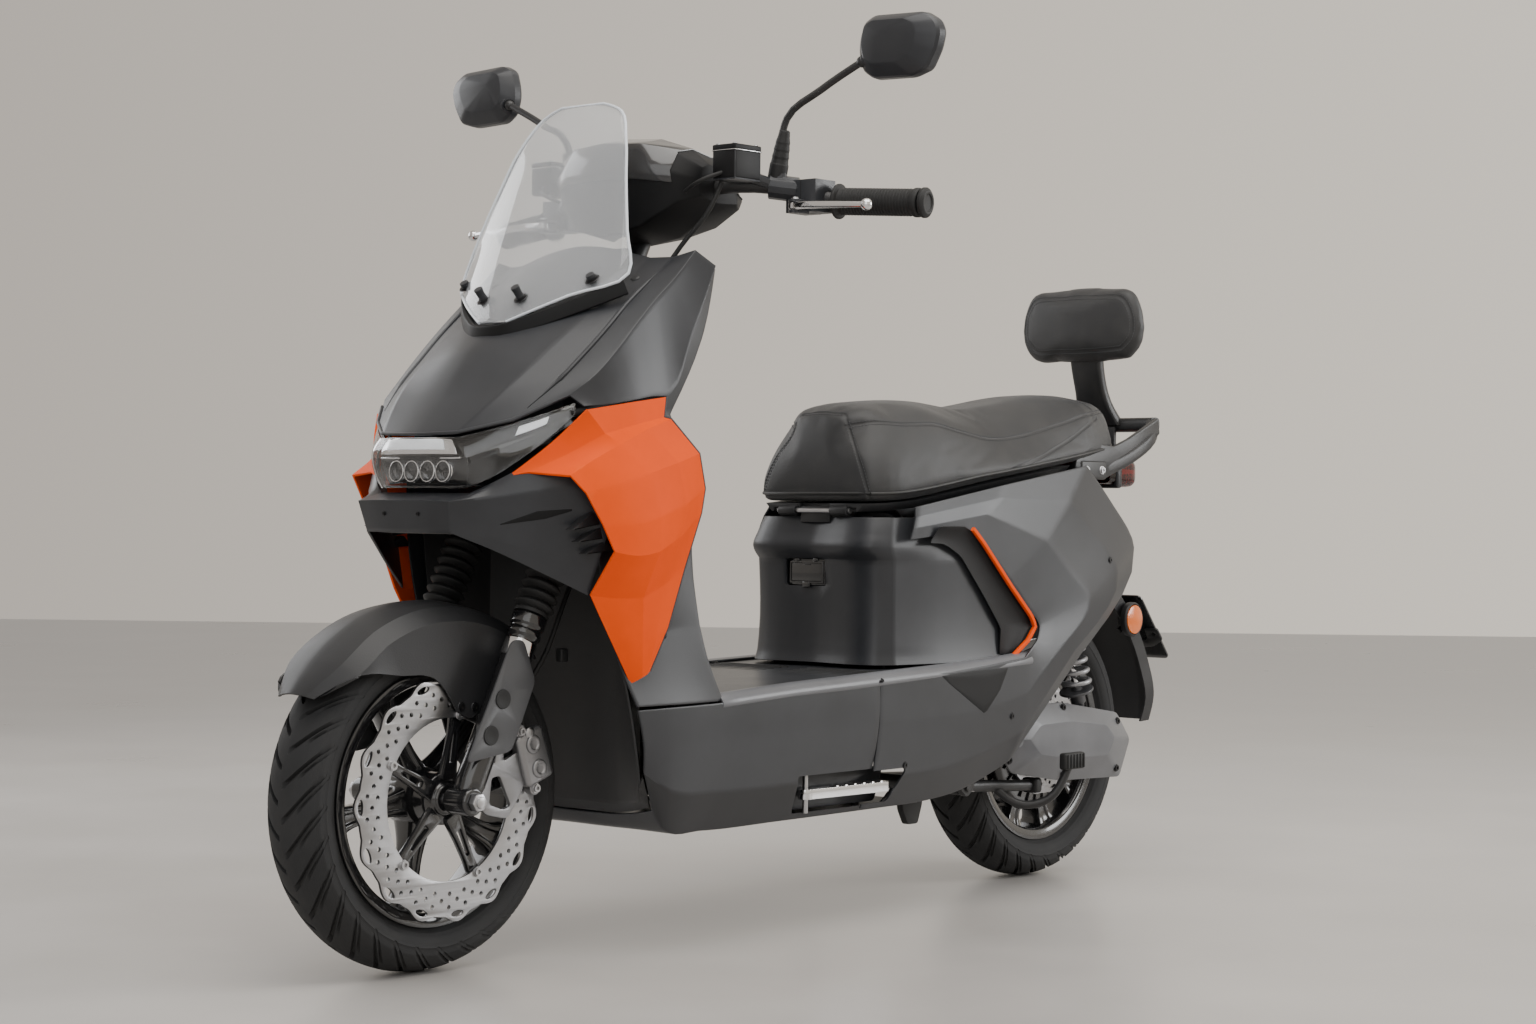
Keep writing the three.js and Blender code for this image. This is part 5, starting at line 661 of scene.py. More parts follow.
def make_grain_group():
    """Moulded grain: a fine pebbled height, with slow tone and polish changes."""
    graph, given, out = new_group("Moulded grain", [
        ("Vector", "NodeSocketVector", None), ("Size", "NodeSocketFloat", 900.0),
        ("Patch Size", "NodeSocketFloat", 9.0), ("Scuffs", "NodeSocketFloat", 0.3),
    ], [("Height", "NodeSocketFloat"), ("Tone", "NodeSocketFloat"), ("Polish", "NodeSocketFloat")])
    pebbles = graph.node("ShaderNodeTexVoronoi",
                         {"Vector": given["Vector"], "Scale": given["Size"]})
    fine = graph.node("ShaderNodeTexNoise", {
        "Vector": given["Vector"], "Scale": graph.maths("MULTIPLY", given["Size"], 0.6),
        "Detail": 2.0})
    graph.put(out, "Height", graph.maths("ADD", pebbles.outputs["Distance"], fine.outputs["Fac"]))
    patches = graph.node("ShaderNodeTexNoise", {
        "Vector": given["Vector"], "Scale": given["Patch Size"], "Detail": 4.0, "Roughness": 0.6})
    graph.put(out, "Tone", patches.outputs["Fac"])
    streaks = graph.node("ShaderNodeMapping",
                         {"Vector": given["Vector"], "Scale": (40.0, 40.0, 260.0)})
    scratch = graph.node("ShaderNodeTexNoise", {
        "Vector": streaks.outputs["Vector"], "Scale": 1.6, "Detail": 5.0, "Roughness": 0.7})
    marks = graph.ramp(scratch.outputs["Fac"], (0.56, 0.0), (0.72, 1.0))
    graph.put(out, "Polish", graph.maths("MULTIPLY", marks, given["Scuffs"]))
    return graph.tree


def make_wear_group():
    """Light rubbed edges and a thin settling of dust in the hollows."""
    graph, given, out = new_group("Edges and dust", [
        ("Vector", "NodeSocketVector", None), ("Color", "NodeSocketColor", (0.5, 0.5, 0.5, 1)),
        ("Edge Color", "NodeSocketColor", (0.5, 0.5, 0.5, 1)), ("Edges", "NodeSocketFloat", 0.3),
        ("Dust", "NodeSocketFloat", 0.2),
    ], [("Color", "NodeSocketColor"), ("Dust Mask", "NodeSocketFloat")])
    point = graph.node("ShaderNodeNewGeometry").outputs["Pointiness"]
    rough = graph.node("ShaderNodeTexNoise",
                       {"Vector": given["Vector"], "Scale": 60.0, "Detail": 5.0})
    edge = graph.ramp(point, (0.52, 0.0), (0.6, 1.0))
    worn = graph.maths("MULTIPLY", graph.maths("MULTIPLY", edge, rough.outputs["Fac"]),
                       given["Edges"])
    rubbed = graph.node("ShaderNodeMix", data_type="RGBA", clamp_factor=True)
    graph.put(rubbed, 0, worn)
    graph.put(rubbed, 6, given["Color"])
    graph.put(rubbed, 7, given["Edge Color"])
    hollow = graph.ramp(point, (0.4, 1.0), (0.5, 0.0))
    speck = graph.node("ShaderNodeTexNoise",
                       {"Vector": given["Vector"], "Scale": 24.0, "Detail": 6.0})
    settled_dust = graph.maths("MULTIPLY", graph.ramp(speck.outputs["Fac"], (0.42, 0.0),
                                                      (0.75, 1.0)), given["Dust"])
    dust = graph.maths("MAXIMUM", graph.maths("MULTIPLY", hollow, given["Dust"]), graph.maths(
        "MULTIPLY", settled_dust, 0.35))
    dusty = graph.node("ShaderNodeMix", data_type="RGBA", clamp_factor=True)
    graph.put(dusty, 0, dust)
    graph.put(dusty, 6, rubbed.outputs[2])
    graph.put(dusty, 7, (0.30, 0.27, 0.23, 1))
    graph.put(out, "Color", dusty.outputs[2])
    graph.put(out, "Dust Mask", dust)
    return graph.tree


def surface_material(name, color, roughness, metallic=0.0, grain=900.0, bump=0.04, tone=0.12,
                     edges=0.25,
                     edge_color=None, dust=0.12, coat=0.0, scuffs=0.2, anisotropic=0.0, sheen=0.0,
                     specular=0.5, grain_depth=0.0004, patch=9.0):
    """The usual finish: a base colour with tone patches, worn edges, dust, grain and scuffs."""
    material = bpy.data.materials.new(name)
    material.use_nodes = True
    graph = Graph(material.node_tree)
    shader = material.node_tree.nodes["Principled BSDF"]
    place = graph.node("ShaderNodeTexCoord").outputs["Object"]
    moulded = graph.node("ShaderNodeGroup", node_tree=GROUPS["grain"])
    for key, value in {"Vector": place, "Size": grain, "Patch Size": patch,
                       "Scuffs": scuffs}.items():
        graph.put(moulded, key, value)
    darker = tuple(c * (1 - tone) for c in color) + (1,)
    lighter = tuple(min(c * (1 + tone) + 0.002, 1) for c in color) + (1,)
    tint = graph.ramp(moulded.outputs["Tone"], (0.3, darker), (0.7, lighter))
    worn = graph.node("ShaderNodeGroup", node_tree=GROUPS["wear"])
    rubbed = edge_color or tuple(min(c * 1.7 + 0.03, 1) for c in color)
    values = {"Vector": place, "Color": tint, "Edge Color": tuple(rubbed) + (1,), "Edges": edges,
              "Dust": dust}
    for key, value in values.items():
        graph.put(worn, key, value)
    graph.put(shader, "Base Color", worn.outputs["Color"])
    rough = graph.maths("ADD", roughness, graph.maths("MULTIPLY", worn.outputs["Dust Mask"], 0.35))
    rough = graph.maths("ADD", rough, graph.maths("MULTIPLY", moulded.outputs["Polish"], 0.12))
    patchy = graph.maths("MULTIPLY", graph.maths("SUBTRACT", moulded.outputs["Tone"], 0.5), 0.16)
    graph.put(shader, "Roughness", graph.node(
        "ShaderNodeClamp", {"Value": graph.maths("ADD", rough, patchy), "Min": 0.03,
                            "Max": 1.0}).outputs[0])
    graph.put(shader, "Metallic", metallic)
    graph.put(shader, "Coat Weight", coat)
    shader.inputs["Coat Roughness"].default_value = 0.06
    shader.inputs["Anisotropic"].default_value = anisotropic
    shader.inputs["Sheen Weight"].default_value = sheen
    shader.inputs["Sheen Roughness"].default_value = 0.4
    shader.inputs["Specular IOR Level"].default_value = specular
    relief = graph.node("ShaderNodeBump", {
        "Height": moulded.outputs["Height"], "Strength": bump, "Distance": grain_depth})
    graph.put(shader, "Normal", relief.outputs["Normal"])
    return material


def vinyl_material(name, color):
    """Seat vinyl: a leather grain of small cells, a soft sheen and stretched, shinier patches."""
    material = surface_material(
        name, color, 0.46, grain=700.0, bump=0.0, tone=0.1, edges=0.12, dust=0.1, sheen=0.08,
        scuffs=0.35)
    graph = Graph(material.node_tree)
    shader = material.node_tree.nodes["Principled BSDF"]
    place = graph.node("ShaderNodeTexCoord").outputs["Object"]
    bend = graph.node("ShaderNodeTexNoise", {"Vector": place, "Scale": 180.0, "Detail": 2.0})
    shifted = graph.node("ShaderNodeVectorMath", operation="MULTIPLY_ADD")
    graph.put(shifted, 0, bend.outputs["Color"])
    graph.put(shifted, 1, (0.003, 0.003, 0.003))
    graph.put(shifted, 2, place)
    cells = graph.node("ShaderNodeTexVoronoi", {
        "Vector": shifted.outputs["Vector"], "Scale": 520.0}, feature="DISTANCE_TO_EDGE")
    creases = graph.ramp(cells.outputs["Distance"], (0.0, 0.0), (0.16, 1.0))
    pores = graph.node("ShaderNodeTexNoise", {"Vector": place, "Scale": 1500.0, "Detail": 1.0})
    height = graph.maths("ADD", creases, graph.maths("MULTIPLY", pores.outputs["Fac"], 0.3))
    relief = graph.node("ShaderNodeBump", {"Height": height, "Strength": 0.32, "Distance": 0.0004})
    graph.put(shader, "Normal", relief.outputs["Normal"])
    return material


def tyre_material(name, color, axle):
    """Tyre rubber: dull, with a dusty bloom and fine moulding rings round the axle."""
    material = surface_material(
        name, color, 0.72, grain=380.0, bump=0.25, tone=0.16, edges=0.3,
        edge_color=(0.06, 0.06, 0.06), dust=0.06, scuffs=0.5, specular=0.35)
    graph = Graph(material.node_tree)
    shader = material.node_tree.nodes["Principled BSDF"]
    place = graph.node("ShaderNodeTexCoord").outputs["Object"]
    centred = graph.node("ShaderNodeMapping", {"Vector": place, "Location": tuple(-axle)})
    parts = graph.node("ShaderNodeSeparateXYZ", {"Vector": centred.outputs["Vector"]})
    radius = graph.maths("SQRT", graph.maths("ADD", graph.maths(
        "POWER", graph.maths("ABSOLUTE", parts.outputs["X"]), 2.0), graph.maths(
        "POWER", graph.maths("ABSOLUTE", parts.outputs["Z"]), 2.0)))
    rings = graph.maths("SINE", graph.maths("MULTIPLY", radius, 3200.0))
    grit = graph.node("ShaderNodeTexNoise", {"Vector": place, "Scale": 700.0, "Detail": 3.0})
    height = graph.maths("ADD", graph.maths("MULTIPLY", rings, 0.25), grit.outputs["Fac"])
    relief = graph.node("ShaderNodeBump", {"Height": height, "Strength": 0.3, "Distance": 0.0005})
    graph.put(shader, "Normal", relief.outputs["Normal"])
    return material


def ground_steel_material(name, color, axle, rings=5200.0, roughness=0.3):
    """Steel ground in rings round an axle, as a brake disc is."""
    material = surface_material(
        name, color, roughness, metallic=1.0, grain=1200.0, bump=0.0, tone=0.07, edges=0.2,
        edge_color=(0.8, 0.8, 0.8), dust=0.05, scuffs=0.3)
    graph = Graph(material.node_tree)
    shader = material.node_tree.nodes["Principled BSDF"]
    place = graph.node("ShaderNodeTexCoord").outputs["Object"]
    centred = graph.node("ShaderNodeMapping", {"Vector": place, "Location": tuple(-axle)})
    parts = graph.node("ShaderNodeSeparateXYZ", {"Vector": centred.outputs["Vector"]})
    radius = graph.maths("SQRT", graph.maths("ADD", graph.maths(
        "POWER", graph.maths("ABSOLUTE", parts.outputs["X"]), 2.0), graph.maths(
        "POWER", graph.maths("ABSOLUTE", parts.outputs["Z"]), 2.0)))
    line = graph.node("ShaderNodeTexNoise", {
        "W": graph.maths("MULTIPLY", radius, rings), "Scale": 1.0, "Detail": 2.0},
                      noise_dimensions="1D")
    relief = graph.node("ShaderNodeBump", {
        "Height": line.outputs["Fac"], "Strength": 0.22, "Distance": 0.0003})
    graph.put(shader, "Normal", relief.outputs["Normal"])
    return material


def clear_material(name, color, roughness=0.03, transmission=1.0, ior=1.45):
    """Clear moulded plastic with faint marks in its polish."""
    material = bpy.data.materials.new(name)
    material.use_nodes = True
    graph = Graph(material.node_tree)
    shader = material.node_tree.nodes["Principled BSDF"]
    place = graph.node("ShaderNodeTexCoord").outputs["Object"]
    cloud = graph.node("ShaderNodeTexNoise", {"Vector": place, "Scale": 30.0, "Detail": 5.0})
    marks = graph.ramp(cloud.outputs["Fac"], (0.45, roughness), (0.8, roughness + 0.07))
    shader.inputs["Base Color"].default_value = tuple(color) + (1,)
    graph.put(shader, "Roughness", marks)
    shader.inputs["Transmission Weight"].default_value = transmission
    shader.inputs["IOR"].default_value = ior
    return material


def lamp_material(name, color, strength):
    """A light unit's face: bright where it shines, with fine dots of its diffuser."""
    material = surface_material(name, color, 0.25, grain=1500.0, bump=0.1, tone=0.03, edges=0.0,
                                dust=0.0)
    graph = Graph(material.node_tree)
    shader = material.node_tree.nodes["Principled BSDF"]
    shader.inputs["Emission Strength"].default_value = strength
    place = graph.node("ShaderNodeTexCoord").outputs["Object"]
    dots = graph.node("ShaderNodeTexVoronoi", {"Vector": place, "Scale": 150.0})
    glow = graph.ramp(
        dots.outputs["Distance"], (0.1, tuple(color) + (1,)),
        (0.7, tuple(c * 0.75 for c in color) + (1,)))
    graph.put(shader, "Emission Color", glow)
    return material


GROUPS = {}
FINISH = {}


def make_finishes(colors):
    """Every finish of the scooter, from the colours that the user sets."""
    GROUPS["grain"] = make_grain_group()
    GROUPS["wear"] = make_wear_group()
    make = surface_material
    dark, matt, orange = tuple(colors.body_dark), tuple(colors.body_matt), tuple(colors.accent)
    FINISH.update({
        "satin dark plastic": make("Satin dark plastic", dark, 0.34, bump=0.1, grain=1100.0,
                                   dust=0.02, specular=0.42),
        "matt dark plastic": make(
            "Matt dark plastic", matt, 0.46, bump=0.2, grain=650.0, dust=0.03, edges=0.3,
            specular=0.42),
        "insert plastic": make(
            "Insert plastic", (0.006, 0.006, 0.0065), 0.5, bump=0.14, grain=900.0, dust=0.02,
            specular=0.22),
        "orange plastic": make(
            "Orange plastic", orange, 0.5, bump=0.05, grain=1300.0, tone=0.05, edges=0.3,
            edge_color=(0.95, 0.2, 0.04), dust=0.0, coat=0.0, specular=0.06),
        "gloss black paint": make(
            "Gloss black paint", (0.007, 0.007, 0.008), 0.2, bump=0.03, tone=0.1, edges=0.25,
            edge_color=(0.12, 0.12, 0.12), dust=0.1, coat=0.8),
        "black frame paint": make(
            "Black frame paint", (0.013, 0.013, 0.014), 0.42, bump=0.14, grain=500.0, dust=0.15),
        "soft rubber": make(
            "Soft rubber", (0.011, 0.011, 0.011), 0.6, bump=0.2, grain=800.0, dust=0.05,
            specular=0.4),
        "seat vinyl": vinyl_material("Seat vinyl", tuple(colors.seat)),
        "piping vinyl": make("Piping vinyl", (0.012, 0.012, 0.012), 0.5, bump=0.1),
        "seat thread": make("Seat thread", (0.05, 0.05, 0.052), 0.75, bump=0.3, grain=3000.0),
        "front tyre rubber": tyre_material("Front tyre rubber", (0.022, 0.022, 0.0225), FRONT_AXLE),
        "rear tyre rubber": tyre_material("Rear tyre rubber", (0.022, 0.022, 0.0225), REAR_AXLE),
        "front disc steel": ground_steel_material("Front disc steel", (0.36, 0.36, 0.37),
                                                  FRONT_AXLE),
        "rear disc steel": ground_steel_material("Rear disc steel", (0.36, 0.36, 0.37), REAR_AXLE),
        "polished metal": make(
            "Polished metal", (0.72, 0.72, 0.73), 0.13, metallic=1.0, bump=0.03, tone=0.05,
            dust=0.05),
        "bolt steel": make(
            "Bolt steel", (0.42, 0.42, 0.43), 0.3, metallic=1.0, bump=0.12, tone=0.12, dust=0.12),
        "dark bolt": make(
            "Dark bolt", (0.03, 0.03, 0.032), 0.35, metallic=0.8, bump=0.1, tone=0.15, dust=0.1),
        "cast grey": make(
            "Cast grey", (0.075, 0.075, 0.079), 0.38, metallic=0.3, bump=0.35, grain=700.0,
            dust=0.12,
            edge_color=(0.42, 0.42, 0.43)),
        "silver cast": make(
            "Silver cast", (0.3, 0.3, 0.31), 0.38, metallic=0.9, bump=0.3, grain=800.0, dust=0.12),
        "grey cover plastic": make(
            "Grey cover plastic", (0.135, 0.135, 0.14), 0.34, bump=0.12, grain=900.0, dust=0.04),
        "guard grey": make("Guard grey", (0.058, 0.058, 0.06), 0.42, bump=0.18, grain=900.0,
                           dust=0.12),
        "clear screen": clear_material("Clear screen", (0.9, 0.91, 0.92), roughness=0.02,
                                       transmission=0.76),
        "clear lens": clear_material("Clear lens", (0.96, 0.97, 0.98), roughness=0.02),
        "smoked lens": clear_material("Smoked lens", (0.22, 0.22, 0.23), roughness=0.04),
        "red lens": clear_material("Red lens", (0.32, 0.008, 0.006), roughness=0.05),
        "mirror": make(
            "Mirror glass", (0.86, 0.87, 0.88), 0.03, metallic=1.0, bump=0.0, tone=0.01, edges=0.0,
            dust=0.02, scuffs=0.02),
        "lamp chrome": make(
            "Lamp chrome", (0.8, 0.8, 0.81), 0.08, metallic=1.0, bump=0.0, tone=0.02, edges=0.0,
            dust=0.0),
        "white light": lamp_material("White light", (0.9, 0.92, 0.94), 0.5),
        "amber reflector": make(
            "Amber reflector", (0.85, 0.16, 0.01), 0.15, grain=420.0, bump=0.4, tone=0.1, coat=0.6),
        "red reflector": make(
            "Red reflector", (0.5, 0.012, 0.008), 0.15, grain=420.0, bump=0.4, tone=0.1, coat=0.6),
        # Painted highlight: an opaque whitish finish for the windshield's bright side edges.
        "painted edge highlight": make("Clear edge", (0.78, 0.8, 0.82), 0.12, dust=0.0, edges=0.0, tone=0.02),
        "spring paint": make("Spring paint", (0.3, 0.3, 0.31), 0.34, metallic=0.6, bump=0.03,
                             dust=0.1),
        "battery case": make("Battery case", (0.07, 0.08, 0.09), 0.5, bump=0.25, grain=700.0,
                             dust=0.2),
        "screen glass": make(
            "Screen glass", (0.004, 0.004, 0.005), 0.08, bump=0.0, tone=0.05, edges=0.0, dust=0.02,
            coat=0.5),
        "deep shadow": make("Deep shadow", (0.004, 0.004, 0.004), 0.9, bump=0.0, dust=0.0,
                            edges=0.0),
    })


# Geometry Nodes that make what repeats


class Tree(Graph):
    """A Geometry Nodes tree that starts from named inputs and ends in one realised mesh."""

    def __init__(self, name, inputs):
        tree = bpy.data.node_groups.new(name, "GeometryNodeTree")
        tree.interface.new_socket("Geometry", in_out="INPUT", socket_type="NodeSocketGeometry")
        self.keys = {}
        for label, kind, default in inputs:
            socket = tree.interface.new_socket(label, in_out="INPUT", socket_type=kind)
            if default is not None:
                socket.default_value = default
            self.keys[label] = socket.identifier
        tree.interface.new_socket("Geometry", in_out="OUTPUT", socket_type="NodeSocketGeometry")
        super().__init__(tree)
        self.given = self.node("NodeGroupInput").outputs

    def close(self, geometry, material):
        """Ends the tree in Realize Instances and Set Material."""
        real = self.node("GeometryNodeRealizeInstances", {"Geometry": geometry})
        painted = self.node("GeometryNodeSetMaterial",
                            {"Geometry": real.outputs[0], "Material": material})
        self.put(self.node("NodeGroupOutput"), "Geometry", painted.outputs[0])
        return self

    def on(self, piece, values, angle=SHARP_TURN):
        """Runs the tree on a piece and leaves a plain mesh."""
        modifier = piece.modifiers.new("Made", "NODES")
        modifier.node_group = self.tree
        for label, value in values.items():
            modifier[self.keys[label]] = value
        material = values.get("Material")
        made = applied(piece, angle)
        if material and material.name not in made.data.materials:
            made.data.materials.clear()
            made.data.materials.append(material)
        return made


def bolt_tree():
    """Socket-headed bolts on points that carry a direction."""
    tree = Tree("Bolts on points", [
        ("Head Radius", "NodeSocketFloat", 5 * MM), ("Head Height", "NodeSocketFloat", 3.5 * MM),
        ("Washer Radius", "NodeSocketFloat", 6.5 * MM), ("Material", "NodeSocketMaterial", None)])
    given = tree.given
    head = tree.node("GeometryNodeMeshCylinder", {
        "Vertices": 20, "Radius": given["Head Radius"], "Depth": given["Head Height"]})
    socket_radius = tree.maths("MULTIPLY", given["Head Radius"], 0.55)
    socket = tree.node("GeometryNodeMeshCylinder", {
        "Vertices": 6, "Radius": socket_radius, "Depth": given["Head Height"]})
    lifted = tree.node("ShaderNodeCombineXYZ",
                       {"Z": tree.maths("MULTIPLY", given["Head Height"], 0.45)})
    sunk = tree.node("GeometryNodeTransform", {
        "Geometry": socket.outputs["Mesh"], "Translation": lifted.outputs[0]})
    drilled = tree.node("GeometryNodeMeshBoolean", operation="DIFFERENCE")
    tree.put(drilled, "Mesh 1", head.outputs["Mesh"])
    tree.put(drilled, "Mesh 2", sunk.outputs[0])
    raised = tree.node("ShaderNodeCombineXYZ",
                       {"Z": tree.maths("MULTIPLY", given["Head Height"], 0.5)})
    seated = tree.node("GeometryNodeTransform", {
        "Geometry": drilled.outputs["Mesh"], "Translation": raised.outputs[0]})
    washer = tree.node("GeometryNodeMeshCone", {
        "Vertices": 24, "Radius Top": tree.maths("MULTIPLY", given["Washer Radius"], 0.92),
        "Radius Bottom": given["Washer Radius"],
        "Depth": tree.maths("MULTIPLY", given["Head Height"], 0.3)})
    whole = tree.node("GeometryNodeJoinGeometry")
    tree.put(whole, "Geometry", seated.outputs[0])
    tree.put(whole, "Geometry", washer.outputs["Mesh"])
    facing = tree.node("GeometryNodeInputNamedAttribute", {"Name": "facing"},
                       data_type="FLOAT_VECTOR")
    turn = tree.node("FunctionNodeAlignEulerToVector", {"Vector": facing.outputs[0]}, axis="Z")
    points = tree.node("GeometryNodeMeshToPoints", {"Mesh": given["Geometry"]})
    copies = tree.node("GeometryNodeInstanceOnPoints", {
        "Points": points.outputs[0], "Instance": whole.outputs[0], "Rotation": turn.outputs[0]})
    return tree.close(copies.outputs[0], given["Material"])


def ring_tree():
    """Copies of a piece, evenly spaced round an axis through the given centre, along y."""
    tree = Tree("Copies round an axle", [
        ("Count", "NodeSocketInt", 12), ("Centre", "NodeSocketVector", (0, 0, 0)),
        ("Start", "NodeSocketFloat", 0.0), ("Material", "NodeSocketMaterial", None)])
    given = tree.given
    back = tree.node("ShaderNodeVectorMath", operation="SCALE")
    tree.put(back, 0, given["Centre"])
    tree.put(back, "Scale", -1.0)
    centred = tree.node("GeometryNodeTransform", {
        "Geometry": given["Geometry"], "Translation": back.outputs[0]})
    line = tree.node("GeometryNodeMeshLine", {"Count": given["Count"], "Offset": (0, 0, 0)})
    points = tree.node("GeometryNodeMeshToPoints", {"Mesh": line.outputs[0]})
    index = tree.node("GeometryNodeInputIndex")
    step = tree.maths("DIVIDE", 2 * math.pi, given["Count"])
    turn = tree.node("ShaderNodeCombineXYZ", {
        "Y": tree.maths("ADD", tree.maths("MULTIPLY", index.outputs[0], step), given["Start"])})
    copies = tree.node("GeometryNodeInstanceOnPoints", {
        "Points": points.outputs[0], "Instance": centred.outputs[0], "Rotation": turn.outputs[0]})
    placed = tree.node("GeometryNodeTransform", {
        "Geometry": copies.outputs[0], "Translation": given["Centre"]})
    real = tree.node("GeometryNodeRealizeInstances", {"Geometry": placed.outputs[0]})
    joined = tree.node("GeometryNodeMergeByDistance",
                       {"Geometry": real.outputs[0], "Distance": 0.01 * MM})
    return tree.close(joined.outputs[0], given["Material"])


def coil_tree():
    """A wound spring of round wire along z, from the foot up."""
    tree = Tree("Wound spring", [
        ("Turns", "NodeSocketFloat", 9.0), ("Radius", "NodeSocketFloat", 24 * MM),
        ("Length", "NodeSocketFloat", 170 * MM), ("Wire", "NodeSocketFloat", 4 * MM),
        ("Material", "NodeSocketMaterial", None)])
    given = tree.given
    spiral = tree.node("GeometryNodeCurveSpiral", {
        "Resolution": 28, "Rotations": given["Turns"], "Start Radius": given["Radius"],
        "End Radius": given["Radius"], "Height": given["Length"]})
    wire = tree.node("GeometryNodeCurvePrimitiveCircle",
                     {"Resolution": 12, "Radius": given["Wire"]})
    swept = tree.node("GeometryNodeCurveToMesh", {
        "Curve": spiral.outputs[0], "Profile Curve": wire.outputs[0], "Fill Caps": True})
    return tree.close(swept.outputs[0], given["Material"])


def stitch_tree():
    """Short stitches laid end to end along an edge line that carries the surface's direction."""
    tree = Tree("Stitches along a seam", [
        ("Pitch", "NodeSocketFloat", 5 * MM), ("Stitch Length", "NodeSocketFloat", 3.4 * MM),
        ("Thickness", "NodeSocketFloat", 0.7 * MM), ("Material", "NodeSocketMaterial", None)])
    given = tree.given
    line = tree.node("GeometryNodeMeshToCurve", {"Mesh": given["Geometry"]})
    even = tree.node("GeometryNodeResampleCurve", {"Curve": line.outputs[0]}, mode="LENGTH")
    tree.put(even, "Length", given["Pitch"])
    tangent = tree.node("GeometryNodeInputTangent")
    turn = tree.node("FunctionNodeAlignEulerToVector", {"Vector": tangent.outputs[0]}, axis="Z")
    stitch = tree.node("GeometryNodeMeshUVSphere", {"Segments": 6, "Rings": 4, "Radius": 1.0})
    size = tree.node("ShaderNodeCombineXYZ", {
        "X": given["Thickness"], "Y": given["Thickness"],
        "Z": tree.maths("MULTIPLY", given["Stitch Length"], 0.5)})
    copies = tree.node("GeometryNodeInstanceOnPoints", {
        "Points": even.outputs[0], "Instance": stitch.outputs["Mesh"], "Rotation": turn.outputs[0],
        "Scale": size.outputs[0]})
    return tree.close(copies.outputs[0], given["Material"])


def rib_tree():
    """Raised rings round a line, for grips and bellows."""
    tree = Tree("Rings along a line", [
        ("Pitch", "NodeSocketFloat", 6 * MM), ("Ring Radius", "NodeSocketFloat", 16 * MM),
        ("Thickness", "NodeSocketFloat", 1.5 * MM), ("Material", "NodeSocketMaterial", None)])
    given = tree.given
    line = tree.node("GeometryNodeMeshToCurve", {"Mesh": given["Geometry"]})
    even = tree.node("GeometryNodeResampleCurve", {"Curve": line.outputs[0]}, mode="LENGTH")
    tree.put(even, "Length", given["Pitch"])
    tangent = tree.node("GeometryNodeInputTangent")
    turn = tree.node("FunctionNodeAlignEulerToVector", {"Vector": tangent.outputs[0]}, axis="Z")
    hoop = tree.node("GeometryNodeCurvePrimitiveCircle",
                     {"Resolution": 40, "Radius": given["Ring Radius"]})
    wire = tree.node("GeometryNodeCurvePrimitiveCircle",
                     {"Resolution": 8, "Radius": given["Thickness"]})
    ring = tree.node("GeometryNodeCurveToMesh",
                     {"Curve": hoop.outputs[0], "Profile Curve": wire.outputs[0]})
    copies = tree.node("GeometryNodeInstanceOnPoints", {
        "Points": even.outputs[0], "Instance": ring.outputs[0], "Rotation": turn.outputs[0]})
    return tree.close(copies.outputs[0], given["Material"])


def drill_tree():
    """Round holes through a plate at points, along y."""
    tree = Tree("Drilled plate", [
        ("Drill", "NodeSocketObject", None), ("Hole Radius", "NodeSocketFloat", 3.5 * MM),
        ("Depth", "NodeSocketFloat", 20 * MM), ("Material", "NodeSocketMaterial", None)])
    given = tree.given
    marks = tree.node("GeometryNodeObjectInfo", {"Object": given["Drill"]})
    points = tree.node("GeometryNodeMeshToPoints", {"Mesh": marks.outputs["Geometry"]})
    bit = tree.node("GeometryNodeMeshCylinder", {
        "Vertices": 12, "Radius": given["Hole Radius"], "Depth": given["Depth"]})
    copies = tree.node("GeometryNodeInstanceOnPoints", {
        "Points": points.outputs[0], "Instance": bit.outputs["Mesh"],
        "Rotation": (math.pi / 2, 0, 0)})
    bits = tree.node("GeometryNodeRealizeInstances", {"Geometry": copies.outputs[0]})
    drilled = tree.node("GeometryNodeMeshBoolean", operation="DIFFERENCE")
    tree.put(drilled, "Mesh 1", given["Geometry"])
    tree.put(drilled, "Mesh 2", bits.outputs[0])
    return tree.close(drilled.outputs["Mesh"], given["Material"])


TREES = {}


def make_trees():
    TREES.update({
        "bolts": bolt_tree(), "ring": ring_tree(), "coil": coil_tree(), "stitches": stitch_tree(),
        "ribs": rib_tree(), "drill": drill_tree()})


def dots(name, places, directions=None):
    """Loose points, each with the direction that it faces."""
    mesh = bpy.data.meshes.new(name)
    mesh.from_pydata([tuple(p) for p in places], [], [])
    if directions:
        facing = mesh.attributes.new("facing", "FLOAT_VECTOR", "POINT")
        for item, way in zip(facing.data, directions):
            item.vector = way
    return bare_object(name, mesh)


def edge_line(name, places):
    """A line of edges through the places."""
    mesh = bpy.data.meshes.new(name)
    mesh.from_pydata([tuple(p) for p in places], [(i, i + 1) for i in range(len(places) - 1)], [])
    return bare_object(name, mesh)


def bolts(name, places, directions, body, head=5 * MM, height=3.5 * MM, washer=6.5 * MM,
          finish="bolt steel"):
    """Bolts at places on one body."""
    made = TREES["bolts"].on(dots(name, places, directions), {
        "Head Radius": head, "Head Height": height, "Washer Radius": washer,
        "Material": FINISH[finish]})
    return finished(made, body, FINISH[finish])


def stitched(name, places, body, pitch=5 * MM, thread=0.7 * MM):
    made = TREES["stitches"].on(edge_line(name, places), {
        "Pitch": pitch, "Stitch Length": pitch * 0.68, "Thickness": thread,
        "Material": FINISH["seat thread"]})
    return finished(made, body, FINISH["seat thread"])


def ringed(piece, count, centre, material, start=0.0):
    return TREES["ring"].on(piece, {
        "Count": count, "Centre": tuple(centre), "Start": start, "Material": material})


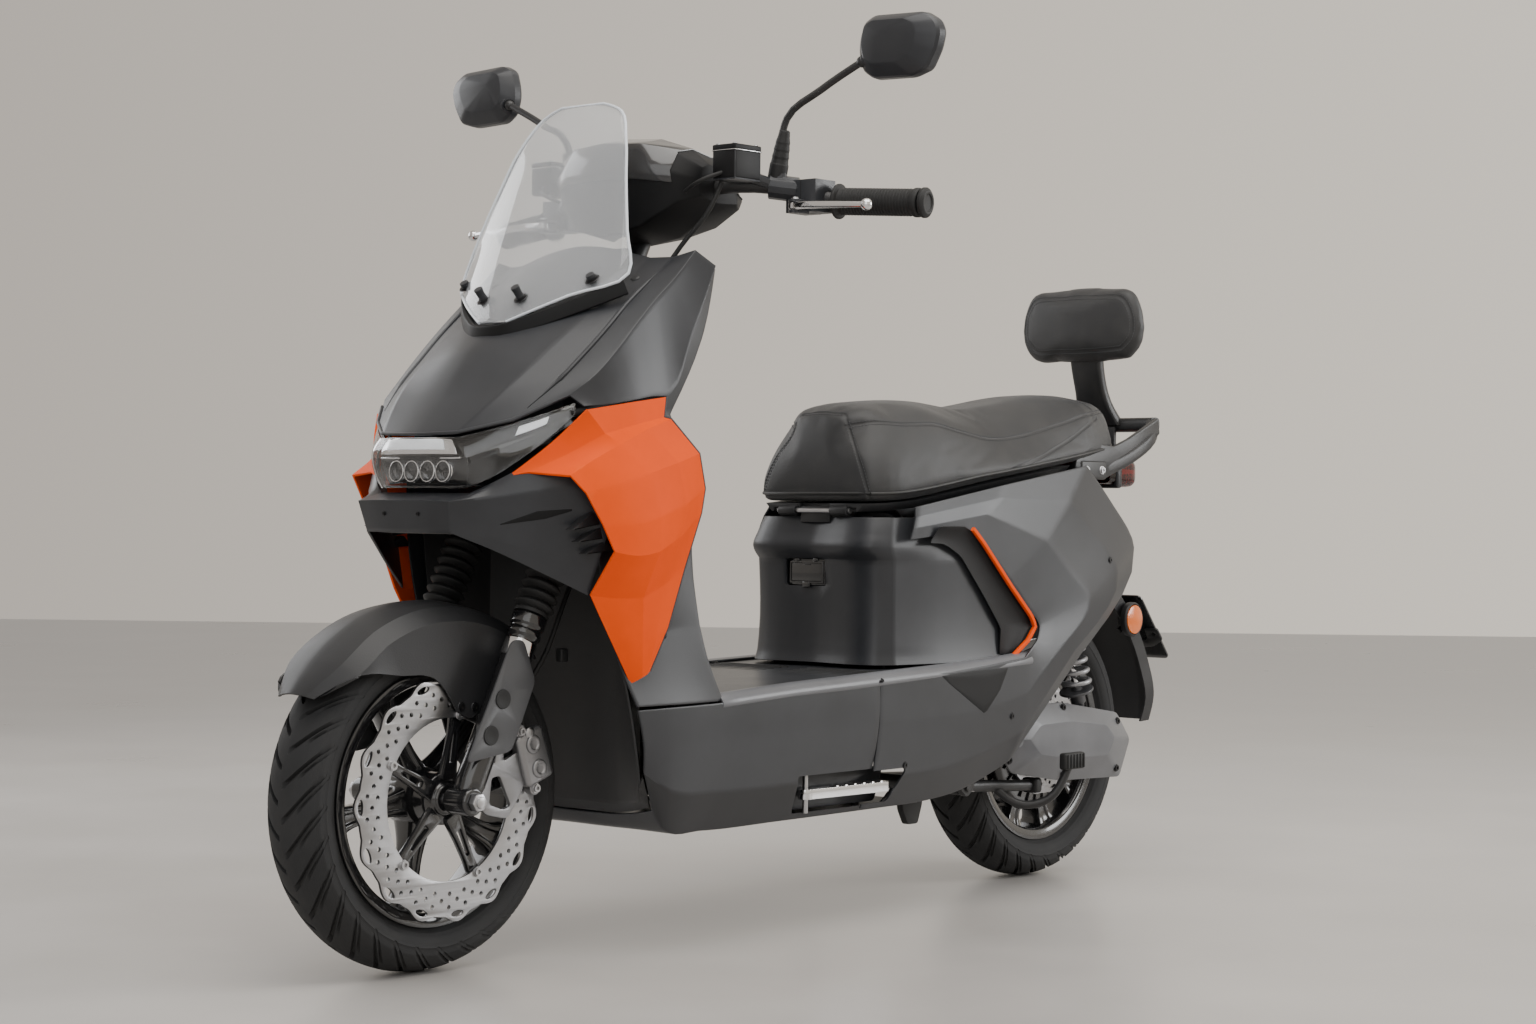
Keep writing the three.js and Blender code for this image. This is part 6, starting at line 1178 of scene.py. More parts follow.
# Wheels


class WheelSizes(bpy.types.PropertyGroup):
    tread_pitches: bpy.props.IntProperty(
        name="Tread pitches", description="How often the tread repeats round a tyre", default=32,
        min=12)
    groove_depth: bpy.props.FloatProperty(
        name="Groove depth", description="Depth of the tread grooves", default=6 * MM,
        unit="LENGTH")
    spokes: bpy.props.IntProperty(
        name="Spokes", description="Spokes of the front rim", default=5, min=3)
    disc_lobes: bpy.props.IntProperty(
        name="Disc lobes", description="Waves round the front disc's edge", default=15, min=6)
    hole_radius: bpy.props.FloatProperty(
        name="Disc hole radius", description="Radius of the disc's round holes", default=3.1 * MM,
        unit="LENGTH")


# Half a tyre's outline from the crown to the bead: shares of its half width, radii in millimetres
TYRE_HALF_SHARES = [
    (0, 224), (0.28, 222.6), (0.56, 218.4), (0.8, 211.5), (0.93, 204), (1.0, 193), (0.99, 184),
    (0.92, 175.5), (0.8, 169.5), (0.7, 165),
]
TREAD_COLUMN_SHARES = (0, .03, .18, .21, .3, .33, .44, .47, .5, .53, .68, .71, .8, .83, .94, .97)
LONG_GROOVE_SHARES = (0.06, 0.62)
SHORT_GROOVE_SHARES = (0.3, 0.68)
SLANT = 0.17
MOULDED_RINGS = ((199, 1.2), (189, 1.0), (171, 1.6))


def step_between(value, low, high, soft):
    """1 between low and high with soft ends, else 0."""
    rise = min(max((value - low) / soft + 0.5, 0), 1)
    fall = min(max((high - value) / soft + 0.5, 0), 1)
    return rise * fall


def make_tyre(name, axle, half_width, sizes, material):
    """One pitch of the tread and walls, copied round the axle."""
    half = [Vector((share * half_width, r * MM)) for share, r in TYRE_HALF_SHARES]
    side = spline(half, (0, 0.2, 0.4, 0.6, 0.8))
    line = [Vector((-p.x, p.y)) for p in reversed(side[1:])] + side
    lengths = [0.0]
    for a, b in zip(line, line[1:]):
        lengths.append(lengths[-1] + (b - a).length)
    total = lengths[-1] / 2
    pitch = 2 * math.pi / sizes.tread_pitches
    bead = line[-1]
    inner = [
        Vector((bead.x, 158.5 * MM)), Vector((bead.x - 8 * MM, 160 * MM)),
        Vector((half_width - 9 * MM, 187 * MM)), Vector((0, 213 * MM))]
    inner += [Vector((-p.x, p.y)) for p in reversed(inner[:-1])]
    columns = list(TREAD_COLUMN_SHARES) + [1.0]
    points = []
    for column, share in enumerate(columns):
        for i, place in enumerate(line):
            s = lengths[i] / total - 1
            before, after = line[max(i - 1, 0)], line[min(i + 1, len(line) - 1)]
            tangent = (after - before).normalized()
            outward = Vector((-tangent.y, tangent.x))
            if outward.y * (place.y - 190 * MM) < 0 and abs(s) < 0.5:
                outward = -outward
            long_cut = column in (1, 2) if s < 0 else column in (9, 10)
            short_cut = column in (13, 14) if s < 0 else column in (5, 6)
            depth = 0.0
            if long_cut:
                depth += step_between(abs(s), *LONG_GROOVE_SHARES, 0.05)
            if short_cut:
                depth += 0.7 * step_between(abs(s), *SHORT_GROOVE_SHARES, 0.05)
            radius = place.y - depth * sizes.groove_depth
            across = place.x
            for ring, width in MOULDED_RINGS:
                if abs(s) > 0.45:
                    across += math.copysign(0.9 * MM, place.x) * step_between(
                        place.y / MM, ring - width, ring + width, 1.2)
            shift = SLANT * (min(abs(s), 0.7) ** 1.3) * 3.2
            angle = share * pitch + shift
            points.append(Vector((radius * math.cos(angle), across, radius * math.sin(angle))))
        for place in inner:
            shift = SLANT * (0.7 ** 1.3) * 3.2
            angle = share * pitch + shift
            points.append(Vector((place.y * math.cos(angle), place.x, place.y * math.sin(angle))))
    rows = len(line) + len(inner)
    faces = []
    for column in range(len(columns) - 1):
        for i in range(rows):
            after = (i + 1) % rows
            one, two = column * rows, (column + 1) * rows
            faces.append((one + i, one + after, two + after, two + i))
    wedge = settled(mesh_piece(name, points, faces, outward=False), Matrix.Translation(axle))
    tyre = ringed(wedge, sizes.tread_pitches, axle, material)
    outwards(tyre)
    return soften(tyre, ROUND_TURN)


def outwards(piece):
    shape = bmesh.new()
    shape.from_mesh(piece.data)
    bmesh.ops.recalc_face_normals(shape, faces=shape.faces)
    shape.to_mesh(piece.data)
    shape.free()
    return piece


# A rim's closed outline as (radius, y) in millimetres, between the tyre's beads
RIM_OUTLINE = [
    (158, 33), (164.6, 33), (165.4, 38), (160, 38.4), (150, 36), (146.4, 30), (145.4, 12),
    (145.2, 0),
    (145.4, -12), (146.4, -30), (150, -36), (160, -38.4), (165.4, -38), (164.6, -33), (158, -33),
    (151, -16), (151, 16),
]


def in_metres(pairs):
    return [(a * MM, b * MM) for a, b in pairs]


def make_spoke(name, axle, stations, angle, slot=0.34):
    """A broad cast spoke, sunk in the middle: stations are (radius, width, depth, y)."""
    sections = []
    for radius, width, depth, y in stations:
        half, deep = width / 2 * MM, depth / 2 * MM
        sink = min(3.2 * MM, deep * 0.3)
        ring = [
            (-half, -deep * 0.5), (-half * 0.86, -deep), (-half * slot - 2 * MM, -deep),
            (-half * slot, -deep + sink), (half * slot, -deep + sink),
            (half * slot + 2 * MM, -deep),
            (half * 0.86, -deep), (half, -deep * 0.5), (half, deep * 0.5), (half * 0.86, deep),
            (half * slot + 2 * MM, deep), (half * slot, deep - sink), (-half * slot, deep - sink),
            (-half * slot - 2 * MM, deep), (-half * 0.86, deep), (-half, deep * 0.5)]
        sections.append([Vector((radius * MM, y * MM + b, a)) for a, b in ring])
    smooth = [spline([ring[i] for ring in sections], (0, 0.34, 0.67)) for i in range(16)]
    rings = [[line[k] for line in smooth] for k in range(len(smooth[0]))]
    piece = lofted(name, rings, angle=30.0)
    piece = bevelled(piece, 0.9 * MM, 2, 35.0)
    return settled(piece, Matrix.Translation(axle) @ Matrix.Rotation(angle, 4, "Y"))


FRONT_SPOKE_STATIONS = [
    (28, 44, 40, 0), (38, 38, 36, 0), (62, 29, 28, 0), (100, 27, 24, 0), (128, 34, 26, 0),
    (147.5, 54, 34, 0)]
REAR_SPOKE_STATIONS = [(108, 34, 44, 0), (120, 28, 36, 0), (134, 32, 36, 0), (147.5, 46, 44, 0)]
FRONT_HUB_OUTLINE = [
    (8, 57.4), (20, 57.4), (22, 54), (33, 52), (34, 46), (34, 30), (38, 22), (40, 0), (38, -22),
    (34, -28),
    (32, -35), (20, -36), (8, -36)]
DISC_PLANE = 60 * MM


def front_rim_piece(sizes):
    rim = lathed("rim", in_metres(filleted(RIM_OUTLINE, 2.0, closed=True)), FRONT_AXLE, 120)
    hub = lathed("hub", in_metres(filleted(FRONT_HUB_OUTLINE, 2.0, closed=True)), FRONT_AXLE, 64)
    one = make_spoke("spoke", FRONT_AXLE, FRONT_SPOKE_STATIONS, 0.0)
    spokes = ringed(one, sizes.spokes, FRONT_AXLE, FINISH["gloss black paint"], math.radians(9))
    arm = [(24, -13), (60, -9), (88, -7.5), (106, -8.5), (112, -4), (112, 4), (106, 8.5), (88, 7.5),
           (60, 9), (24, 13)]
    outline = in_metres(filleted(arm, 4.0, closed=True))
    hole = in_metres(filleted([(46, -4.2), (84, -2.8), (84, 2.8), (46, 4.2)], 2.0, closed=True))
    carrier = flat_plate("carrier", [outline, hole], 9 * MM, beside(FRONT_AXLE + LEFT * 52.8 * MM),
                         0.8 * MM)
    arms = ringed(carrier, sizes.spokes, FRONT_AXLE, FINISH["gloss black paint"], math.radians(45))
    cap = lathed("cap", in_metres(filleted(
        [(8, 59.2), (17, 59.2), (19, 57.5), (19, 55), (8, 55)], 0.8, closed=True)), FRONT_AXLE, 48)
    for piece in (rim, hub, cap):
        coloured(piece, FINISH["gloss black paint"])
    return merged("front_rim_cast", rim, hub, spokes, arms, cap)


def wave_outline(radius, rise, lobes, steps=14):
    line = []
    for i in range(lobes * steps):
        angle = 2 * math.pi * i / (lobes * steps)
        wave = max(math.cos(lobes * angle), -0.55)
        reach = radius - rise * (1 - wave) / 1.55
        line.append((reach * math.cos(angle), reach * math.sin(angle)))
    return line


def oval(centre_radius, angle, length, width, sides=14):
    line = []
    for i in range(sides):
        turn = 2 * math.pi * i / sides
        along_rim = length / 2 * math.cos(turn)
        out = width / 2 * math.sin(turn)
        radius, bearing = centre_radius + out, angle + along_rim / centre_radius
        line.append((radius * math.cos(bearing), radius * math.sin(bearing)))
    return line


def drilled_disc(name, axle, plane, outline, bore, slots, hole_rings, hole_radius, thickness,
                 material):
    plate = flat_plate(name, [outline, circle(bore, 72)] + slots, thickness,
                       beside(axle + LEFT * plane), 0.35 * MM)
    marks = []
    for radius, count, start in hole_rings:
        for i in range(count):
            angle = 2 * math.pi * i / count + start
            marks.append(axle + Vector((radius * math.cos(angle), plane, radius * math.sin(angle))))
    drill = dots("drill marks", marks)
    plate = TREES["drill"].on(plate, {
        "Drill": drill, "Hole Radius": hole_radius, "Depth": 4 * thickness, "Material": material},
                              30.0)
    bpy.data.objects.remove(drill)
    return plate


class SCOOTER_OT_front_wheel(bpy.types.Operator):
    """Make the front tyre, the cast rim, the wave disc and its bolts"""
    bl_idname = "scooter.front_wheel"
    bl_label = "Front wheel"

    def execute(self, context):
        sizes = context.scene.scooter_wheels
        tyre = make_tyre("front_tyre_tread", FRONT_AXLE, 47 * MM, sizes,
                         FINISH["front tyre rubber"])
        finished(tyre, "front_wheel", FINISH["front tyre rubber"], ["front_tyre"])
        finished(front_rim_piece(sizes), "front_wheel", None, ["front_rim"])
        lobes = sizes.disc_lobes
        slots = [oval(147 * MM, 2 * math.pi * i / lobes, 21 * MM, 8.4 * MM) for i in range(lobes)]
        rings = [(137 * MM, lobes * 2, 0.1), (128.5 * MM, lobes * 2, 0.2),
                 (120 * MM, lobes * 2, 0.3)]
        disc = drilled_disc(
            "front_disc_plate", FRONT_AXLE, DISC_PLANE, wave_outline(157 * MM, 8 * MM, lobes),
            104 * MM,
            slots, rings, sizes.hole_radius, 4 * MM, FINISH["front disc steel"])
        finished(disc, "front_wheel", None, ["front_disc"])
        places = []
        for i in range(sizes.spokes):
            angle = math.radians(45) + 2 * math.pi * i / sizes.spokes
            places.append(FRONT_AXLE + Vector((108 * MM * math.cos(angle), DISC_PLANE + 2 * MM,
                                               -108 * MM * math.sin(angle))))
        bolts("front_disc_bolts", places, [LEFT] * len(places), "front_wheel", 5.5 * MM, 4 * MM,
              7 * MM)
        valve_place = FRONT_AXLE + Vector((0, 0, 146 * MM))
        valve = tube("front_valve", [
            valve_place, valve_place + Vector((0, 8 * MM, -12 * MM)),
            valve_place + Vector((0, 20 * MM, -20 * MM))],
                     3 * MM, 10)
        finished(valve, "front_wheel", FINISH["soft rubber"])
        return {"FINISHED"}


# Fork, in its own frame: origin on the axle, z up along the legs


class ForkSizes(bpy.types.PropertyGroup):
    leg_spread: bpy.props.FloatProperty(
        name="Half leg spread", description="From the middle to a leg", default=88 * MM,
        unit="LENGTH")
    slider_radius: bpy.props.FloatProperty(
        name="Slider radius", description="Radius of the lower legs", default=20 * MM,
        unit="LENGTH")
    slider_length: bpy.props.FloatProperty(
        name="Slider length", description="From the axle to the slider's top", default=258 * MM,
        unit="LENGTH")
    gaiter_length: bpy.props.FloatProperty(
        name="Gaiter length", description="Length of the rubber bellows", default=140 * MM,
        unit="LENGTH")
    gaiter_ribs: bpy.props.IntProperty(
        name="Gaiter ribs", description="Ribs of a rubber bellows", default=9, min=4)


GUARD_SHARES = [
    (0.138, 0.147), (0.138, 0.806), (0.065, 0.843), (-0.102, 0.691), (-0.11, 0.405),
    (-0.108, 0.314)]
GUARD_HOLE_SHARES = [(0.062, 0.522), (0.055, 0.331)]


def leg_frame(sizes, side=1):
    return FORK @ Matrix.Translation((0, sizes.leg_spread * side, 0))


def slider_piece(sizes):
    radius, length = sizes.slider_radius / MM, sizes.slider_length / MM
    outline = [
        (0, 6), (13, 6), (17, 10), (radius, 24), (radius, length - 34), (radius + 2.4, length - 29),
        (radius + 2.4, length - 24), (radius + 0.6, length - 22), (radius + 0.6, length - 18),
        (radius + 3, length - 15), (radius + 3, length - 2), (radius + 1, length), (15.4, length),
        (15.4, 80), (0, 80)]
    tube_part = upright(in_metres(filleted(outline, 1.2)), "slider", leg_frame(sizes), 48,
                        closed=False)
    boss = lathed("boss", in_metres(filleted(
        [(8, -21), (16, -21), (18, -18), (18, 18), (16, 21), (8, 21)], 1.5, closed=True)), Vector(),
                  48)
    settled(boss, leg_frame(sizes))
    pinch = rounded_box("pinch", Vector((-20 * MM, 0, 4 * MM)), (18 * MM, 22 * MM, 15 * MM), 3 * MM)
    settled(pinch, leg_frame(sizes))
    for piece in (tube_part, boss, pinch):
        coloured(piece, FINISH["gloss black paint"])
    return merged("fork_leg_left", tube_part, boss, pinch)


def guard_piece(sizes):
    length = sizes.slider_length
    outline = [(u * length, v * length) for u, v in GUARD_SHARES]
    outline = filleted(outline, 9 * MM, 5, closed=True)
    holes = [circle(9.6 * MM, 24, (u * length, v * length)) for u, v in GUARD_HOLE_SHARES]
    y = sizes.slider_radius + 1.2 * MM
    return flat_plate("fork_guard_left", [outline] + holes, 3 * MM,
                      leg_frame(sizes) @ beside(Vector((0, y, 0))), 0.9 * MM)


class SCOOTER_OT_fork(bpy.types.Operator):
    """Make the fork's sliders with guards, the bellows, the crown and the axle"""
    bl_idname = "scooter.fork"
    bl_label = "Fork"

    def execute(self, context):
        sizes = context.scene.scooter_fork
        leg = slider_piece(sizes)
        guard = coloured(guard_piece(sizes), FINISH["guard grey"])
        plugs = []
        for u, v in GUARD_HOLE_SHARES:
            place = Vector((u * sizes.slider_length, 0, v * sizes.slider_length))
            plug = lathed("plug", in_metres(filleted(
                [(0, 17), (9, 17), (9, 20.5), (12.6, 22.9), (12.4, 24.1), (6, 23.2), (0, 22.6)],
                0.6)),
                          Vector(), 32, closed=False)
            plugs.append(coloured(settled(plug, leg_frame(sizes) @ Matrix.Translation(place)),
                                  FINISH["soft rubber"]))
        leg = merged("fork_leg_left", leg, guard, *plugs)
        soften(leg, CAST_TURN)
        finished(mirrored(leg, "fork_leg_right"), "fork_lowers", None,
                 ["fork_slider_right"])
        finished(leg, "fork_lowers", None, ["fork_slider_left"])
        length = sizes.slider_length / MM
        for side, label in NAMED_SIDES:
            matrix = leg_frame(sizes, side)
            band = upright(in_metres(filleted(
                [(20.2, length - 62), (21.6, length - 60), (21.6, length - 38),
                 (20.2, length - 36)], 0.6,
                closed=True)), "fork_band_" + label, matrix, 48)
            finished(band, "fork_lowers", FINISH["polished metal"])
            ribs, start, span = sizes.gaiter_ribs, sizes.slider_length, sizes.gaiter_length
            pitch = (span - 16 * MM) / ribs
            outline = [(17.4 * MM, start + 0.6 * MM), (23 * MM, start + 0.6 * MM),
                       (23.4 * MM, start + 5 * MM)]
            for i in range(ribs):
                foot = start + 7 * MM + i * pitch
                for t in (0, 0.14, 0.36, 0.5, 0.64, 0.86):
                    swell = 0.5 - 0.5 * math.cos(2 * math.pi * t)
                    outline.append(((19.6 + 7.2 * swell ** 0.8) * MM, foot + t * pitch))
            top = start + span
            outline += [(21.2 * MM, top - 9 * MM), (23.4 * MM, top - 6 * MM),
                        (23 * MM, top - 0.8 * MM),
                        (17.4 * MM, top - 0.8 * MM)]
            bellows = upright(outline, "gaiter_bellows_" + label, matrix, 40, angle=60.0)
            finished(bellows, "steering", FINISH["soft rubber"], ["gaiter_" + label])
            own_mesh(bellows)
        axle = bevelled(cad_copy("front_axle", "front_axle_nuts"), 0.7 * MM, 2)
        finished(axle, "fork_lowers", FINISH["bolt steel"], ["front_axle"])
        crown = bevelled(cad_copy("steering_stem", "steering_crown"), 1.6 * MM, 2)
        finished(crown, "steering", FINISH["black frame paint"],
                 ["steering_stem"])
        return {"FINISHED"}


# Front brake


BRACKET_OUTLINE = [
    (-22, 20), (-47, 82), (-104, 94), (-126, 57), (-116, 6), (-88, -31), (-47, -22)]
BRACKET_HOLES = [
    [(-50, 62), (-74, 76), (-64, 40)], [(-84, 78), (-104, 78), (-112, 58), (-80, 44)],
    [(-60, 24), (-74, 26), (-94, -14), (-80, -18), (-56, -10)]]
CALIPER_ANGLE = math.radians(160)


def in_caliper(x, y, z):
    """A place given as reach from the axle, y and height along the rim, in millimetres."""
    turn = Matrix.Rotation(-CALIPER_ANGLE, 4, "Y")
    return FRONT_AXLE + turn @ (Vector((x, y, z)) * MM)


class SCOOTER_OT_front_brake(bpy.types.Operator):
    """Make the front caliper on its bracket and the brake hose"""
    bl_idname = "scooter.front_brake"
    bl_label = "Front brake"

    def execute(self, context):
        turn = Matrix.Rotation(-CALIPER_ANGLE, 4, "Y")
        outline = in_metres(filleted(BRACKET_OUTLINE, 9.0, 4, closed=True))
        holes = [in_metres(filleted(hole, 5.0, 4, closed=True)) for hole in BRACKET_HOLES]
        bracket = flat_plate("bracket", [outline] + holes, 6 * MM,
                             beside(FRONT_AXLE + LEFT * 73.4 * MM), 1.1 * MM)
        coloured(bracket, FINISH["silver cast"])
        parts = [bracket]

        def lump(x, y, z, size, edge=4):
            block = rounded_box("lump", Vector(), Vector(size) * MM, edge * MM, 4)
            parts.append(coloured(settled(block, Matrix.Translation(in_caliper(x, y, z)) @ turn),
                                  FINISH["silver cast"]))

        lump(140, 74, 0, (50, 20, 72), 7)
        lump(140, 52.6, 0, (46, 12, 58), 5)
        lump(163.4, 63, 0, (6, 34, 50), 2.4)
        for z in (-17, 17):
            cup = lathed("cup", in_metres(filleted(
                [(0, 80), (12.5, 80), (12.5, 85.4), (10.5, 87), (7, 87), (6, 85.6), (0, 85.6)],
                0.9)),
                         Vector(), 36, closed=False)
            parts.append(coloured(settled(cup, Matrix.Translation(in_caliper(140, 0, z))),
                                  FINISH["silver cast"]))
        for z in (-40, 40):
            ear = lathed("ear", in_metres(filleted(
                [(4, 68), (9, 68), (9, 80), (4, 80)], 1.2, closed=True)), Vector(), 32)
            parts.append(coloured(settled(ear, Matrix.Translation(in_caliper(128, 0, z))),
                                  FINISH["silver cast"]))
        whole = soften(merged("front_caliper_cast", *parts), CAST_TURN)
        finished(whole, "fork_lowers", None, ["front_caliper"])
        places = [in_caliper(128, 80, z) for z in (-40, 40)] + [
            FRONT_AXLE + Vector((-43, 76.4, 24)) * MM, FRONT_AXLE + Vector((-60, 76.4, 74)) * MM]
        bolts("caliper_bolts", places, [LEFT] * 4, "fork_lowers", 5 * MM, 5 * MM, 7 * MM)
        route = [spot(*p) for p in HOSE_PLACES]
        route += [in_caliper(140, 74, -37.8 - 21), in_caliper(140, 74, -37.8)]
        hose = tube("brake_hose_line", route, 3.3 * MM, 12, (0, 0.2, 0.4, 0.6, 0.8))
        coloured(hose, FINISH["soft rubber"])
        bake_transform(hose)
        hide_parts("brake_hose")
        banjo = lathed("banjo", in_metres(filleted(
            [(0, -6), (8, -6), (8, 6), (5, 8), (0, 8)], 1.0)), Vector(), 24, closed=False)
        settled(banjo, Matrix.Translation(in_caliper(140, 78, -33)))
        banjo.name = "brake_hose_banjo"
        finished(banjo, "fork_lowers", FINISH["bolt steel"])
        clip_place = at_side(562, 655, 0.08)
        clip = rounded_box("hose_clip", clip_place, (14 * MM, 12 * MM, 18 * MM), 2.5 * MM)
        finished(clip, "steering", FINISH["soft rubber"])
        return {"FINISHED"}


HOSE_PLACES = [
    (26.6, 16.2, 103.62), (27.6, 15, 100), (29.4, 11.4, 95), (32.6, 8.4, 88), (37.2, 7, 78),
    (40.8, 7, 66),
    (41.6, 7.2, 60), (43.6, 7.6, 54), (47.2, 8, 48), (50.6, 8, 41),
]


# Front mudguard

FENDER_ANGLES = (34, 46, 62, 78, 94, 106, 118, 130)
FENDER_EDGE_SHARES = (0.99, 0.9, 0.72, 0.63, 0.44, 0.42, 0.72, 0.9)


def fender_grid():
    crown, flank = 252 * MM, 67.6 * MM
    rows = []
    for i, (degrees, edge) in enumerate(zip(FENDER_ANGLES, FENDER_EDGE_SHARES)):
        angle = math.radians(degrees)
        narrow = 0.5 if i == 0 else 1
        corners = [
            (flank * narrow, crown * edge),
            (flank * narrow * 0.99, crown * (0.9 + 0.09 * (1 - narrow))),
            (flank * narrow * 0.72, crown * 0.97), (flank * narrow * 0.3, crown * 0.992),
            (0, crown)]
        if i == 0:
            corners = [(flank * y, crown * r) for y, r in ((0.5, 0.955), (0.46, 0.965),
                                                           (0.34, 0.98), (0.16, 0.994), (0, 1))]
        left = [FRONT_AXLE + Vector((r * math.cos(angle), y, r * math.sin(angle)))
                for y, r in corners]
        rows.append(left + [Vector((p.x, -p.y, p.z)) for p in reversed(left[:-1])])
    return rows


class SCOOTER_OT_front_fender(bpy.types.Operator):
    """Make the creased front mudguard"""
    bl_idname = "scooter.front_fender"
    bl_label = "Front mudguard"

    def execute(self, context):
        grid = refined(fender_grid(), sharp_columns=(1, 2, 6, 7), sharp_rows=(4,))
        fender = soften(skin("front_fender_shell", grid, FRONT_AXLE), FACET_TURN)
        finished(fender, "fork_lowers", FINISH["matt dark plastic"],
                 ["front_fender"])
        places, ways = [], []
        for side in BOTH_SIDES:
            for degrees, radius in ((97, 118), (108, 122)):
                angle = math.radians(degrees)
                places.append(FRONT_AXLE + Vector((
                    radius * MM * math.cos(angle), side * 67.8 * MM,
                    radius * MM * math.sin(angle))))
                ways.append(LEFT * side)
        bolts("front_fender_bolts", places, ways, "fork_lowers", 4.5 * MM, 2.4 * MM, 6.5 * MM,
              "dark bolt")
        return {"FINISHED"}


# Front bodywork, as half sections from the side edge to the middle, in centimetres


class PanelSizes(bpy.types.PropertyGroup):
    wall: bpy.props.FloatProperty(
        name="Panel wall", description="Thickness of the moulded panels", default=3 * MM,
        unit="LENGTH")
    seam: bpy.props.FloatProperty(
        name="Seam", description="Gap between neighbouring panels", default=0.8 * MM, unit="LENGTH")
    edge: bpy.props.FloatProperty(
        name="Edge radius", description="Rounding along a panel's edges", default=0.9 * MM,
        unit="LENGTH")


HOOD_ROWS = [
    [(55.3, 19, 72.4), (56.6, 17.6, 73.8), (61.8, 12.8, 70.6), (66, 7.2, 69), (66.8, 0, 68.8)],
    [(51.2, 19.9, 72.8), (53, 18.8, 76.6), (56, 15, 75.7), (60.3, 10.1, 74.7), (62.5, 0, 73.5)],
    [(47, 20.3, 73.5), (49.1, 19.2, 80.3), (52, 15.5, 79.2), (55.5, 11.2, 78.7), (57.3, 0, 79.8)],
    [(44, 20.3, 74), (45.2, 19.1, 84.1), (47.8, 15.8, 83), (50.9, 11.9, 82.5), (52, 0, 84.2)],
    [(41.2, 20.3, 74.2), (42, 19, 87), (44, 15.7, 86.4), (45.8, 12.3, 86.3), (46.2, 0, 89)],
    [(36.5, 20.3, 82.5), (38.2, 19, 90.2), (40, 15.7, 89.5), (41, 12.4, 89.7), (41.5, 0, 92.5)],
    [(31.8, 20.1, 91.8), (34.5, 18.8, 93.8), (35.2, 15.5, 93), (36.2, 12.2, 93), (37, 0, 95)],
]
CHIN_ROWS = [
    [(56.6, 19, 70.8), (60, 15.5, 66), (63.4, 11.2, 62.8), (65, 8.4, 61.3), (65.5, 5, 61.3),
     (65.5, 0, 61.3)],
    [(54.5, 20, 62.5), (60, 16.5, 61.8), (65, 11.2, 60.8), (68.8, 8.6, 60.2), (69.3, 5, 60.3),
     (69.4, 0, 60.3)],
    [(52.2, 20.3, 56), (59, 15, 54), (64, 11.2, 55.6), (68, 7.9, 56.6), (68.5, 4.8, 56.6),
     (68.6, 0, 56.6)],
    [(53.1, 17.8, 48.3), (58.3, 14.6, 51.2), (63.4, 11.2, 54), (67.8, 8, 56.2), (68.3, 4.7, 56.2),
     (68.4, 0, 56.2)],
]
LENS_ROWS = [
    [(55.8, 18, 72.9), (58.6, 15.8, 71.6), (62.2, 12.4, 70), (66.2, 7.2, 68.4), (67.2, 4, 68.4),
     (67.3, 0, 68.4)],
    [(56, 18.2, 72.4), (59.2, 15.8, 70.2), (63, 12.2, 68.2), (66.4, 8.8, 66.2), (67.5, 4.2, 66.2),
     (67.6, 0, 66.2)],
    [(56.1, 18.3, 71.9), (59.8, 15.4, 68.6), (63.4, 11.8, 66.2), (66, 8.8, 64), (67.1, 4.2, 64),
     (67.2, 0, 64)],
    [(56.3, 18.4, 71.3), (60.6, 14.6, 66.4), (64, 10.6, 63), (65.4, 8, 61.8), (66.1, 4.1, 61.8),
     (66.2, 0, 61.8)],
]
FAIRING_ROWS = [
    [(62.5, 12.5, 63.4), (58.9, 17.1, 68), (55.8, 20, 72), (48, 20.4, 73.2), (41.4, 20.3, 74.1)],
    [(61.2, 15, 64), (57.5, 18.5, 66.4), (53, 20.5, 69), (47.5, 20.7, 70.3), (42.1, 20.6, 71.4)],
    [(59.5, 20.8, 63.6), (56, 21.2, 65.5), (51, 21.4, 67.7), (46, 21.2, 69.7), (41, 20.8, 71.2)],
    [(57.5, 21.7, 61.4), (53, 22.4, 62.5), (47, 22.6, 64), (41, 22.2, 65.5), (35.5, 20.8, 66.8)],
    [(55, 22.2, 57.5), (50, 23, 57.5), (45, 23, 58.5), (39.5, 22.2, 60), (33.8, 20.3, 62.2)],
    [(53, 22.4, 54), (49, 22.9, 53.5), (45, 22.8, 54), (40, 21.9, 56), (34.5, 20.3, 59)],
    [(53.7, 18.8, 48.4), (50, 20, 48), (46, 20.8, 48), (42, 20.5, 49.5), (37.2, 20, 52)],
    [(50, 18.9, 42.5), (47.8, 19.8, 42.5), (45.5, 20.3, 42.5), (43, 20.4, 43), (40.5, 20.1, 44)],
    [(46.2, 18.8, 36.8), (45.5, 19.3, 37.2), (44.9, 19.7, 37.6), (44.2, 19.9, 38),
     (43.6, 19.9, 38.5)],
]
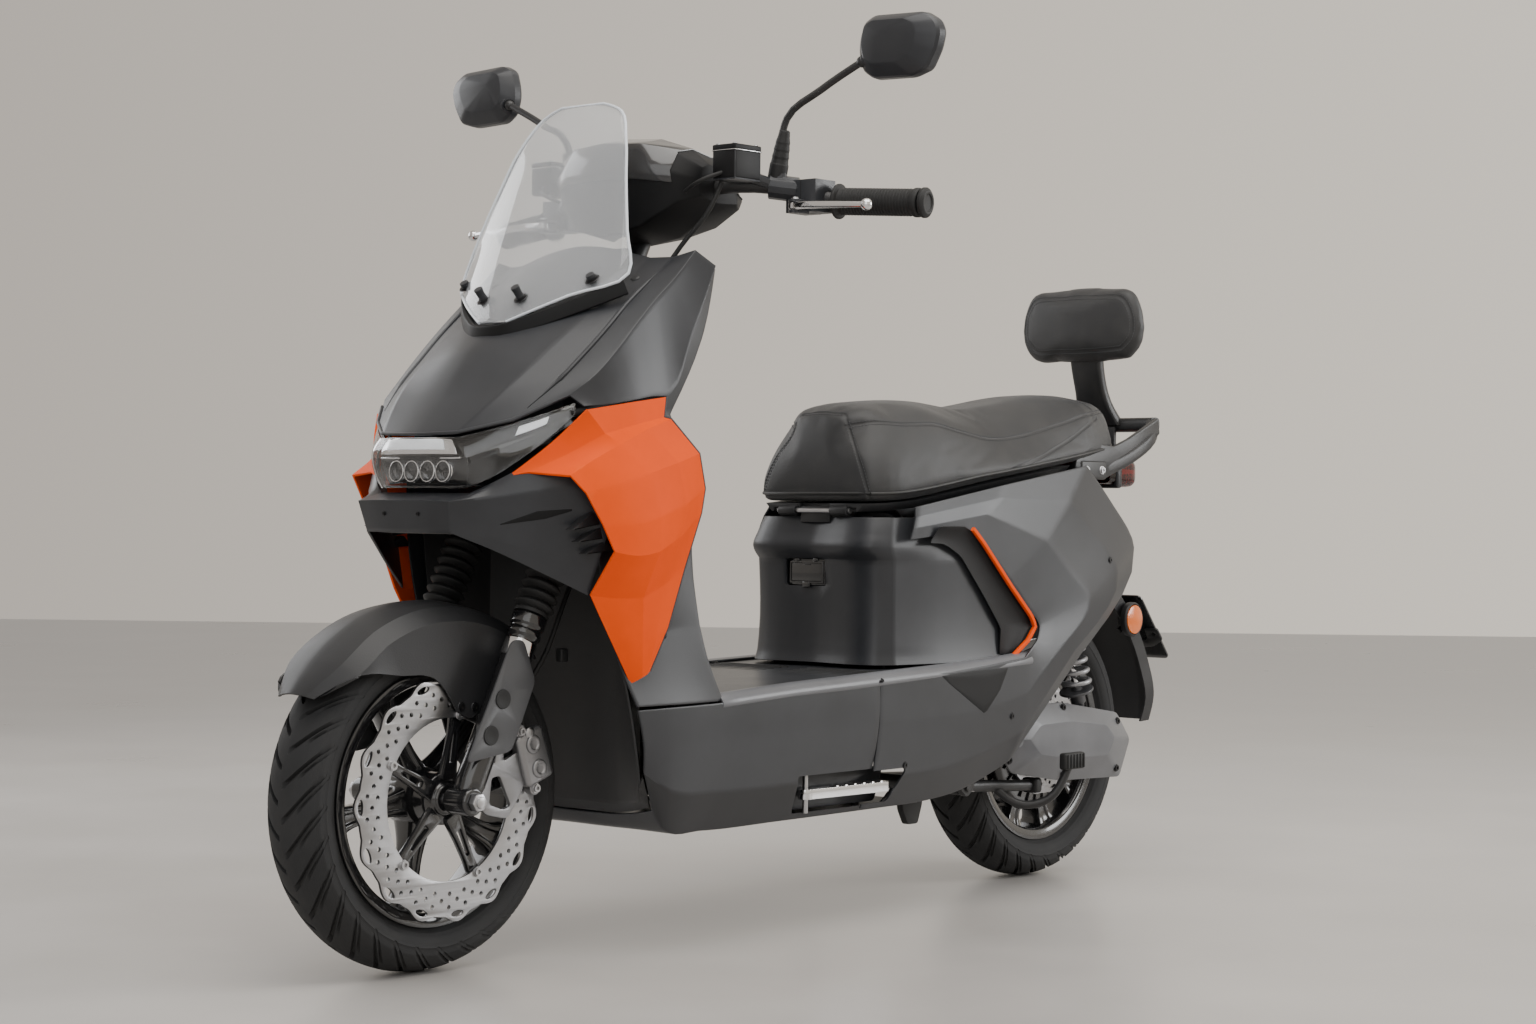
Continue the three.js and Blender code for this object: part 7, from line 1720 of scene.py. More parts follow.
LEG_SHIELD_ROWS = [
    [(32, 17.2, 91.8), (30, 17.1, 91.8), (27.9, 16.4, 91.8), (26, 9, 91.5), (25, 0, 91.5)],
    [(38.5, 17.8, 83), (35, 17.8, 83), (31, 17.2, 83), (27.4, 9.5, 83), (25.3, 0, 83)],
    [(50, 18, 72), (43, 18.2, 72), (37.6, 17.4, 72), (31.4, 10.5, 72), (28.6, 0, 72)],
    [(52, 18.2, 62), (43, 18.4, 62), (34.6, 18, 62), (30, 11, 62), (27.4, 0, 62)],
    [(51, 18.2, 50), (42.5, 18.8, 50), (33.8, 18.4, 50), (30, 11.5, 50), (27.8, 0, 50)],
    [(49, 18.2, 42.5), (42, 18.6, 43.3), (33, 18.8, 44.2), (30, 11.5, 43), (28.2, 0, 43)],
    [(47.5, 18.6, 38.5), (41, 19, 39.5), (31.6, 19.1, 39.5), (28.8, 11.5, 39), (27, 0, 39)],
    [(45.5, 19.5, 33.8), (37, 19.8, 33.8), (28.6, 19.2, 33.8), (24.6, 11.5, 33.8), (22.6, 0, 33.8)],
]
SPLASH_ROWS = [
    [(50.5, 16.5, 56), (47, 15.2, 56), (40.6, 13.4, 56), (37.9, 8, 56), (37.5, 0, 56)],
    [(48.7, 16.8, 46), (46, 15.6, 46), (40.4, 13.8, 46), (37.8, 8, 46), (37.4, 0, 46)],
    [(45.5, 17.2, 36), (43.5, 16, 36), (40, 14, 36), (37.7, 8, 36), (37.3, 0, 36)],
    [(43.5, 17.3, 27), (42, 16, 27), (39.6, 14, 27), (37.5, 8, 27), (37.1, 0, 27)],
    [(42.4, 16.8, 23), (40.8, 15.6, 21.6), (38.9, 13.6, 20.6), (36.9, 8, 19.8), (36.5, 0, 19.8)],
    [(42.6, 17.8, 24.4), (40.6, 16.6, 22), (38.2, 14.8, 19.9), (36, 7.2, 18.5), (35.4, 0, 18.3)],
]
WINDSHIELD_ROWS = [
    [(53.4, 2.6, 83.8), (53.5, 1.3, 83.8), (53.6, 0, 83.8)],
    [(49.2, 10, 87.2), (51.2, 5, 87.2), (51.9, 0, 87.2)],
    [(44.1, 15.8, 90.2), (48.5, 8.4, 90.2), (50.2, 0, 90.2)],
    [(42.8, 14.2, 96), (45.8, 7.5, 96), (46.8, 0, 96)],
    [(40.8, 12, 103), (42.6, 6.4, 103), (43.2, 0, 103)],
    [(38.9, 10.1, 108.6), (40.1, 5.4, 108.6), (40.5, 0, 108.6)],
    [(37, 7.4, 112.8), (37.8, 4, 112.8), (38.1, 0, 112.8)],
    [(36.9, 4, 114.1), (37.2, 2, 114.1), (37.4, 0, 114.1)],
]
FRONT_INSIDE = (42, 0, 50)


def left_rows(rows):
    return [[spot(*place) for place in row] for row in rows]


def sunk(grid, depth, inside):
    """The same grid, moved inward by a depth."""
    rows, columns = len(grid), len(grid[0])
    moved = []
    for r in range(rows):
        row = []
        for c in range(columns):
            up, down = grid[max(r - 1, 0)][c], grid[min(r + 1, rows - 1)][c]
            left, right = grid[r][max(c - 1, 0)], grid[r][min(c + 1, columns - 1)]
            normal = (right - left).cross(down - up).normalized()
            if normal.dot(grid[r][c] - inside) < 0:
                normal = -normal
            row.append(grid[r][c] - normal * depth)
        moved.append(row)
    return moved


def panel_piece(name, grid, inside, material, replaces, wall=None, body="frame"):
    sizes = bpy.context.scene.scooter_panels
    shell = skin(name, grid, spot(*inside), wall or sizes.wall, sizes.seam, sizes.edge)
    return finished(shell, body, FINISH[material], replaces)


def screw_heads(name, places, body="frame", radius=5 * MM, finish="dark bolt"):
    """Screws at (place, direction) pairs."""
    return bolts(name, [p for p, _ in places], [d for _, d in places], body, radius, 2.2 * MM,
                 radius * 1.35, finish)


class SCOOTER_OT_nose_cowl(bpy.types.Operator):
    """Make the nose cowl with its ridges, its lip and the windshield's mounts"""
    bl_idname = "scooter.nose_cowl"
    bl_label = "Nose cowl"

    def execute(self, context):
        grid = refined(both_halves(HOOD_ROWS), sharp_columns=(1, 2, 3, 5, 6, 7))
        hood = panel_piece(
            "nose_cowl_shell", grid, FRONT_INSIDE, "satin dark plastic",
            ["nose_cowl"])
        face = surface_of(hood)
        parts = []
        for side in BOTH_SIDES:
            line = []
            for row in grid[2:-4]:
                place = row[12] if side > 0 else row[-13]
                line.append(place + Vector((0.2, 0, 1)).normalized() * 0.4 * MM)
            parts.append(tube("ridge", line, 3.2 * MM, 10, smooth=False,
                              taper=lambda t: max(0.15, min(1, 6 * t, 6 * (1 - t)))))
            for foot in ((49.5, 3.5 * side, 84.4), (44.2, 12 * side, 86)):
                start = spot(*foot)
                end = start + Vector((45, 0, 54)) * MM
                boss = upright(in_metres(filleted(
                    [(0, -6), (10.5, -6), (10.5, 4), (7, 9), (6, 20), (5.4, 44), (6.4, 52),
                     (0, 52)], 1.2)),
                               "boss", along(start, end), 32, closed=False)
                parts.append(boss)
        lip = tube("lip", [p + Vector((1.2, 0, -0.4)) * MM for p in grid[0][8:-8]], 2.4 * MM, 10,
                   smooth=False)
        parts.append(lip)
        for part in parts:
            coloured(part, FINISH["satin dark plastic"])
        trim = merged("nose_cowl_trim", *parts)
        finished(soften(trim), "frame", None)
        place, normal = seen(face, 635, 278)
        plug = upright(in_metres(filleted([(0, 0), (6.5, 0), (6.5, 1.6), (4.5, 2.8), (0, 2.8)],
                                          0.6)),
                       "nose_cowl_plug", along(place - normal * MM, place + normal), 24,
                       closed=False)
        finished_pair(plug, "nose_cowl_plug_right", "frame", FINISH["matt dark plastic"])
        return {"FINISHED"}


# Headlight


LAMP_ROW_STEPS = 6
PROJECTOR_SIDES = (-4.4, -1.5, 1.5, 4.4)
PROJECTOR_RADIUS = 11.4
# How far to the side the frame, the bar, the smoked corners and their lit parts reach
LIGHT_FRAME_REACH = 74 * MM
LIGHT_BAR_REACH = 62 * MM
CORNER_LIGHT = (78 * MM, 176 * MM)
CORNER_GLOW = (120 * MM, 158 * MM)


def projector_axis(y):
    """The axis of a projector lens at that side, from its back forwards."""
    start = spot(62.6, y, 63.9)
    return along(start, start + Vector((1, 0, 0.05)).normalized())


def part_of(grid, rows, low, high):
    """The part of a grid whose middle row lies between two distances to the side."""
    middle = grid[len(grid) // 2]
    columns = [c for c, p in enumerate(middle) if low - 1e-6 <= p.y <= high + 1e-6]
    return [[grid[r][c] for c in columns] for r in rows]


class SCOOTER_OT_headlight(bpy.types.Operator):
    """Make the headlight: clear cover, light bar, projector lenses and side lights"""
    bl_idname = "scooter.headlight"
    bl_label = "Headlight"

    def execute(self, context):
        inside = spot(*FRONT_INSIDE)
        grid = refined(both_halves(LENS_ROWS), sharp_columns=(3, 7))
        cover = skin("headlight_cover", grid, inside, 2.2 * MM, 1.4 * MM, 0.6 * MM)
        finished(cover, "frame", FINISH["clear lens"], ["headlight_lens"])
        rows = len(grid)
        back = sunk(grid, 16 * MM, inside)
        liner = skin("headlight_liner", back, inside, 2 * MM, 3 * MM, 0)
        finished(liner, "frame", FINISH["gloss black paint"])
        frame_rows, bar_rows = range(0, LAMP_ROW_STEPS + 1), range(1, LAMP_ROW_STEPS - 1)
        rim = skin("light_bar_frame", part_of(sunk(grid, 7 * MM, inside), frame_rows,
                                              -LIGHT_FRAME_REACH, LIGHT_FRAME_REACH),
                   inside, 3 * MM, 0, 1.0 * MM)
        finished(rim, "frame", FINISH["lamp chrome"])
        bar = skin("light_bar", part_of(sunk(grid, 5 * MM, inside), bar_rows, -LIGHT_BAR_REACH,
                                        LIGHT_BAR_REACH),
                   inside, 3 * MM, 0, 1.0 * MM)
        finished(bar, "frame", FINISH["white light"])
        parts = []
        for y in PROJECTOR_SIDES:
            bowl = upright(in_metres(filleted(
                [(12.4, 34), (14, 34), (14, 29), (10.5, 10), (0, 6), (0, 4), (12, 8), (14.6, 30)],
                0.8)),
                           "bowl", projector_axis(y), 36)
            parts.append(coloured(bowl, FINISH["lamp chrome"]))
        finished(soften(merged("headlight_bowls", *parts)), "frame", None)
        globes = []
        for y in PROJECTOR_SIDES:
            crest = [(PROJECTOR_RADIUS * math.cos(turn), 22 + 8 * math.sin(turn))
                     for turn in (0.3, 0.6, 0.9, 1.2, 1.4)]
            dome = [(0, 18), (PROJECTOR_RADIUS, 18), (PROJECTOR_RADIUS, 22)] + crest + [(0, 30)]
            globes.append(upright(in_metres(dome), "globe", projector_axis(y), 36, closed=False))
        finished(soften(merged("headlight_projectors", *globes), 60), "frame", FINISH["clear lens"])
        glints = []
        for y in PROJECTOR_SIDES:
            glints.append(upright(in_metres([(0, 12), (7, 12), (7, 14), (0, 14)]), "glint",
                                  projector_axis(y), 20, closed=False))
        finished(merged("headlight_glints", *glints), "frame", FINISH["white light"])
        shelf = rounded_box("headlight_shelf", spot(64.4, 0, 65.75), (30 * MM, 150 * MM, 3 * MM),
                            1.2 * MM)
        finished(shelf, "frame", FINISH["lamp chrome"])
        tray = rounded_box("headlight_tray", spot(63.4, 0, 62.1), (40 * MM, 150 * MM, 3 * MM),
                           1.2 * MM)
        finished(tray, "frame", FINISH["gloss black paint"])
        for side, label in NAMED_SIDES:
            low, high = sorted(y * side for y in CORNER_LIGHT)
            near, far = sorted(y * side for y in CORNER_GLOW)
            upper = skin("side_light_upper_" + label,
                         part_of(sunk(grid, 8 * MM, inside), range(1, rows // 2), low, high),
                         inside, 2 * MM, 0, 0.6 * MM)
            finished(upper, "frame", FINISH["smoked lens"])
            glow = skin("side_light_" + label,
                        part_of(sunk(grid, 6 * MM, inside), range(2, rows // 2 - 1), near, far),
                        inside, 2 * MM, 0, 0.8 * MM)
            finished(glow, "frame", FINISH["white light"])
            lower = skin("side_light_lower_" + label,
                         part_of(sunk(grid, 6 * MM, inside), range(rows // 2 + 1, rows - 1), low,
                                 high),
                         inside, 2 * MM, 0, 0.6 * MM)
            finished(lower, "frame", FINISH["smoked lens"])
        return {"FINISHED"}


FIN_LINES = [
    [(570, 530), (590, 512), (600, 524)], [(576, 542), (598, 527), (606, 538)],
    [(583, 554), (603, 540), (611, 551)],
]


class SCOOTER_OT_lower_cowl(bpy.types.Operator):
    """Make the chin under the headlight with its ledge and side slats"""
    bl_idname = "scooter.lower_cowl"
    bl_label = "Lower cowl"

    def execute(self, context):
        grid = refined(both_halves(CHIN_ROWS), sharp_rows=(1, 2), sharp_columns=(3, 7))
        chin = panel_piece(
            "lower_cowl_shell", grid, FRONT_INSIDE, "satin dark plastic",
            ["lower_cowl"])
        parts = []
        for side in BOTH_SIDES:
            for quad in FIN_LINES:
                places = [at_side(u, v, 19.4 * CM) for u, v in quad]
                outline = filleted([(p.x - MIDDLE_X, p.z) for p in places], 1.6 * MM, 3,
                                   closed=True)
                fin = flat_plate("slat", [outline], 14 * MM,
                                 beside(Vector((MIDDLE_X, 19.2 * CM * side, 0))), 1 * MM)
                parts.append(fin)
        cavity = rounded_box("cavity", spot(61, 0, 56.4), (64 * MM, 200 * MM, 8 * MM), 3 * MM)
        parts.append(cavity)
        for part in parts:
            coloured(part, FINISH["matt dark plastic"])
        finished(soften(merged("lower_cowl_slats", *parts)), "frame", None)
        face = surface_of(chin)
        spear = inlay("lower_cowl_spear_left", [(500, 524), (538, 511), (572, 509)],
                      [(500, 525), (545, 519), (572, 511)], face,
                      0.4 * MM, 1.2 * MM, 14, 4, 0.3 * MM)
        finished_pair(spear, "lower_cowl_spear_right", "frame", FINISH["insert plastic"])
        marks = []
        for side in BOTH_SIDES:
            start = spot(72, 3.2 * side, 58.6)
            place, _, _, _ = face.ray_cast(start, Vector((-1, 0, 0)))
            if place is not None:
                marks.append((place, Vector((1, 0, 0))))
        screw_heads("lower_cowl_screws", marks, radius=2.2 * MM)
        return {"FINISHED"}


class SCOOTER_OT_side_fairings(bpy.types.Operator):
    """Make the painted fairings beside the fork"""
    bl_idname = "scooter.side_fairings"
    bl_label = "Side fairings"

    def execute(self, context):
        sizes = context.scene.scooter_panels
        grid = refined(left_rows(FAIRING_ROWS), sharp_rows=(1, 2, 3, 4, 5, 6, 7),
                       sharp_columns=(2, 3))
        shell = skin("side_fairing_shell_left", grid, spot(42, 5, 55), sizes.wall, sizes.seam,
                     1.2 * MM)
        soften(shell, 12)
        shell.data.materials.append(FINISH["orange plastic"])
        twin = mirrored(shell, "side_fairing_shell_right")
        finished(shell, "frame", None, ["side_fairing_left"])
        finished(twin, "frame", None, ["side_fairing_right"])
        line = [row[-1] - Vector((0, 1.6 * MM, 0)) for row in grid]
        trim = tube("side_fairing_edge_left", line, 2.2 * MM, 8, smooth=False)
        finished_pair(trim, "side_fairing_edge_right", "frame", FINISH["matt dark plastic"])
        # A near-black tube in the gap between the nose cowl's side edge and the fairing: painted
        # shade.
        line = [spot(*p) for p in ((56.4, 17.6, 71.4), (53.6, 18.9, 72.2), (48, 19.3, 73.2),
                                   (41.4, 19.3, 74))]
        gap_shade = tube("side_fairing_seal_left", line, 5 * MM, 10)
        finished_pair(gap_shade, "side_fairing_seal_right", "frame", FINISH["deep shadow"])
        face = surface_of(shell)
        places, ways = [], []
        for u, v in ((612, 672),):
            place, normal = seen(face, u, v)
            for side in BOTH_SIDES:
                places.append(Vector((place.x, place.y * side, place.z)))
                ways.append(Vector((normal.x, normal.y * side, normal.z)))
        bolts("side_fairing_screws", places, ways, "frame", 4.2 * MM, 2 * MM, 5.6 * MM, "dark bolt")
        return {"FINISHED"}


class SCOOTER_OT_windshield(bpy.types.Operator):
    """Make the clear windshield and its screws"""
    bl_idname = "scooter.windshield"
    bl_label = "Windshield"

    def execute(self, context):
        grid = refined(both_halves(WINDSHIELD_ROWS), EVEN_STEPS)
        screen = skin("windshield_screen", grid, spot(*FRONT_INSIDE), 4 * MM, 0, 1.6 * MM)
        finished(screen, "frame", FINISH["clear screen"], ["windshield"])
        rim = [row[0] for row in grid] + list(reversed([row[-1] for row in grid]))
        # A whitish tube along the screen's side edges: a painted highlight where the clear edges
        # catch the light.
        edge = tube("windshield_edge", rim, 2.1 * MM, 8, smooth=False)
        finished(edge, "frame", FINISH["painted edge highlight"])
        face = surface_of(screen)
        marks = []
        for side in BOTH_SIDES:
            for foot in ((49.5, 3.5 * side, 84.4), (44.2, 12 * side, 86)):
                start = spot(*foot)
                way = Vector((45, 0, 54)).normalized()
                place, _, _, _ = face.ray_cast(start + way * 0.2, -way)
                if place is not None:
                    marks.append((place, way))
        screw_heads("windshield_screws", marks, radius=8 * MM)
        line = [spot(*p) for p in ((54.2, 2.4, 82.4), (52.4, 5.8, 83.6), (49, 10.2, 85.6),
                                   (44.2, 15.4, 88.4))]
        line = [Vector((p.x, -p.y, p.z)) for p in reversed(line)] + line
        trim = bar_along("windshield_trim", line, 4 * MM, 10 * MM, UP, EVEN_STEPS, 0.3)
        finished(soften(trim, 30), "frame", FINISH["insert plastic"])
        return {"FINISHED"}


class SCOOTER_OT_leg_shield(bpy.types.Operator):
    """Make the leg shield, the splash panel behind the wheel and their fixings"""
    bl_idname = "scooter.leg_shield"
    bl_label = "Leg shield"

    def execute(self, context):
        grid = refined(both_halves(LEG_SHIELD_ROWS), sharp_rows=(2, 5), sharp_columns=(2, 6))
        shield = panel_piece(
            "leg_shield_shell", grid, (40, 0, 60), "satin dark plastic",
            ["leg_shield"])
        grid = refined(both_halves(SPLASH_ROWS), sharp_columns=(2, 6), sharp_rows=(4,))
        panel_piece("splash_panel_shell", grid, (20, 0, 40), "matt dark plastic",
                    ["splash_panel"])
        face = surface_of(shield)
        marks = []
        for y, z in ((9, 84), (-9, 84), (14.5, 55), (-14.5, 55), (12, 42), (-12, 42)):
            place, _, _, _ = face.ray_cast(spot(0, y, z), Vector((1, 0, 0)))
            if place is not None:
                marks.append((place, Vector((-1, 0, 0))))
        screw_heads("leg_shield_screws", marks)
        lid = rounded_box("glove_lid", spot(28.4, 0, 57), (30 * MM, 140 * MM, 104 * MM), 5 * MM, 4)
        finished(lid, "frame", FINISH["insert plastic"])
        catch = rounded_box("glove_catch", spot(26.9, 0, 61.2), (5 * MM, 34 * MM, 10 * MM), 2 * MM)
        finished(catch, "frame", FINISH["satin dark plastic"])
        hook = tube("bag_hook", [spot(28.4, 0, 68), spot(24.6, 0, 68), spot(23.2, 0, 66.8),
                                 spot(23.8, 0, 65.4)],
                    4 * MM, 12)
        finished(hook, "frame", FINISH["polished metal"])
        keyhole = upright(in_metres(filleted([(0, -6), (15, -6), (15, 3), (12, 5), (9, 5), (8, 3.4),
                                              (0, 3.4)], 0.8)),
                          "key_switch", along(spot(26.3, -9.5, 82), spot(20, -9.9, 82)), 36,
                          closed=False)
        finished(keyhole, "frame", FINISH["bolt steel"])
        slot = rounded_box("key_slot", spot(25.9, -9.54, 82), (2 * MM, 2.4 * MM, 10 * MM), 0.5 * MM)
        finished(slot, "frame", FINISH["deep shadow"])
        return {"FINISHED"}


# Middle


FLOOR_ROWS = [
    [(28.4, 19.1, 34.2), (24.8, 11.5, 34.3), (22.8, 0, 34.3)],
    [(15, 19.2, 34.9), (14.6, 11.5, 35), (14.4, 0, 35)],
    [(0, 19.1, 35.5), (0, 11.5, 35.6), (0, 0, 35.6)],
    [(-12.5, 18.8, 35.9), (-12.5, 11.5, 36), (-12.5, 0, 36)],
    [(-30, 18.2, 36.5), (-30, 11.5, 36.6), (-30, 0, 36.6)],
    [(-44.5, 17.6, 37.3), (-44.5, 11.5, 37.4), (-44.5, 0, 37.4)],
]
BELLY_ROWS = [
    [(45.5, 19.5, 33.4), (44, 19.2, 29), (43.2, 18.5, 25), (38, 15, 19.5), (35.8, 7, 18.2),
     (35.2, 0, 18)],
    [(40, 19.8, 33.5), (39.5, 19.6, 29), (38.5, 18.6, 22.5), (35, 15, 16.5), (33.6, 7, 16.3),
     (33.5, 0, 16.3)],
    [(28, 19.7, 33.7), (28, 19.6, 29), (28, 18.2, 21.5), (28, 14.8, 16), (28, 7, 15.8),
     (28, 0, 15.8)],
    [(12, 19.7, 34.6), (12, 19.6, 29), (12, 18.2, 21.5), (12, 14.8, 16), (12, 7, 15.8),
     (12, 0, 15.8)],
    [(-4.5, 19.6, 35.2), (-4.5, 19.5, 29), (-4.5, 18, 21.5), (-20, 14.4, 16.2), (-22, 7, 16),
     (-22, 0, 16)],
]
RECESS_OUTLINE = [(12.2, 22.5), (10, 16.9), (-10.6, 16.9), (-12.6, 22.5)]


def recess_ring(step, y, side):
    """The step recess's outline at a depth, drawn in by a step in millimetres."""
    flat = [(x * 10, z * 10) for x, z in RECESS_OUTLINE]
    middle = (sum(x for x, _ in flat) / 4, sum(z for _, z in flat) / 4)
    drawn = [(x - math.copysign(step, x - middle[0]) * 1.3, z - math.copysign(step, z - middle[1]))
             for x, z in flat]
    return [Vector((MIDDLE_X + a * MM, y * CM * side, b * MM))
            for a, b in filleted(drawn, 7.0, 4, closed=True)]


def belly_hull():
    rows = both_halves([BELLY_ROWS[0], BELLY_ROWS[1], BELLY_ROWS[2], BELLY_ROWS[3],
                        [(-14, y, z) for _, y, z in BELLY_ROWS[4]]])
    return [row for row in refined(rows, EVEN_STEPS, sharp_columns=(2, 8))]


def common(piece, tool):
    """Keeps what the piece and the tool share, and removes the tool."""
    modifier = piece.modifiers.new("Common", "BOOLEAN")
    modifier.operation = "INTERSECT"
    modifier.solver = "EXACT"
    modifier.object = tool
    piece = applied(piece)
    bpy.data.objects.remove(tool)
    return piece


class SCOOTER_OT_underbody(bpy.types.Operator):
    """Make the tub under the floor with the step recesses"""
    bl_idname = "scooter.underbody"
    bl_label = "Underbody"

    def execute(self, context):
        sizes = context.scene.scooter_panels
        grid = refined(both_halves(BELLY_ROWS), sharp_columns=(2, 3, 7, 8))
        tub = skin("underbody_tub", grid, spot(8, 0, 26), sizes.wall, sizes.seam, sizes.edge)
        trays = []
        for side in BOTH_SIDES:
            hole = lofted("hole", [recess_ring(0, 13.4, side), recess_ring(0, 21.5, side)])
            tub = carved(tub, hole)
            body = lofted("tray", [recess_ring(-3, 13.7, side), recess_ring(-3, 19.6, side)])
            hull = lofted("hull", belly_hull())
            body = common(body, hull)
            inner = lofted("inner", [recess_ring(2.5, 14.0, side), recess_ring(-0.2, 21.5, side)])
            trays.append(bevelled(carved(body, inner), 0.8 * MM, 2))
            lining = lofted("lining", [recess_ring(-6, 13.0, side), recess_ring(-6, 13.9, side)])
            trays.append(lining)
        for piece in [tub] + trays:
            coloured(piece, FINISH["satin dark plastic"])
        whole = soften(merged("underbody_tub", tub, *trays))
        finished(whole, "frame", None, ["underbody"])
        pins = []
        for side in BOTH_SIDES:
            pivot = spot(7.2, 15.6 * side, 16.8)
            pins.append(upright(in_metres(filleted([(0, 0), (4, 0), (4, 55), (0, 55)], 0.8)), "pin",
                                along(pivot, pivot + UP), 20, closed=False))
        finished(soften(merged("peg_pins", *pins)), "frame", FINISH["bolt steel"])
        feet = []
        for x, y in ((22, 9), (22, -9), (-6, 9), (-6, -9)):
            feet.append(rounded_box("foot", spot(x, y, 15.6), (46 * MM, 22 * MM, 7 * MM), 2.6 * MM))
        for side in BOTH_SIDES:
            stop = filleted([(-21.6, 17), (-21.9, 14.6), (-23.2, 12.3), (-25.6, 12.3), (-26.6, 15),
                             (-26.9, 17)], 0.4, 3, closed=True)
            feet.append(flat_plate("stop", [[(a * CM, b * CM) for a, b in stop]], 12 * MM,
                                   beside(Vector((MIDDLE_X, 9.6 * CM * side, 0))), 1.6 * MM))
        finished(soften(merged("belly_skids", *feet)), "frame", FINISH["soft rubber"])
        return {"FINISHED"}


class SCOOTER_OT_floor(bpy.types.Operator):
    """Make the floor with its edge bands and ribbed mats"""
    bl_idname = "scooter.floor"
    bl_label = "Floor"

    def execute(self, context):
        grid = refined(both_halves(FLOOR_ROWS), EVEN_STEPS)
        panel_piece("floor_shell", grid, (0, 0, 10), "satin dark plastic",
                    ["floor_panel"])
        for side, label in NAMED_SIDES:
            rows = []
            for x, z in ((29.2, 34.1), (15, 34.9), (0, 35.45), (-12.5, 35.85), (-30, 36.4),
                         (-44, 37.2)):
                y = 19.5 if x > -5 else 19.5 - (-5 - x) * 0.045
                rows.append([spot(x, (y + 0.1) * side, z - 1.3), spot(x, (y + 0.3) * side, z - 0.9),
                             spot(x, (y - 0.8) * side, z + 0.6),
                             spot(x, (y - 2.4) * side, z + 0.5)])
            band = skin("floor_band_" + label, refined(rows, EVEN_STEPS), spot(0, 0, 20), 2.4 * MM,
                        0, 0.8 * MM)
            finished(band, "frame", FINISH["grey cover plastic"])
        ribs = []
        for i in range(19):
            x = 19.5 - i * 1.6
            for y in (-8.6, 8.6):
                half = 66 if x > -11 else 0
                if half:
                    ribs.append(rounded_box("rib", spot(x, y, 36.0 - 0.06 * (x + 12.5) * 0.9),
                                            (6 * MM, 2 * half * MM, 5 * MM), 1.4 * MM, 2))
        finished(soften(merged("floor_mat_ribs", *ribs)), "frame", FINISH["soft rubber"])
        marks = []
        for x, y in ((22, 16.3), (6, 16.3), (-9, 16.3)):
            for side in BOTH_SIDES:
                marks.append((spot(x, y * side, 35.9 - 0.045 * (x + 9)), UP))
        screw_heads("floor_screws", marks, radius=4.4 * MM)
        return {"FINISHED"}


# Seat box and tail


SEAT_BOX_ROWS = [
    [(-44, 15.4, 36.6), (-33, 15.6, 36.6), (-24, 15, 36.6), (-15.2, 13.5, 36.6), (-13, 11.8, 36.6),
     (-12.8, 0, 36.6)],
    [(-44, 15.2, 37.8), (-33, 15.4, 37.8), (-24, 14.8, 37.8), (-15.4, 13.2, 37.8),
     (-13.3, 11.6, 37.8), (-13.1, 0, 37.8)],
    [(-44, 15, 39.5), (-33, 15.2, 39.5), (-24, 14.6, 39.5), (-15.5, 13.1, 39.5),
     (-13.5, 11.5, 39.5), (-13.3, 0, 39.5)],
    [(-44, 15, 52), (-33, 15.2, 52), (-24, 14.6, 52), (-15.5, 13.1, 52), (-13.5, 11.5, 52),
     (-13.3, 0, 52)],
    [(-44, 14.9, 54), (-33, 15, 54), (-24, 14.5, 54), (-14.8, 13.2, 54), (-12.3, 11.7, 54),
     (-12.2, 0, 54)],
    [(-44, 14.6, 56), (-33, 14.7, 56), (-24, 14.2, 56), (-15.2, 12.8, 56), (-13, 11.4, 56),
     (-12.9, 0, 56)],
    [(-44, 14, 58.4), (-33, 14, 58.4), (-24, 13.6, 58.4), (-16, 12.2, 58.4), (-14, 10.8, 58.4),
     (-13.8, 0, 58.4)],
]
TAIL_ROWS = [
    [(-4.5, 19.6, 35.2), (-4.5, 19.5, 29), (-4.5, 18.4, 21.5), (-4.5, 16, 16.5)],
    [(-18, 19.2, 35.6), (-18.6, 19.2, 29), (-19.4, 18.2, 21.5), (-20, 15.7, 16.5)],
    [(-30, 18.7, 36.2), (-29.5, 18.8, 29.5), (-28.6, 18, 22.5), (-27.5, 15.6, 17.2)],
    [(-42, 18, 37.1), (-42.4, 18.2, 31.5), (-42.4, 17.6, 26), (-41.1, 15.8, 21.1)],
    [(-46, 17.2, 39.5), (-52.6, 17.8, 38.8), (-56.2, 17.4, 37.8), (-60, 16, 37)],
    [(-47.2, 16.8, 41.6), (-60, 17.4, 46), (-69.5, 16, 50.5), (-78.7, 13, 54.8)],
    [(-44.4, 16.6, 44.5), (-55.4, 17, 50), (-63.6, 15.8, 55.6), (-71.5, 13.6, 61)],
    [(-39.4, 16.4, 49), (-49.2, 16.8, 55), (-56.4, 16, 61), (-63.2, 14.4, 66.8)],
    [(-31.8, 16, 56.4), (-34.4, 16.2, 59), (-38, 15.9, 61.4), (-40, 15.2, 63.5)],
    [(-17, 15, 55.1), (-17.6, 15.1, 56.8), (-18.3, 14.9, 58.4), (-19, 14.3, 60)],
]
FLAP_MIDDLE = (-13.3, -1.7, 50.05)
FLAP_WIDTH = 73 * MM
FLAP_HEIGHT = 41 * MM


def flap_block(name, ahead, depth, inset, edge):
    """A block in the flap's place: its shift ahead, depth, inset and edge, in millimetres."""
    size = (depth * MM, FLAP_WIDTH - inset * MM, FLAP_HEIGHT - inset * MM)
    return rounded_box(name, spot(*FLAP_MIDDLE) + Vector((ahead * MM, 0, 0)), size, edge * MM)


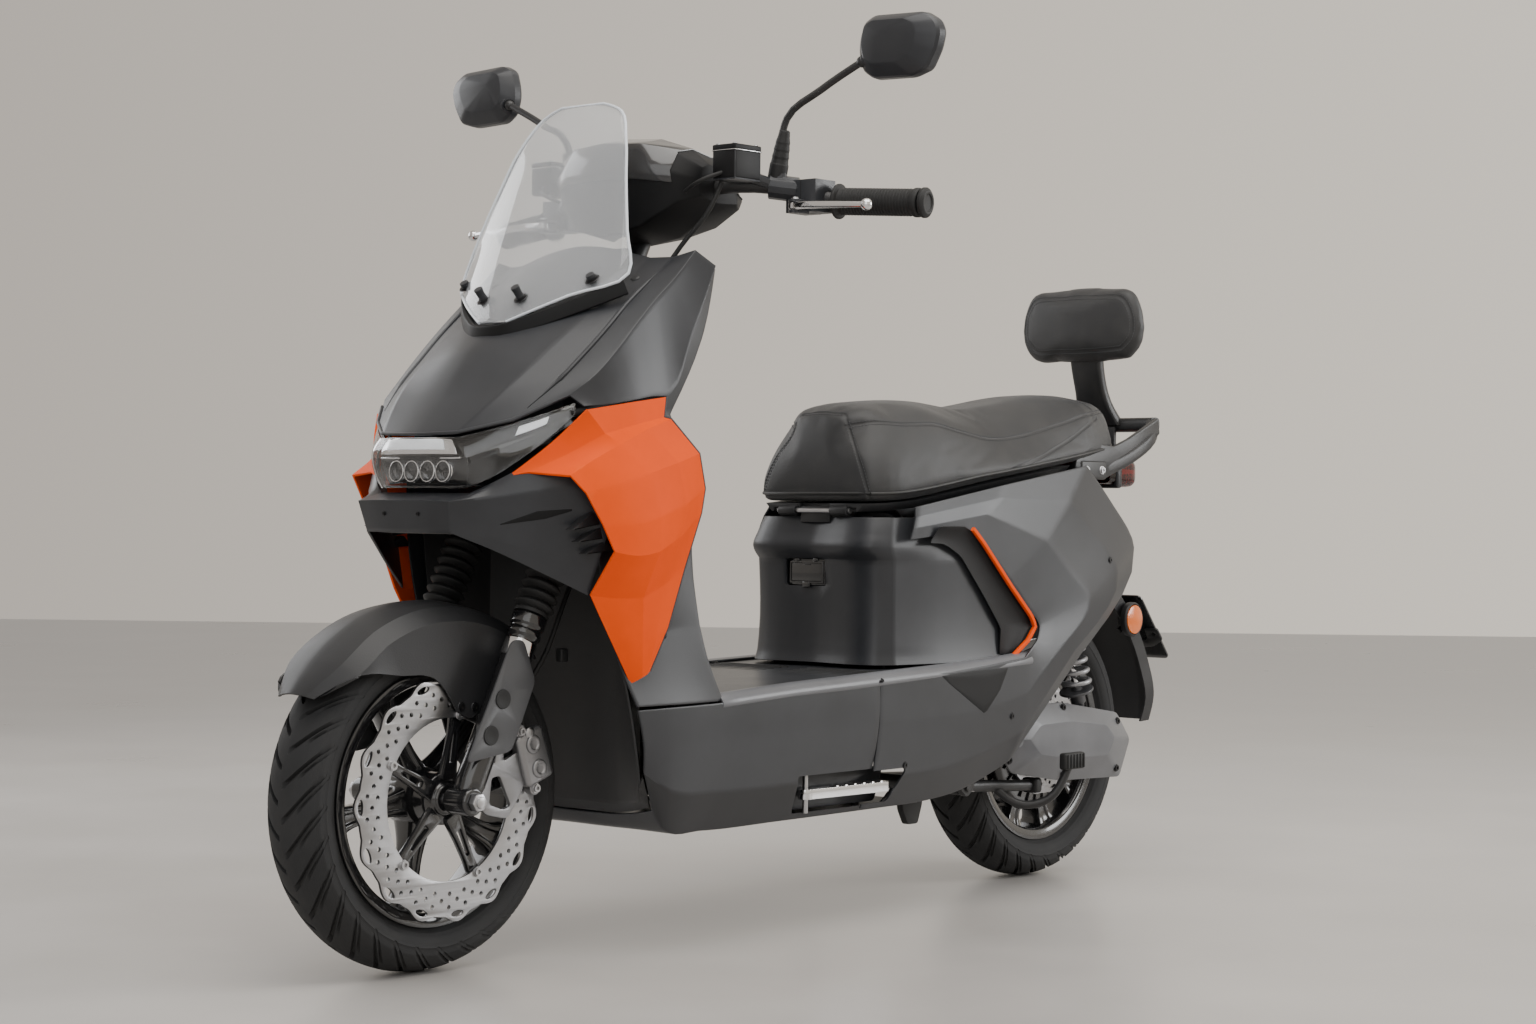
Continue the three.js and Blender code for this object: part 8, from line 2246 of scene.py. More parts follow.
class SCOOTER_OT_seat_box(bpy.types.Operator):
    """Make the seat box with the charging socket, its flap and the seat's hinge"""
    bl_idname = "scooter.seat_box"
    bl_label = "Seat box"

    def execute(self, context):
        sizes = context.scene.scooter_panels
        grid = refined(both_halves(SEAT_BOX_ROWS), sharp_rows=(3,), sharp_columns=(3, 7))
        box = skin("seat_box_shell", grid, spot(-30, 0, 48), sizes.wall, sizes.seam, sizes.edge)
        middle = spot(*FLAP_MIDDLE)
        box = bevelled(carved(box, flap_block("hole", 0, 40, 0, 5)), 0.7 * MM, 2, 50)
        finished(box, "frame", FINISH["satin dark plastic"], ["seat_box"])
        well = carved(flap_block("well", -17, 26, -5, 5), flap_block("room", 0, 50, 1, 5))
        coloured(well, FINISH["matt dark plastic"])
        parts = [well]
        socket = upright(in_metres(filleted(
            [(0, 0), (15, 0), (15, 9), (12.6, 9), (12.6, 3), (9.4, 3), (9.4, 7), (0, 7)], 0.7)),
                         "socket",
                         along(middle + Vector((-25 * MM, -8 * MM, 0)),
                               middle + Vector((10, -8 * MM, 0))), 40, closed=False)
        parts.append(coloured(socket, FINISH["soft rubber"]))
        for dy, dz in ((-12, 0), (-6, 4), (-6, -4)):
            pin = upright(in_metres([(0, 0), (1.3, 0), (1.3, 9), (0.8, 9.8), (0, 9.8)]), "contact",
                          along(middle + Vector((-24, dy, dz)) * MM,
                                middle + Vector((10000, dy, dz)) * MM), 16, closed=False)
            parts.append(coloured(pin, FINISH["bolt steel"]))
        finished(soften(merged("charging_socket", *parts)), "frame", None)
        flap = flap_block("charge_flap_door", -1.1, 3.4, 1.6, 1.2)
        panel = flap_block("face", 0.9, 1.6, 14, 0.7)
        tab = rounded_box("tab", middle + Vector((0.7 * MM, 0, FLAP_HEIGHT * 0.5 - 7 * MM)),
                          (3 * MM, 18 * MM, 6 * MM), 1.2 * MM)
        rim = carved(flap_block("rim", 1.4, 2.4, 7, 1.1), flap_block("room", 2.4, 4, 13, 1.6))
        catch = rounded_box("catch", middle + Vector((1.6 * MM, 0, -FLAP_HEIGHT * 0.5 + 2 * MM)),
                            (5 * MM, 14 * MM, 9 * MM), 1.6 * MM)
        pins = [rounded_box("pin", middle + Vector((1.6 * MM, dy * MM, FLAP_HEIGHT * 0.5 - 2 * MM)),
                            (5 * MM, 9 * MM, 6 * MM), 1.8 * MM)
                for dy in (-18, 18)]
        finished(soften(merged("charge_flap_knuckles", *pins)), "frame",
                 FINISH["gloss black paint"])
        door = soften(merged("charge_flap_door", flap, panel, tab, rim, catch))
        finished(door, "flap", FINISH["gloss black paint"], ["charge_flap"])
        pin = spot(-12.8, 0, 59.3)
        rod_part = tube("rod", [pin - LEFT * 70 * MM, pin + LEFT * 70 * MM], 4 * MM, 24,
                        smooth=False)
        coloured(rod_part, FINISH["bolt steel"])
        plate = rounded_box("plate", pin + Vector((-4, 0, -6)) * MM, (6 * MM, 56 * MM, 24 * MM),
                            1.4 * MM)
        coloured(plate, FINISH["black frame paint"])
        finished(soften(merged("seat_hinge", rod_part, plate)), "frame", None)
        return {"FINISHED"}


INSERT_INNER = [(931, 543), (945, 544), (961, 556), (984, 596), (1001, 628), (1000, 654)]
INSERT_OUTER = [(942, 527), (968, 527), (984, 545), (1010, 586), (1032, 622), (1014, 655)]
ACCENT_LINE = [(973, 529), (984, 544), (1010, 585), (1031, 616), (1035, 626), (1028, 640),
               (1013, 656)]


class SCOOTER_OT_tail(bpy.types.Operator):
    """Make the tail panels with their inserts, accent strips and screws"""
    bl_idname = "scooter.tail"
    bl_label = "Tail panels"

    def execute(self, context):
        sizes = context.scene.scooter_panels
        grid = refined(left_rows(TAIL_ROWS), sharp_rows=(3, 4, 7, 8), sharp_columns=(1, 2))
        shell = skin("tail_shell_left", grid, spot(-35, 0, 40), sizes.wall, sizes.seam, sizes.edge)
        hole = lofted("hole", [recess_ring(-3.4, 13.4, 1), recess_ring(-3.4, 21.5, 1)])
        shell = carved(shell, hole)
        shell.data.materials.append(FINISH["satin dark plastic"])
        face = surface_of(shell)
        twin = mirrored(shell, "tail_shell_right")
        finished(shell, "frame", None, ["tail_panel_left"])
        finished(twin, "frame", None, ["tail_panel_right"])
        near = [at_side(u, v, 158 * MM) for u, v in resampled(INSERT_INNER, 24)]
        far = [at_side(u, v, 164 * MM) for u, v in resampled(INSERT_OUTER, 24)]
        rows = [near, [a.lerp(b, 0.12) - LEFT * 2 * MM for a, b in zip(near, far)],
                [a.lerp(b, 0.8) - LEFT * 3 * MM for a, b in zip(near, far)], far]
        insert = skin("tail_insert_left", rows, spot(-35, 0, 48), 2 * MM, 0, 0.6 * MM)
        finished_pair(insert, "tail_insert_right", "frame", FINISH["insert plastic"])
        line = [at_side(u, v, 168 * MM) for u, v in resampled(ACCENT_LINE, 30)]
        strip = bar_along("tail_accent_left", line, 3.4 * MM, 3 * MM, LEFT, (0,), 0.3)
        finished_pair(strip, "tail_accent_right", "frame", FINISH["orange plastic"])
        shelf = inlay("side_recess_left", [(942, 676), (975, 671), (1008, 668)],
                      [(950, 684), (985, 714), (1000, 690)], face,
                      0.5 * MM, 1.4 * MM, 16, 6, 0.5 * MM)
        finished_pair(shelf, "side_recess_right", "frame", FINISH["insert plastic"])
        places, ways = [], []
        for u, v in ((1012, 716), (870, 540), (1110, 560), (905, 765)):
            place, normal = seen(face, u, v)
            for side in BOTH_SIDES:
                places.append(Vector((place.x, place.y * side, place.z)))
                ways.append(Vector((normal.x, normal.y * side, normal.z)))
        bolts("tail_plugs", places, ways, "frame", 4.2 * MM, 2 * MM, 6 * MM, "dark bolt")
        return {"FINISHED"}


# Seat and backrest


class CushionSizes(bpy.types.PropertyGroup):
    pressure: bpy.props.FloatProperty(
        name="Filling pressure", description="How hard the filling pushes at the cover",
        default=4.0, min=0)
    voxel: bpy.props.FloatProperty(
        name="Cover mesh", description="Cell size of the cover while it is filled", default=5 * MM,
        unit="LENGTH")
    swell: bpy.props.FloatProperty(
        name="Greatest swell", description="How far a place on the cover may move", default=22 * MM,
        unit="LENGTH")
    settling: bpy.props.IntProperty(
        name="Settling", description="How far the foam under the cover evens its creases out",
        default=9, min=0)
    groove: bpy.props.FloatProperty(
        name="Seam depth", description="How deep the sewn seams draw in", default=1.5 * MM,
        unit="LENGTH")


SEAT_STATIONS = [
    (-12.6, 60.4, 11.2, 74.6, 5.4), (-16, 60.5, 13, 75.7, 8), (-22, 61, 14, 75.9, 10),
    (-28, 62, 14.6, 76, 11.2),
    (-35, 63.2, 15, 74.8, 11.8), (-42, 64.3, 15.2, 74, 12), (-50, 65.4, 15.2, 74.8, 12.2),
    (-60, 66.8, 15, 76.5, 12.4),
    (-70, 68.2, 14, 78.2, 11.6), (-74.6, 68.9, 12.2, 78, 10), (-76.4, 69.6, 10.4, 76, 8.6),
]
SEAT_HALF = [(0.93, 1, 0, 0), (1, 1, 0, 0.12), (0.7, 1, 0.32, 0.5), (0, 1, 1.06, 0.8),
             (0, 1, 0.9, 0.94), (0, 1, 0.5, 1),
             (0, 1, 0, 1.01)]


def seat_ring(station, shrink):
    """One section of the seat, drawn in by a distance in centimetres."""
    x, foot, foot_half, top, top_half = station
    foot, top = foot + shrink * 0.3, top - shrink
    rise = top - foot
    lean = 1.0 if x > -13 else 0.0
    left = []
    for foot_share, _, top_share, height in SEAT_HALF:
        half = max(foot_half * foot_share + top_half * top_share
                   - shrink * (1 if foot_share or top_share else 0), 0)
        left.append(spot(x - lean * height, half, foot + rise * height))
    left[-1].y = 0
    return left + [Vector((p.x, -p.y, p.z)) for p in reversed(left[:-1])]


def stuffed(piece, held, sizes):
    """Fills a closed cover like a cushion: the pressed cloth swells, and no place moves too far."""
    modifier = piece.modifiers.new("Even cover", "REMESH")
    modifier.mode = "VOXEL"
    modifier.voxel_size = sizes.voxel
    piece = applied(piece, 80.0)
    before = [v.co.copy() for v in piece.data.vertices]
    group = piece.vertex_groups.new(name="held")
    for i, place in enumerate(before):
        group.add([i], held(place), "REPLACE")
    cloth = piece.modifiers.new("Filling", "CLOTH")
    cloth.settings.use_pressure = True
    cloth.settings.uniform_pressure_force = sizes.pressure
    cloth.settings.vertex_group_mass = "held"
    cloth.settings.quality = 5
    cloth.settings.effector_weights.gravity = 0
    scene = bpy.context.scene
    for step in range(1, 21):
        scene.frame_set(step)
    graph = bpy.context.evaluated_depsgraph_get()
    after = [v.co.copy() for v in piece.evaluated_get(graph).data.vertices]
    piece.modifiers.clear()
    piece.vertex_groups.clear()
    scene.frame_set(1)
    for vertex, start, end in zip(piece.data.vertices, before, after):
        way = end - start
        reach = min(way.length, sizes.swell)
        vertex.co = start + (way.normalized() * reach if reach else way)
    smooth = piece.modifiers.new("Settled foam", "SMOOTH")
    smooth.factor = 0.5
    smooth.iterations = sizes.settling
    return divided(applied(piece, 80.0), 1, 80.0)


def drawn_in(piece, paths, width, depth):
    """Draws the cover in along sewn seams."""
    tree = KDTree(sum(len(path) for path in paths))
    index = 0
    for path in paths:
        for place in path:
            tree.insert(place, index)
            index += 1
    tree.balance()
    normals = [v.normal.copy() for v in piece.data.vertices]
    for vertex, normal in zip(piece.data.vertices, normals):
        _, _, distance = tree.find(vertex.co)
        if distance < 5 * width:
            vertex.co -= normal * depth * math.exp(-(distance / width) ** 2)
    piece.data.update()
    return piece


def dense(path, pitch=1.5 * MM):
    line = []
    for a, b in zip(path, path[1:]):
        count = max(1, int((b - a).length / pitch))
        line += [a.lerp(b, i / count) for i in range(count)]
    return line + [path[-1]]


def over_top(surface, left):
    """Carries a seam from the left side over the top to the right side."""
    right = [Vector((p.x, -p.y, p.z)) for p in reversed(left)]
    edge = left[-1]
    middle = []
    for i in range(1, 16):
        y = edge.y * (1 - 2 * i / 16)
        bow = 6 * MM * (1 - (y / max(edge.y, 1e-6)) ** 2)
        place, _, _, _ = surface.ray_cast(Vector((edge.x + bow, y, 1.2)), Vector((0, 0, -1)))
        if place is not None:
            middle.append(place)
    return left + middle + right


def lifted(surface, path, lift, sideways=0.0):
    """A path moved off the surface, and to one side of itself."""
    moved = []
    for i, place in enumerate(path):
        before, after = path[max(i - 1, 0)], path[min(i + 1, len(path) - 1)]
        _, normal, _, _ = surface.find_nearest(place)
        aside = (after - before).normalized().cross(normal)
        target = place + aside * sideways
        near, normal, _, _ = surface.find_nearest(target)
        moved.append(near + normal * lift)
    return moved


SEAT_SEAMS = [[(872, 507), (862, 470), (850, 432), (845, 414)],
              [(1012, 470), (1040, 458), (1072, 438), (1096, 418)]]


def seat_side_seam(surface):
    """The seam where the seat's top panel meets its sides."""
    places = []
    for x, foot, _, top, top_half in SEAT_STATIONS:
        rise = top - foot
        target = spot(x + (0.4 if x > -14 else 0), top_half * 1.04 + 0.6, foot + rise * 0.84)
        near, _, _, _ = surface.find_nearest(target)
        places.append(near)
    line = spline(places, (0, 0.1, 0.2, 0.3, 0.4, 0.5, 0.6, 0.7, 0.8, 0.9))
    return [surface.find_nearest(p)[0] for p in line]


class SCOOTER_OT_seat(bpy.types.Operator):
    """Make the filled seat cushion with its seams, stitches, piping and pan"""
    bl_idname = "scooter.seat"
    bl_label = "Seat"

    def execute(self, context):
        sizes = context.scene.scooter_cushions
        rings = [seat_ring(station, 0.9) for station in SEAT_STATIONS]
        count = len(rings[0])
        lines = [spline([ring[i] for ring in rings], EVEN_STEPS) for i in range(count)]
        rounds = [[line[k] for line in lines] for k in range(len(lines[0]))]
        rounds = [spline(ring, (0, 0.33, 0.67)) for ring in rounds]
        cushion = lofted("seat_cushion_cover", rounds, angle=80.0)
        low = SEAT_STATIONS[0][1] * CM

        def held(place):
            along_seat = (MIDDLE_X - 0.126 - place.x) / 0.64
            foot = low + along_seat * 0.092
            return 1.0 if place.z < foot + 14 * MM else 0.0

        cushion = stuffed(cushion, held, sizes)
        cushion.name = "seat_cushion_cover"
        face = surface_of(cushion)
        seams = [over_top(face, [seen(face, u, v)[0] for u, v in resampled(line, 12)])
                 for line in SEAT_SEAMS]
        side = seat_side_seam(face)
        round_seam = side + [Vector((p.x, -p.y, p.z)) for p in reversed(side)]
        paths = [dense(path) for path in seams + [round_seam]]
        drawn_in(cushion, paths, 2.2 * MM, sizes.groove)
        finished(cushion, "seat", FINISH["seat vinyl"], ["seat_cushion"])
        face = surface_of(cushion)
        threads = []
        for path in seams + [round_seam]:
            for way in (1, -1):
                threads.append(lifted(face, path, 0.35 * MM, way * 3.4 * MM))
        for i, path in enumerate(threads):
            stitched("seat_stitches_%d" % i, path, "seat")
        foot = []
        for x, low_edge, half, _, _ in SEAT_STATIONS:
            near, normal, _, _ = face.find_nearest(spot(x + (0.6 if x > -13 else 0), half + 0.4,
                                                        low_edge + 0.9))
            foot.append(near + normal * 0.6 * MM)
        foot = foot + [Vector((p.x, -p.y, p.z)) for p in reversed(foot)]
        piping = tube("seat_piping", foot + [foot[0]], 2.6 * MM, 8, EVEN_STEPS)
        finished(piping, "seat", FINISH["piping vinyl"])
        pan = bevelled(cad_copy("seat_pan", "seat_pan_moulding"), 1.2 * MM, 2)
        finished(pan, "seat", FINISH["matt dark plastic"], ["seat_pan"])
        return {"FINISHED"}


PAD = {"x": -82.5, "side": 12.0, "low": 85.5, "high": 96.3, "depth": 4.2}
PAD_RING = [(0.82, 0), (1, 0.2), (1, 0.7), (0.86, 0.94), (0.5, 1), (-0.5, 1), (-0.86, 0.94),
            (-1, 0.7), (-1, 0.2),
            (-0.82, 0), (-0.4, -0.03), (0.4, -0.03)]
PAD_LAYERS = [(0.9, -0.5), (1, -0.3), (1, 0.1), (0.94, 0.34), (0.8, 0.46), (0.45, 0.5)]


class SCOOTER_OT_backrest(bpy.types.Operator):
    """Make the filled backrest pad with its seam and stitches"""
    bl_idname = "scooter.backrest"
    bl_label = "Backrest pad"

    def execute(self, context):
        sizes = context.scene.scooter_cushions
        rise = PAD["high"] - PAD["low"]
        rings = []
        for shrink, depth in PAD_LAYERS:
            ring = []
            for u, v in PAD_RING:
                height = (PAD["low"] + PAD["high"]) / 2 - 0.1 + (rise + 1.1) * (v - 0.5) * shrink
                ring.append(spot(PAD["x"] + depth * (PAD["depth"] - 0.8),
                                 u * (PAD["side"] - 0.5) * shrink, height))
            rings.append(spline(ring + [ring[0]], EVEN_STEPS)[:-1])
        pad = lofted("backrest_pad_cover", rings, angle=80.0)
        back = MIDDLE_X + (PAD["x"] - PAD["depth"] * 0.36) * CM
        pad = stuffed(pad, lambda place: 1.0 if place.x < back else 0.0, sizes)
        pad.name = "backrest_pad_cover"
        face = surface_of(pad)
        loop = []
        for u, v in PAD_RING:
            target = spot(PAD["x"] + 1.9, u * PAD["side"] * 0.88,
                          PAD["low"] + rise * (0.5 + (v - 0.5) * 0.82))
            loop.append(face.find_nearest(target)[0])
        loop = [face.find_nearest(p)[0] for p in spline(loop + [loop[0]], EVEN_STEPS)]
        drawn_in(pad, [dense(loop)], 3.2 * MM, sizes.groove * 0.8)
        finished(pad, "frame", FINISH["seat vinyl"], ["backrest_pad"])
        face = surface_of(pad)
        for i, way in enumerate((1, -1)):
            stitched("backrest_stitches_%d" % i, lifted(face, loop, 0.5 * MM, way * 4 * MM),
                     "frame")
        plate = rounded_box(
            "backrest_plate", spot(PAD["x"] - PAD["depth"] * 0.5 - 0.25, 0,
                                   (PAD["low"] + PAD["high"]) / 2),
            (5 * MM, 190 * MM, 78 * MM), 2.4 * MM, 4)
        finished(plate, "frame", FINISH["matt dark plastic"])
        return {"FINISHED"}


# Grab rail, tail light and rear mudguard


RAIL_FACET = [(-61.4, 64.9), (-61.8, 67.6), (-67.6, 70.4), (-72.6, 70), (-77, 71.4), (-85.4, 74.9),
              (-86, 72.4), (-77.2, 67.2), (-70, 64.7)]
RAIL_ARM = [(-62, 12, 65.8), (-70, 12.2, 66.2), (-78, 12.6, 68.6), (-84, 12.4, 71.6),
            (-88, 10.4, 74)]
RAIL_BAR = (-88, 10.6, 74)


def rounded_ring(centre, side, rise, half_side, half_rise, corner=0.45, count=5):
    """A ring of points round a centre: a round-cornered box in the plane of side and rise."""
    flat = [(half_side, half_rise), (-half_side, half_rise), (-half_side, -half_rise),
            (half_side, -half_rise)]
    flat = filleted(flat, min(half_side, half_rise) * 2 * corner, count, closed=True)
    return [centre + side * a + rise * b for a, b in flat]


def bar_along(name, places, half_side, half_rise, up=UP, steps=EVEN_STEPS, corner=0.4):
    """A bar with a rounded rectangular section along a smooth path."""
    path = spline(places, steps)
    rings = []
    for i, place in enumerate(path):
        ahead = (path[min(i + 1, len(path) - 1)] - path[max(i - 1, 0)]).normalized()
        side = ahead.cross(up).normalized()
        rise = side.cross(ahead).normalized()
        rings.append(rounded_ring(place, side, rise, half_side, half_rise, corner))
    return lofted(name, rings, angle=40.0)


class SCOOTER_OT_grab_rail(bpy.types.Operator):
    """Make the grab rail with the backrest's stalk and its fixings"""
    bl_idname = "scooter.grab_rail"
    bl_label = "Grab rail"

    def execute(self, context):
        parts = []
        arm = bar_along("arm", [spot(*p) for p in RAIL_ARM], 11 * MM, 12 * MM)
        parts += [arm, mirrored(arm, "arm right")]
        x, y, z = RAIL_BAR
        bar = bar_along("bar", [spot(x, y + 0.4, z), spot(x - 0.4, y * 0.5, z), spot(x - 0.5, 0, z),
                                spot(x - 0.4, -y * 0.5, z), spot(x, -y - 0.4, z)], 12 * MM, 12 * MM)
        parts.append(bar)
        stations = [(x, z, 4.6, 1.4), (x + 2, z + 4, 3.2, 1.1), (-84.1, 83.5, 3, 1),
                    (-83.5, 89.5, 3.4, 1)]
        rings = []
        for px, pz, half, depth in stations:
            rings.append(rounded_ring(spot(px, 0, pz), LEFT, Vector((1, 0, 0)), half * CM,
                                      depth * CM, 0.5))
        lines = [spline([ring[i] for ring in rings], EVEN_STEPS) for i in range(len(rings[0]))]
        parts.append(lofted("stalk", [[line[k] for line in lines] for k in range(len(lines[0]))],
                            angle=40.0))
        for side in BOTH_SIDES:
            post = tube("post", [spot(-65, 11.6 * side, 60.05), spot(-65, 11.6 * side, 65.8)],
                        9 * MM, 24, smooth=False)
            block = rounded_box("block", spot(-66.5, 12.9 * side, 66.1),
                                (72 * MM, 14 * MM, 30 * MM), 4 * MM, 4)
            parts += [post, block]
            facet = [(a * CM, b * CM) for a, b in filleted(RAIL_FACET, 0.35, 3, closed=True)]
            parts.append(flat_plate("facet", [facet], 9 * MM,
                                    beside(Vector((MIDDLE_X, 12.9 * CM * side, 0))), 2.2 * MM))
        hanger = rounded_box("hanger", spot(-87, 0, 70.9), (8 * MM, 75 * MM, 55 * MM), 2 * MM)
        parts.append(hanger)
        for part in parts:
            coloured(part, FINISH["black frame paint"])
        finished(soften(merged("grab_rail_casting", *parts), 24), "frame", None,
                 ["grab_rail"])
        places, ways = [], []
        for side in BOTH_SIDES:
            for dx in (-2.2, 2.2):
                places.append(spot(-66.5 + dx, 13.6 * side, 66.1))
                ways.append(LEFT * side)
        for dy in (-1.8, 1.8):
            places.append(spot(-85.1, dy, 82))
            ways.append(Vector((-1, 0, 0)))
        bolts("grab_rail_bolts", places, ways, "frame", 5 * MM, 3 * MM, 7 * MM, "bolt steel")
        return {"FINISHED"}


LAMP = {"front": -80, "rear": -90, "side": 7.5, "low": 63.5, "high": 68}


def lamp_rings(shrink):
    stations = [(LAMP["front"], 1.0, 0.6, 0.0), ((LAMP["front"] + LAMP["rear"]) / 2, 1.0, 0.0, 0.0),
                (LAMP["rear"] + 1.6, 0.92, 0.3, 0.0), (LAMP["rear"], 0.72, 1.2, -0.6)]
    rings = []
    for x, wide, foot, top in stations:
        low, high = LAMP["low"] + foot, LAMP["high"] + top
        half = LAMP["side"] * wide * CM - shrink
        rings.append(rounded_ring(
            spot(x, 0, (low + high) / 2), LEFT, UP, half, (high - low) / 2 * CM - shrink, 0.3))
    lines = [spline([ring[i] for ring in rings], EVEN_STEPS) for i in range(len(rings[0]))]
    return [[line[k] for line in lines] for k in range(len(lines[0]))]


class SCOOTER_OT_tail_light(bpy.types.Operator):
    """Make the tail light with its rows of lights and its bezel"""
    bl_idname = "scooter.tail_light"
    bl_label = "Tail light"

    def execute(self, context):
        lens = lofted("tail_light_lens", lamp_rings(0), angle=SHARP_TURN)
        finished(lens, "frame", FINISH["red lens"], ["tail_light"])
        cells = []
        for row in range(2):
            for i in range(9):
                y = -5.2 + 1.3 * i
                x = LAMP["rear"] - 0.05 + 0.012 * y * y
                cells.append(rounded_box("cell", spot(x, y, 65.4 + row * 1.3),
                                         (4 * MM, 9 * MM, 8 * MM), 2 * MM, 2))
        finished(soften(merged("tail_light_cells", *cells)), "frame", FINISH["red reflector"])
        bezel = rounded_box("tail_light_bezel", spot(LAMP["front"] - 2.4, 0, 65.9),
                            (16 * MM, 158 * MM, 52 * MM), 5 * MM, 4)
        finished(bezel, "frame", FINISH["satin dark plastic"])
        return {"FINISHED"}


MUDGUARD_RADIUS = 300 * MM
MUDGUARD_ANGLES = (58, 72, 86, 100, 114, 128, 142, 156, 168, 177)
PLATE_HIGH = (1.069, 134.75)
PLATE_LOW = (1.127, 159.2)
PLATE_HALF = 80 * MM


def round_axle(share, degrees, y):
    angle = math.radians(degrees)
    reach = share * MUDGUARD_RADIUS
    return REAR_AXLE + Vector((reach * math.cos(angle), y, reach * math.sin(angle)))


def plate_matrix(lift):
    """Stands a drawing on the number plate: x to its width, y up it, z out to the rear."""
    top, foot = round_axle(*PLATE_HIGH, 0), round_axle(*PLATE_LOW, 0)
    rise = (top - foot).normalized()
    out = Vector((-rise.z, 0, rise.x))
    wide = rise.cross(out)
    centre = (top + foot) / 2 + out * lift
    return Matrix((
        (wide.x, rise.x, out.x, centre.x), (wide.y, rise.y, out.y, centre.y),
        (wide.z, rise.z, out.z, centre.z), (0, 0, 0, 1)))


class SCOOTER_OT_rear_fender(bpy.types.Operator):
    """Make the rear mudguard with its hangers, plate and reflectors"""
    bl_idname = "scooter.rear_fender"
    bl_label = "Rear mudguard"

    def execute(self, context):
        rows = []
        for i, degrees in enumerate(MUDGUARD_ANGLES):
            narrow = 0.8 if i == len(MUDGUARD_ANGLES) - 1 else 1.0
            half = 70 * narrow
            corners = [(half, 266), (half, 292), (half - 8, 300), (half * 0.5, 301.6), (0, 302)]
            angle = math.radians(degrees)
            left = [REAR_AXLE + Vector((r * MM * math.cos(angle), y * MM, r * MM * math.sin(angle)))
                    for y, r in corners]
            rows.append(left + [Vector((p.x, -p.y, p.z)) for p in reversed(left[:-1])])
        grid = refined(rows, sharp_columns=(1, 7))
        guard = skin("guard", grid, REAR_AXLE, 3 * MM, 0, 0.9 * MM)
        coloured(guard, FINISH["matt dark plastic"])
        length = (round_axle(*PLATE_HIGH, 0) - round_axle(*PLATE_LOW, 0)).length / 2
        outline = box_outline(PLATE_HALF, length, 10 * MM, 5)
        plate = coloured(flat_plate("plate", [outline], 3.4 * MM, plate_matrix(1.8 * MM), 0.7 * MM),
                         FINISH["gloss black paint"])
        inner = box_outline(72 * MM, length - 8 * MM, 7 * MM, 4)
        outer = box_outline(75 * MM, length - 5 * MM, 9 * MM, 4)
        border = coloured(flat_plate("border", [outer, inner], 1.6 * MM, plate_matrix(4 * MM),
                                     0.5 * MM), FINISH["matt dark plastic"])
        parts = [guard, plate, border]
        for side in BOTH_SIDES:
            y = 30 * MM * side
            strut = tube("strut", [round_axle(0.96, 144.7, y), round_axle(1.074, 145.6, y)], 5 * MM,
                         16, smooth=False)
            hang = tube("hanger", [REAR_AXLE + Vector((0, 46 * MM * side, 298 * MM)),
                                   REAR_AXLE + Vector((0, 46 * MM * side, 367 * MM))], 5 * MM, 16,
                        smooth=False)
            ear = rounded_box("ear", REAR_AXLE + Vector((0, 46 * MM * side, 345 * MM)),
                              (22 * MM, 16 * MM, 14 * MM), 3 * MM)
            parts += [coloured(p, FINISH["black frame paint"]) for p in (strut, hang, ear)]
            wing = [(86, 0), (86, -26), (64, -40), (40, -44), (40, -30), (58, -22), (60, 0)]
            flat = in_metres(filleted(wing, 5, 3, closed=True))
            hole = circle(4.2 * MM, 20, (74 * MM, -12 * MM))
            flat = [(a * side, b) for a, b in flat]
            hole = [(a * side, b) for a, b in hole]
            bracket = flat_plate("bracket", [flat, hole], 4 * MM, plate_matrix(-1.6 * MM), 0.8 * MM)
            parts.append(coloured(bracket, FINISH["black frame paint"]))
        finished(soften(merged("rear_mudguard", *parts)), "frame", None,
                 ["rear_fender"])
        matrix = plate_matrix(3.5 * MM)
        out = matrix.to_3x3() @ UP
        places = [matrix @ Vector((x * MM, y * MM, 0)) for x in (-42, 42) for y in (-46, 46)]
        bolts("plate_screws", places, [out] * 4, "frame", 4.4 * MM, 2.4 * MM, 6.5 * MM,
              "bolt steel")
        for side, label in NAMED_SIDES:
            centre = spot(-86, 8 * side, 41.4)
            way = Vector((-0.05, side, 0)).normalized()
            ring = upright(in_metres(filleted([(0, -5), (28.6, -5), (29, 4), (26, 7), (24.2, 4),
                                               (0, 4)], 1.0)),
                           "reflector_ring_" + label, along(centre, centre + way), 40, closed=False)
            finished(ring, "frame", FINISH["matt dark plastic"])
            lens = upright(in_metres([(0, 4.4), (23.8, 4.4), (23.8, 7), (19, 8.6), (0, 9.6)]),
                           "reflector_" + label, along(centre, centre + way), 40, closed=False)
            finished(lens, "frame", FINISH["amber reflector"])
            arm = rounded_box("reflector_arm_" + label, spot(-87, 6.6 * side, 41),
                              (30 * MM, 24 * MM, 14 * MM), 2.4 * MM)
            finished(arm, "frame", FINISH["black frame paint"])
        red = flat_plate("rear_reflector", [box_outline(28 * MM, 9 * MM, 4 * MM, 3)], 5 * MM,
                         plate_matrix(7 * MM) @ Matrix.Translation((0, 44 * MM, 0)), 1.4 * MM)
        finished(red, "frame", FINISH["red reflector"])
        return {"FINISHED"}


# Rear wheel, swingarm, cover, spring and damper, stand


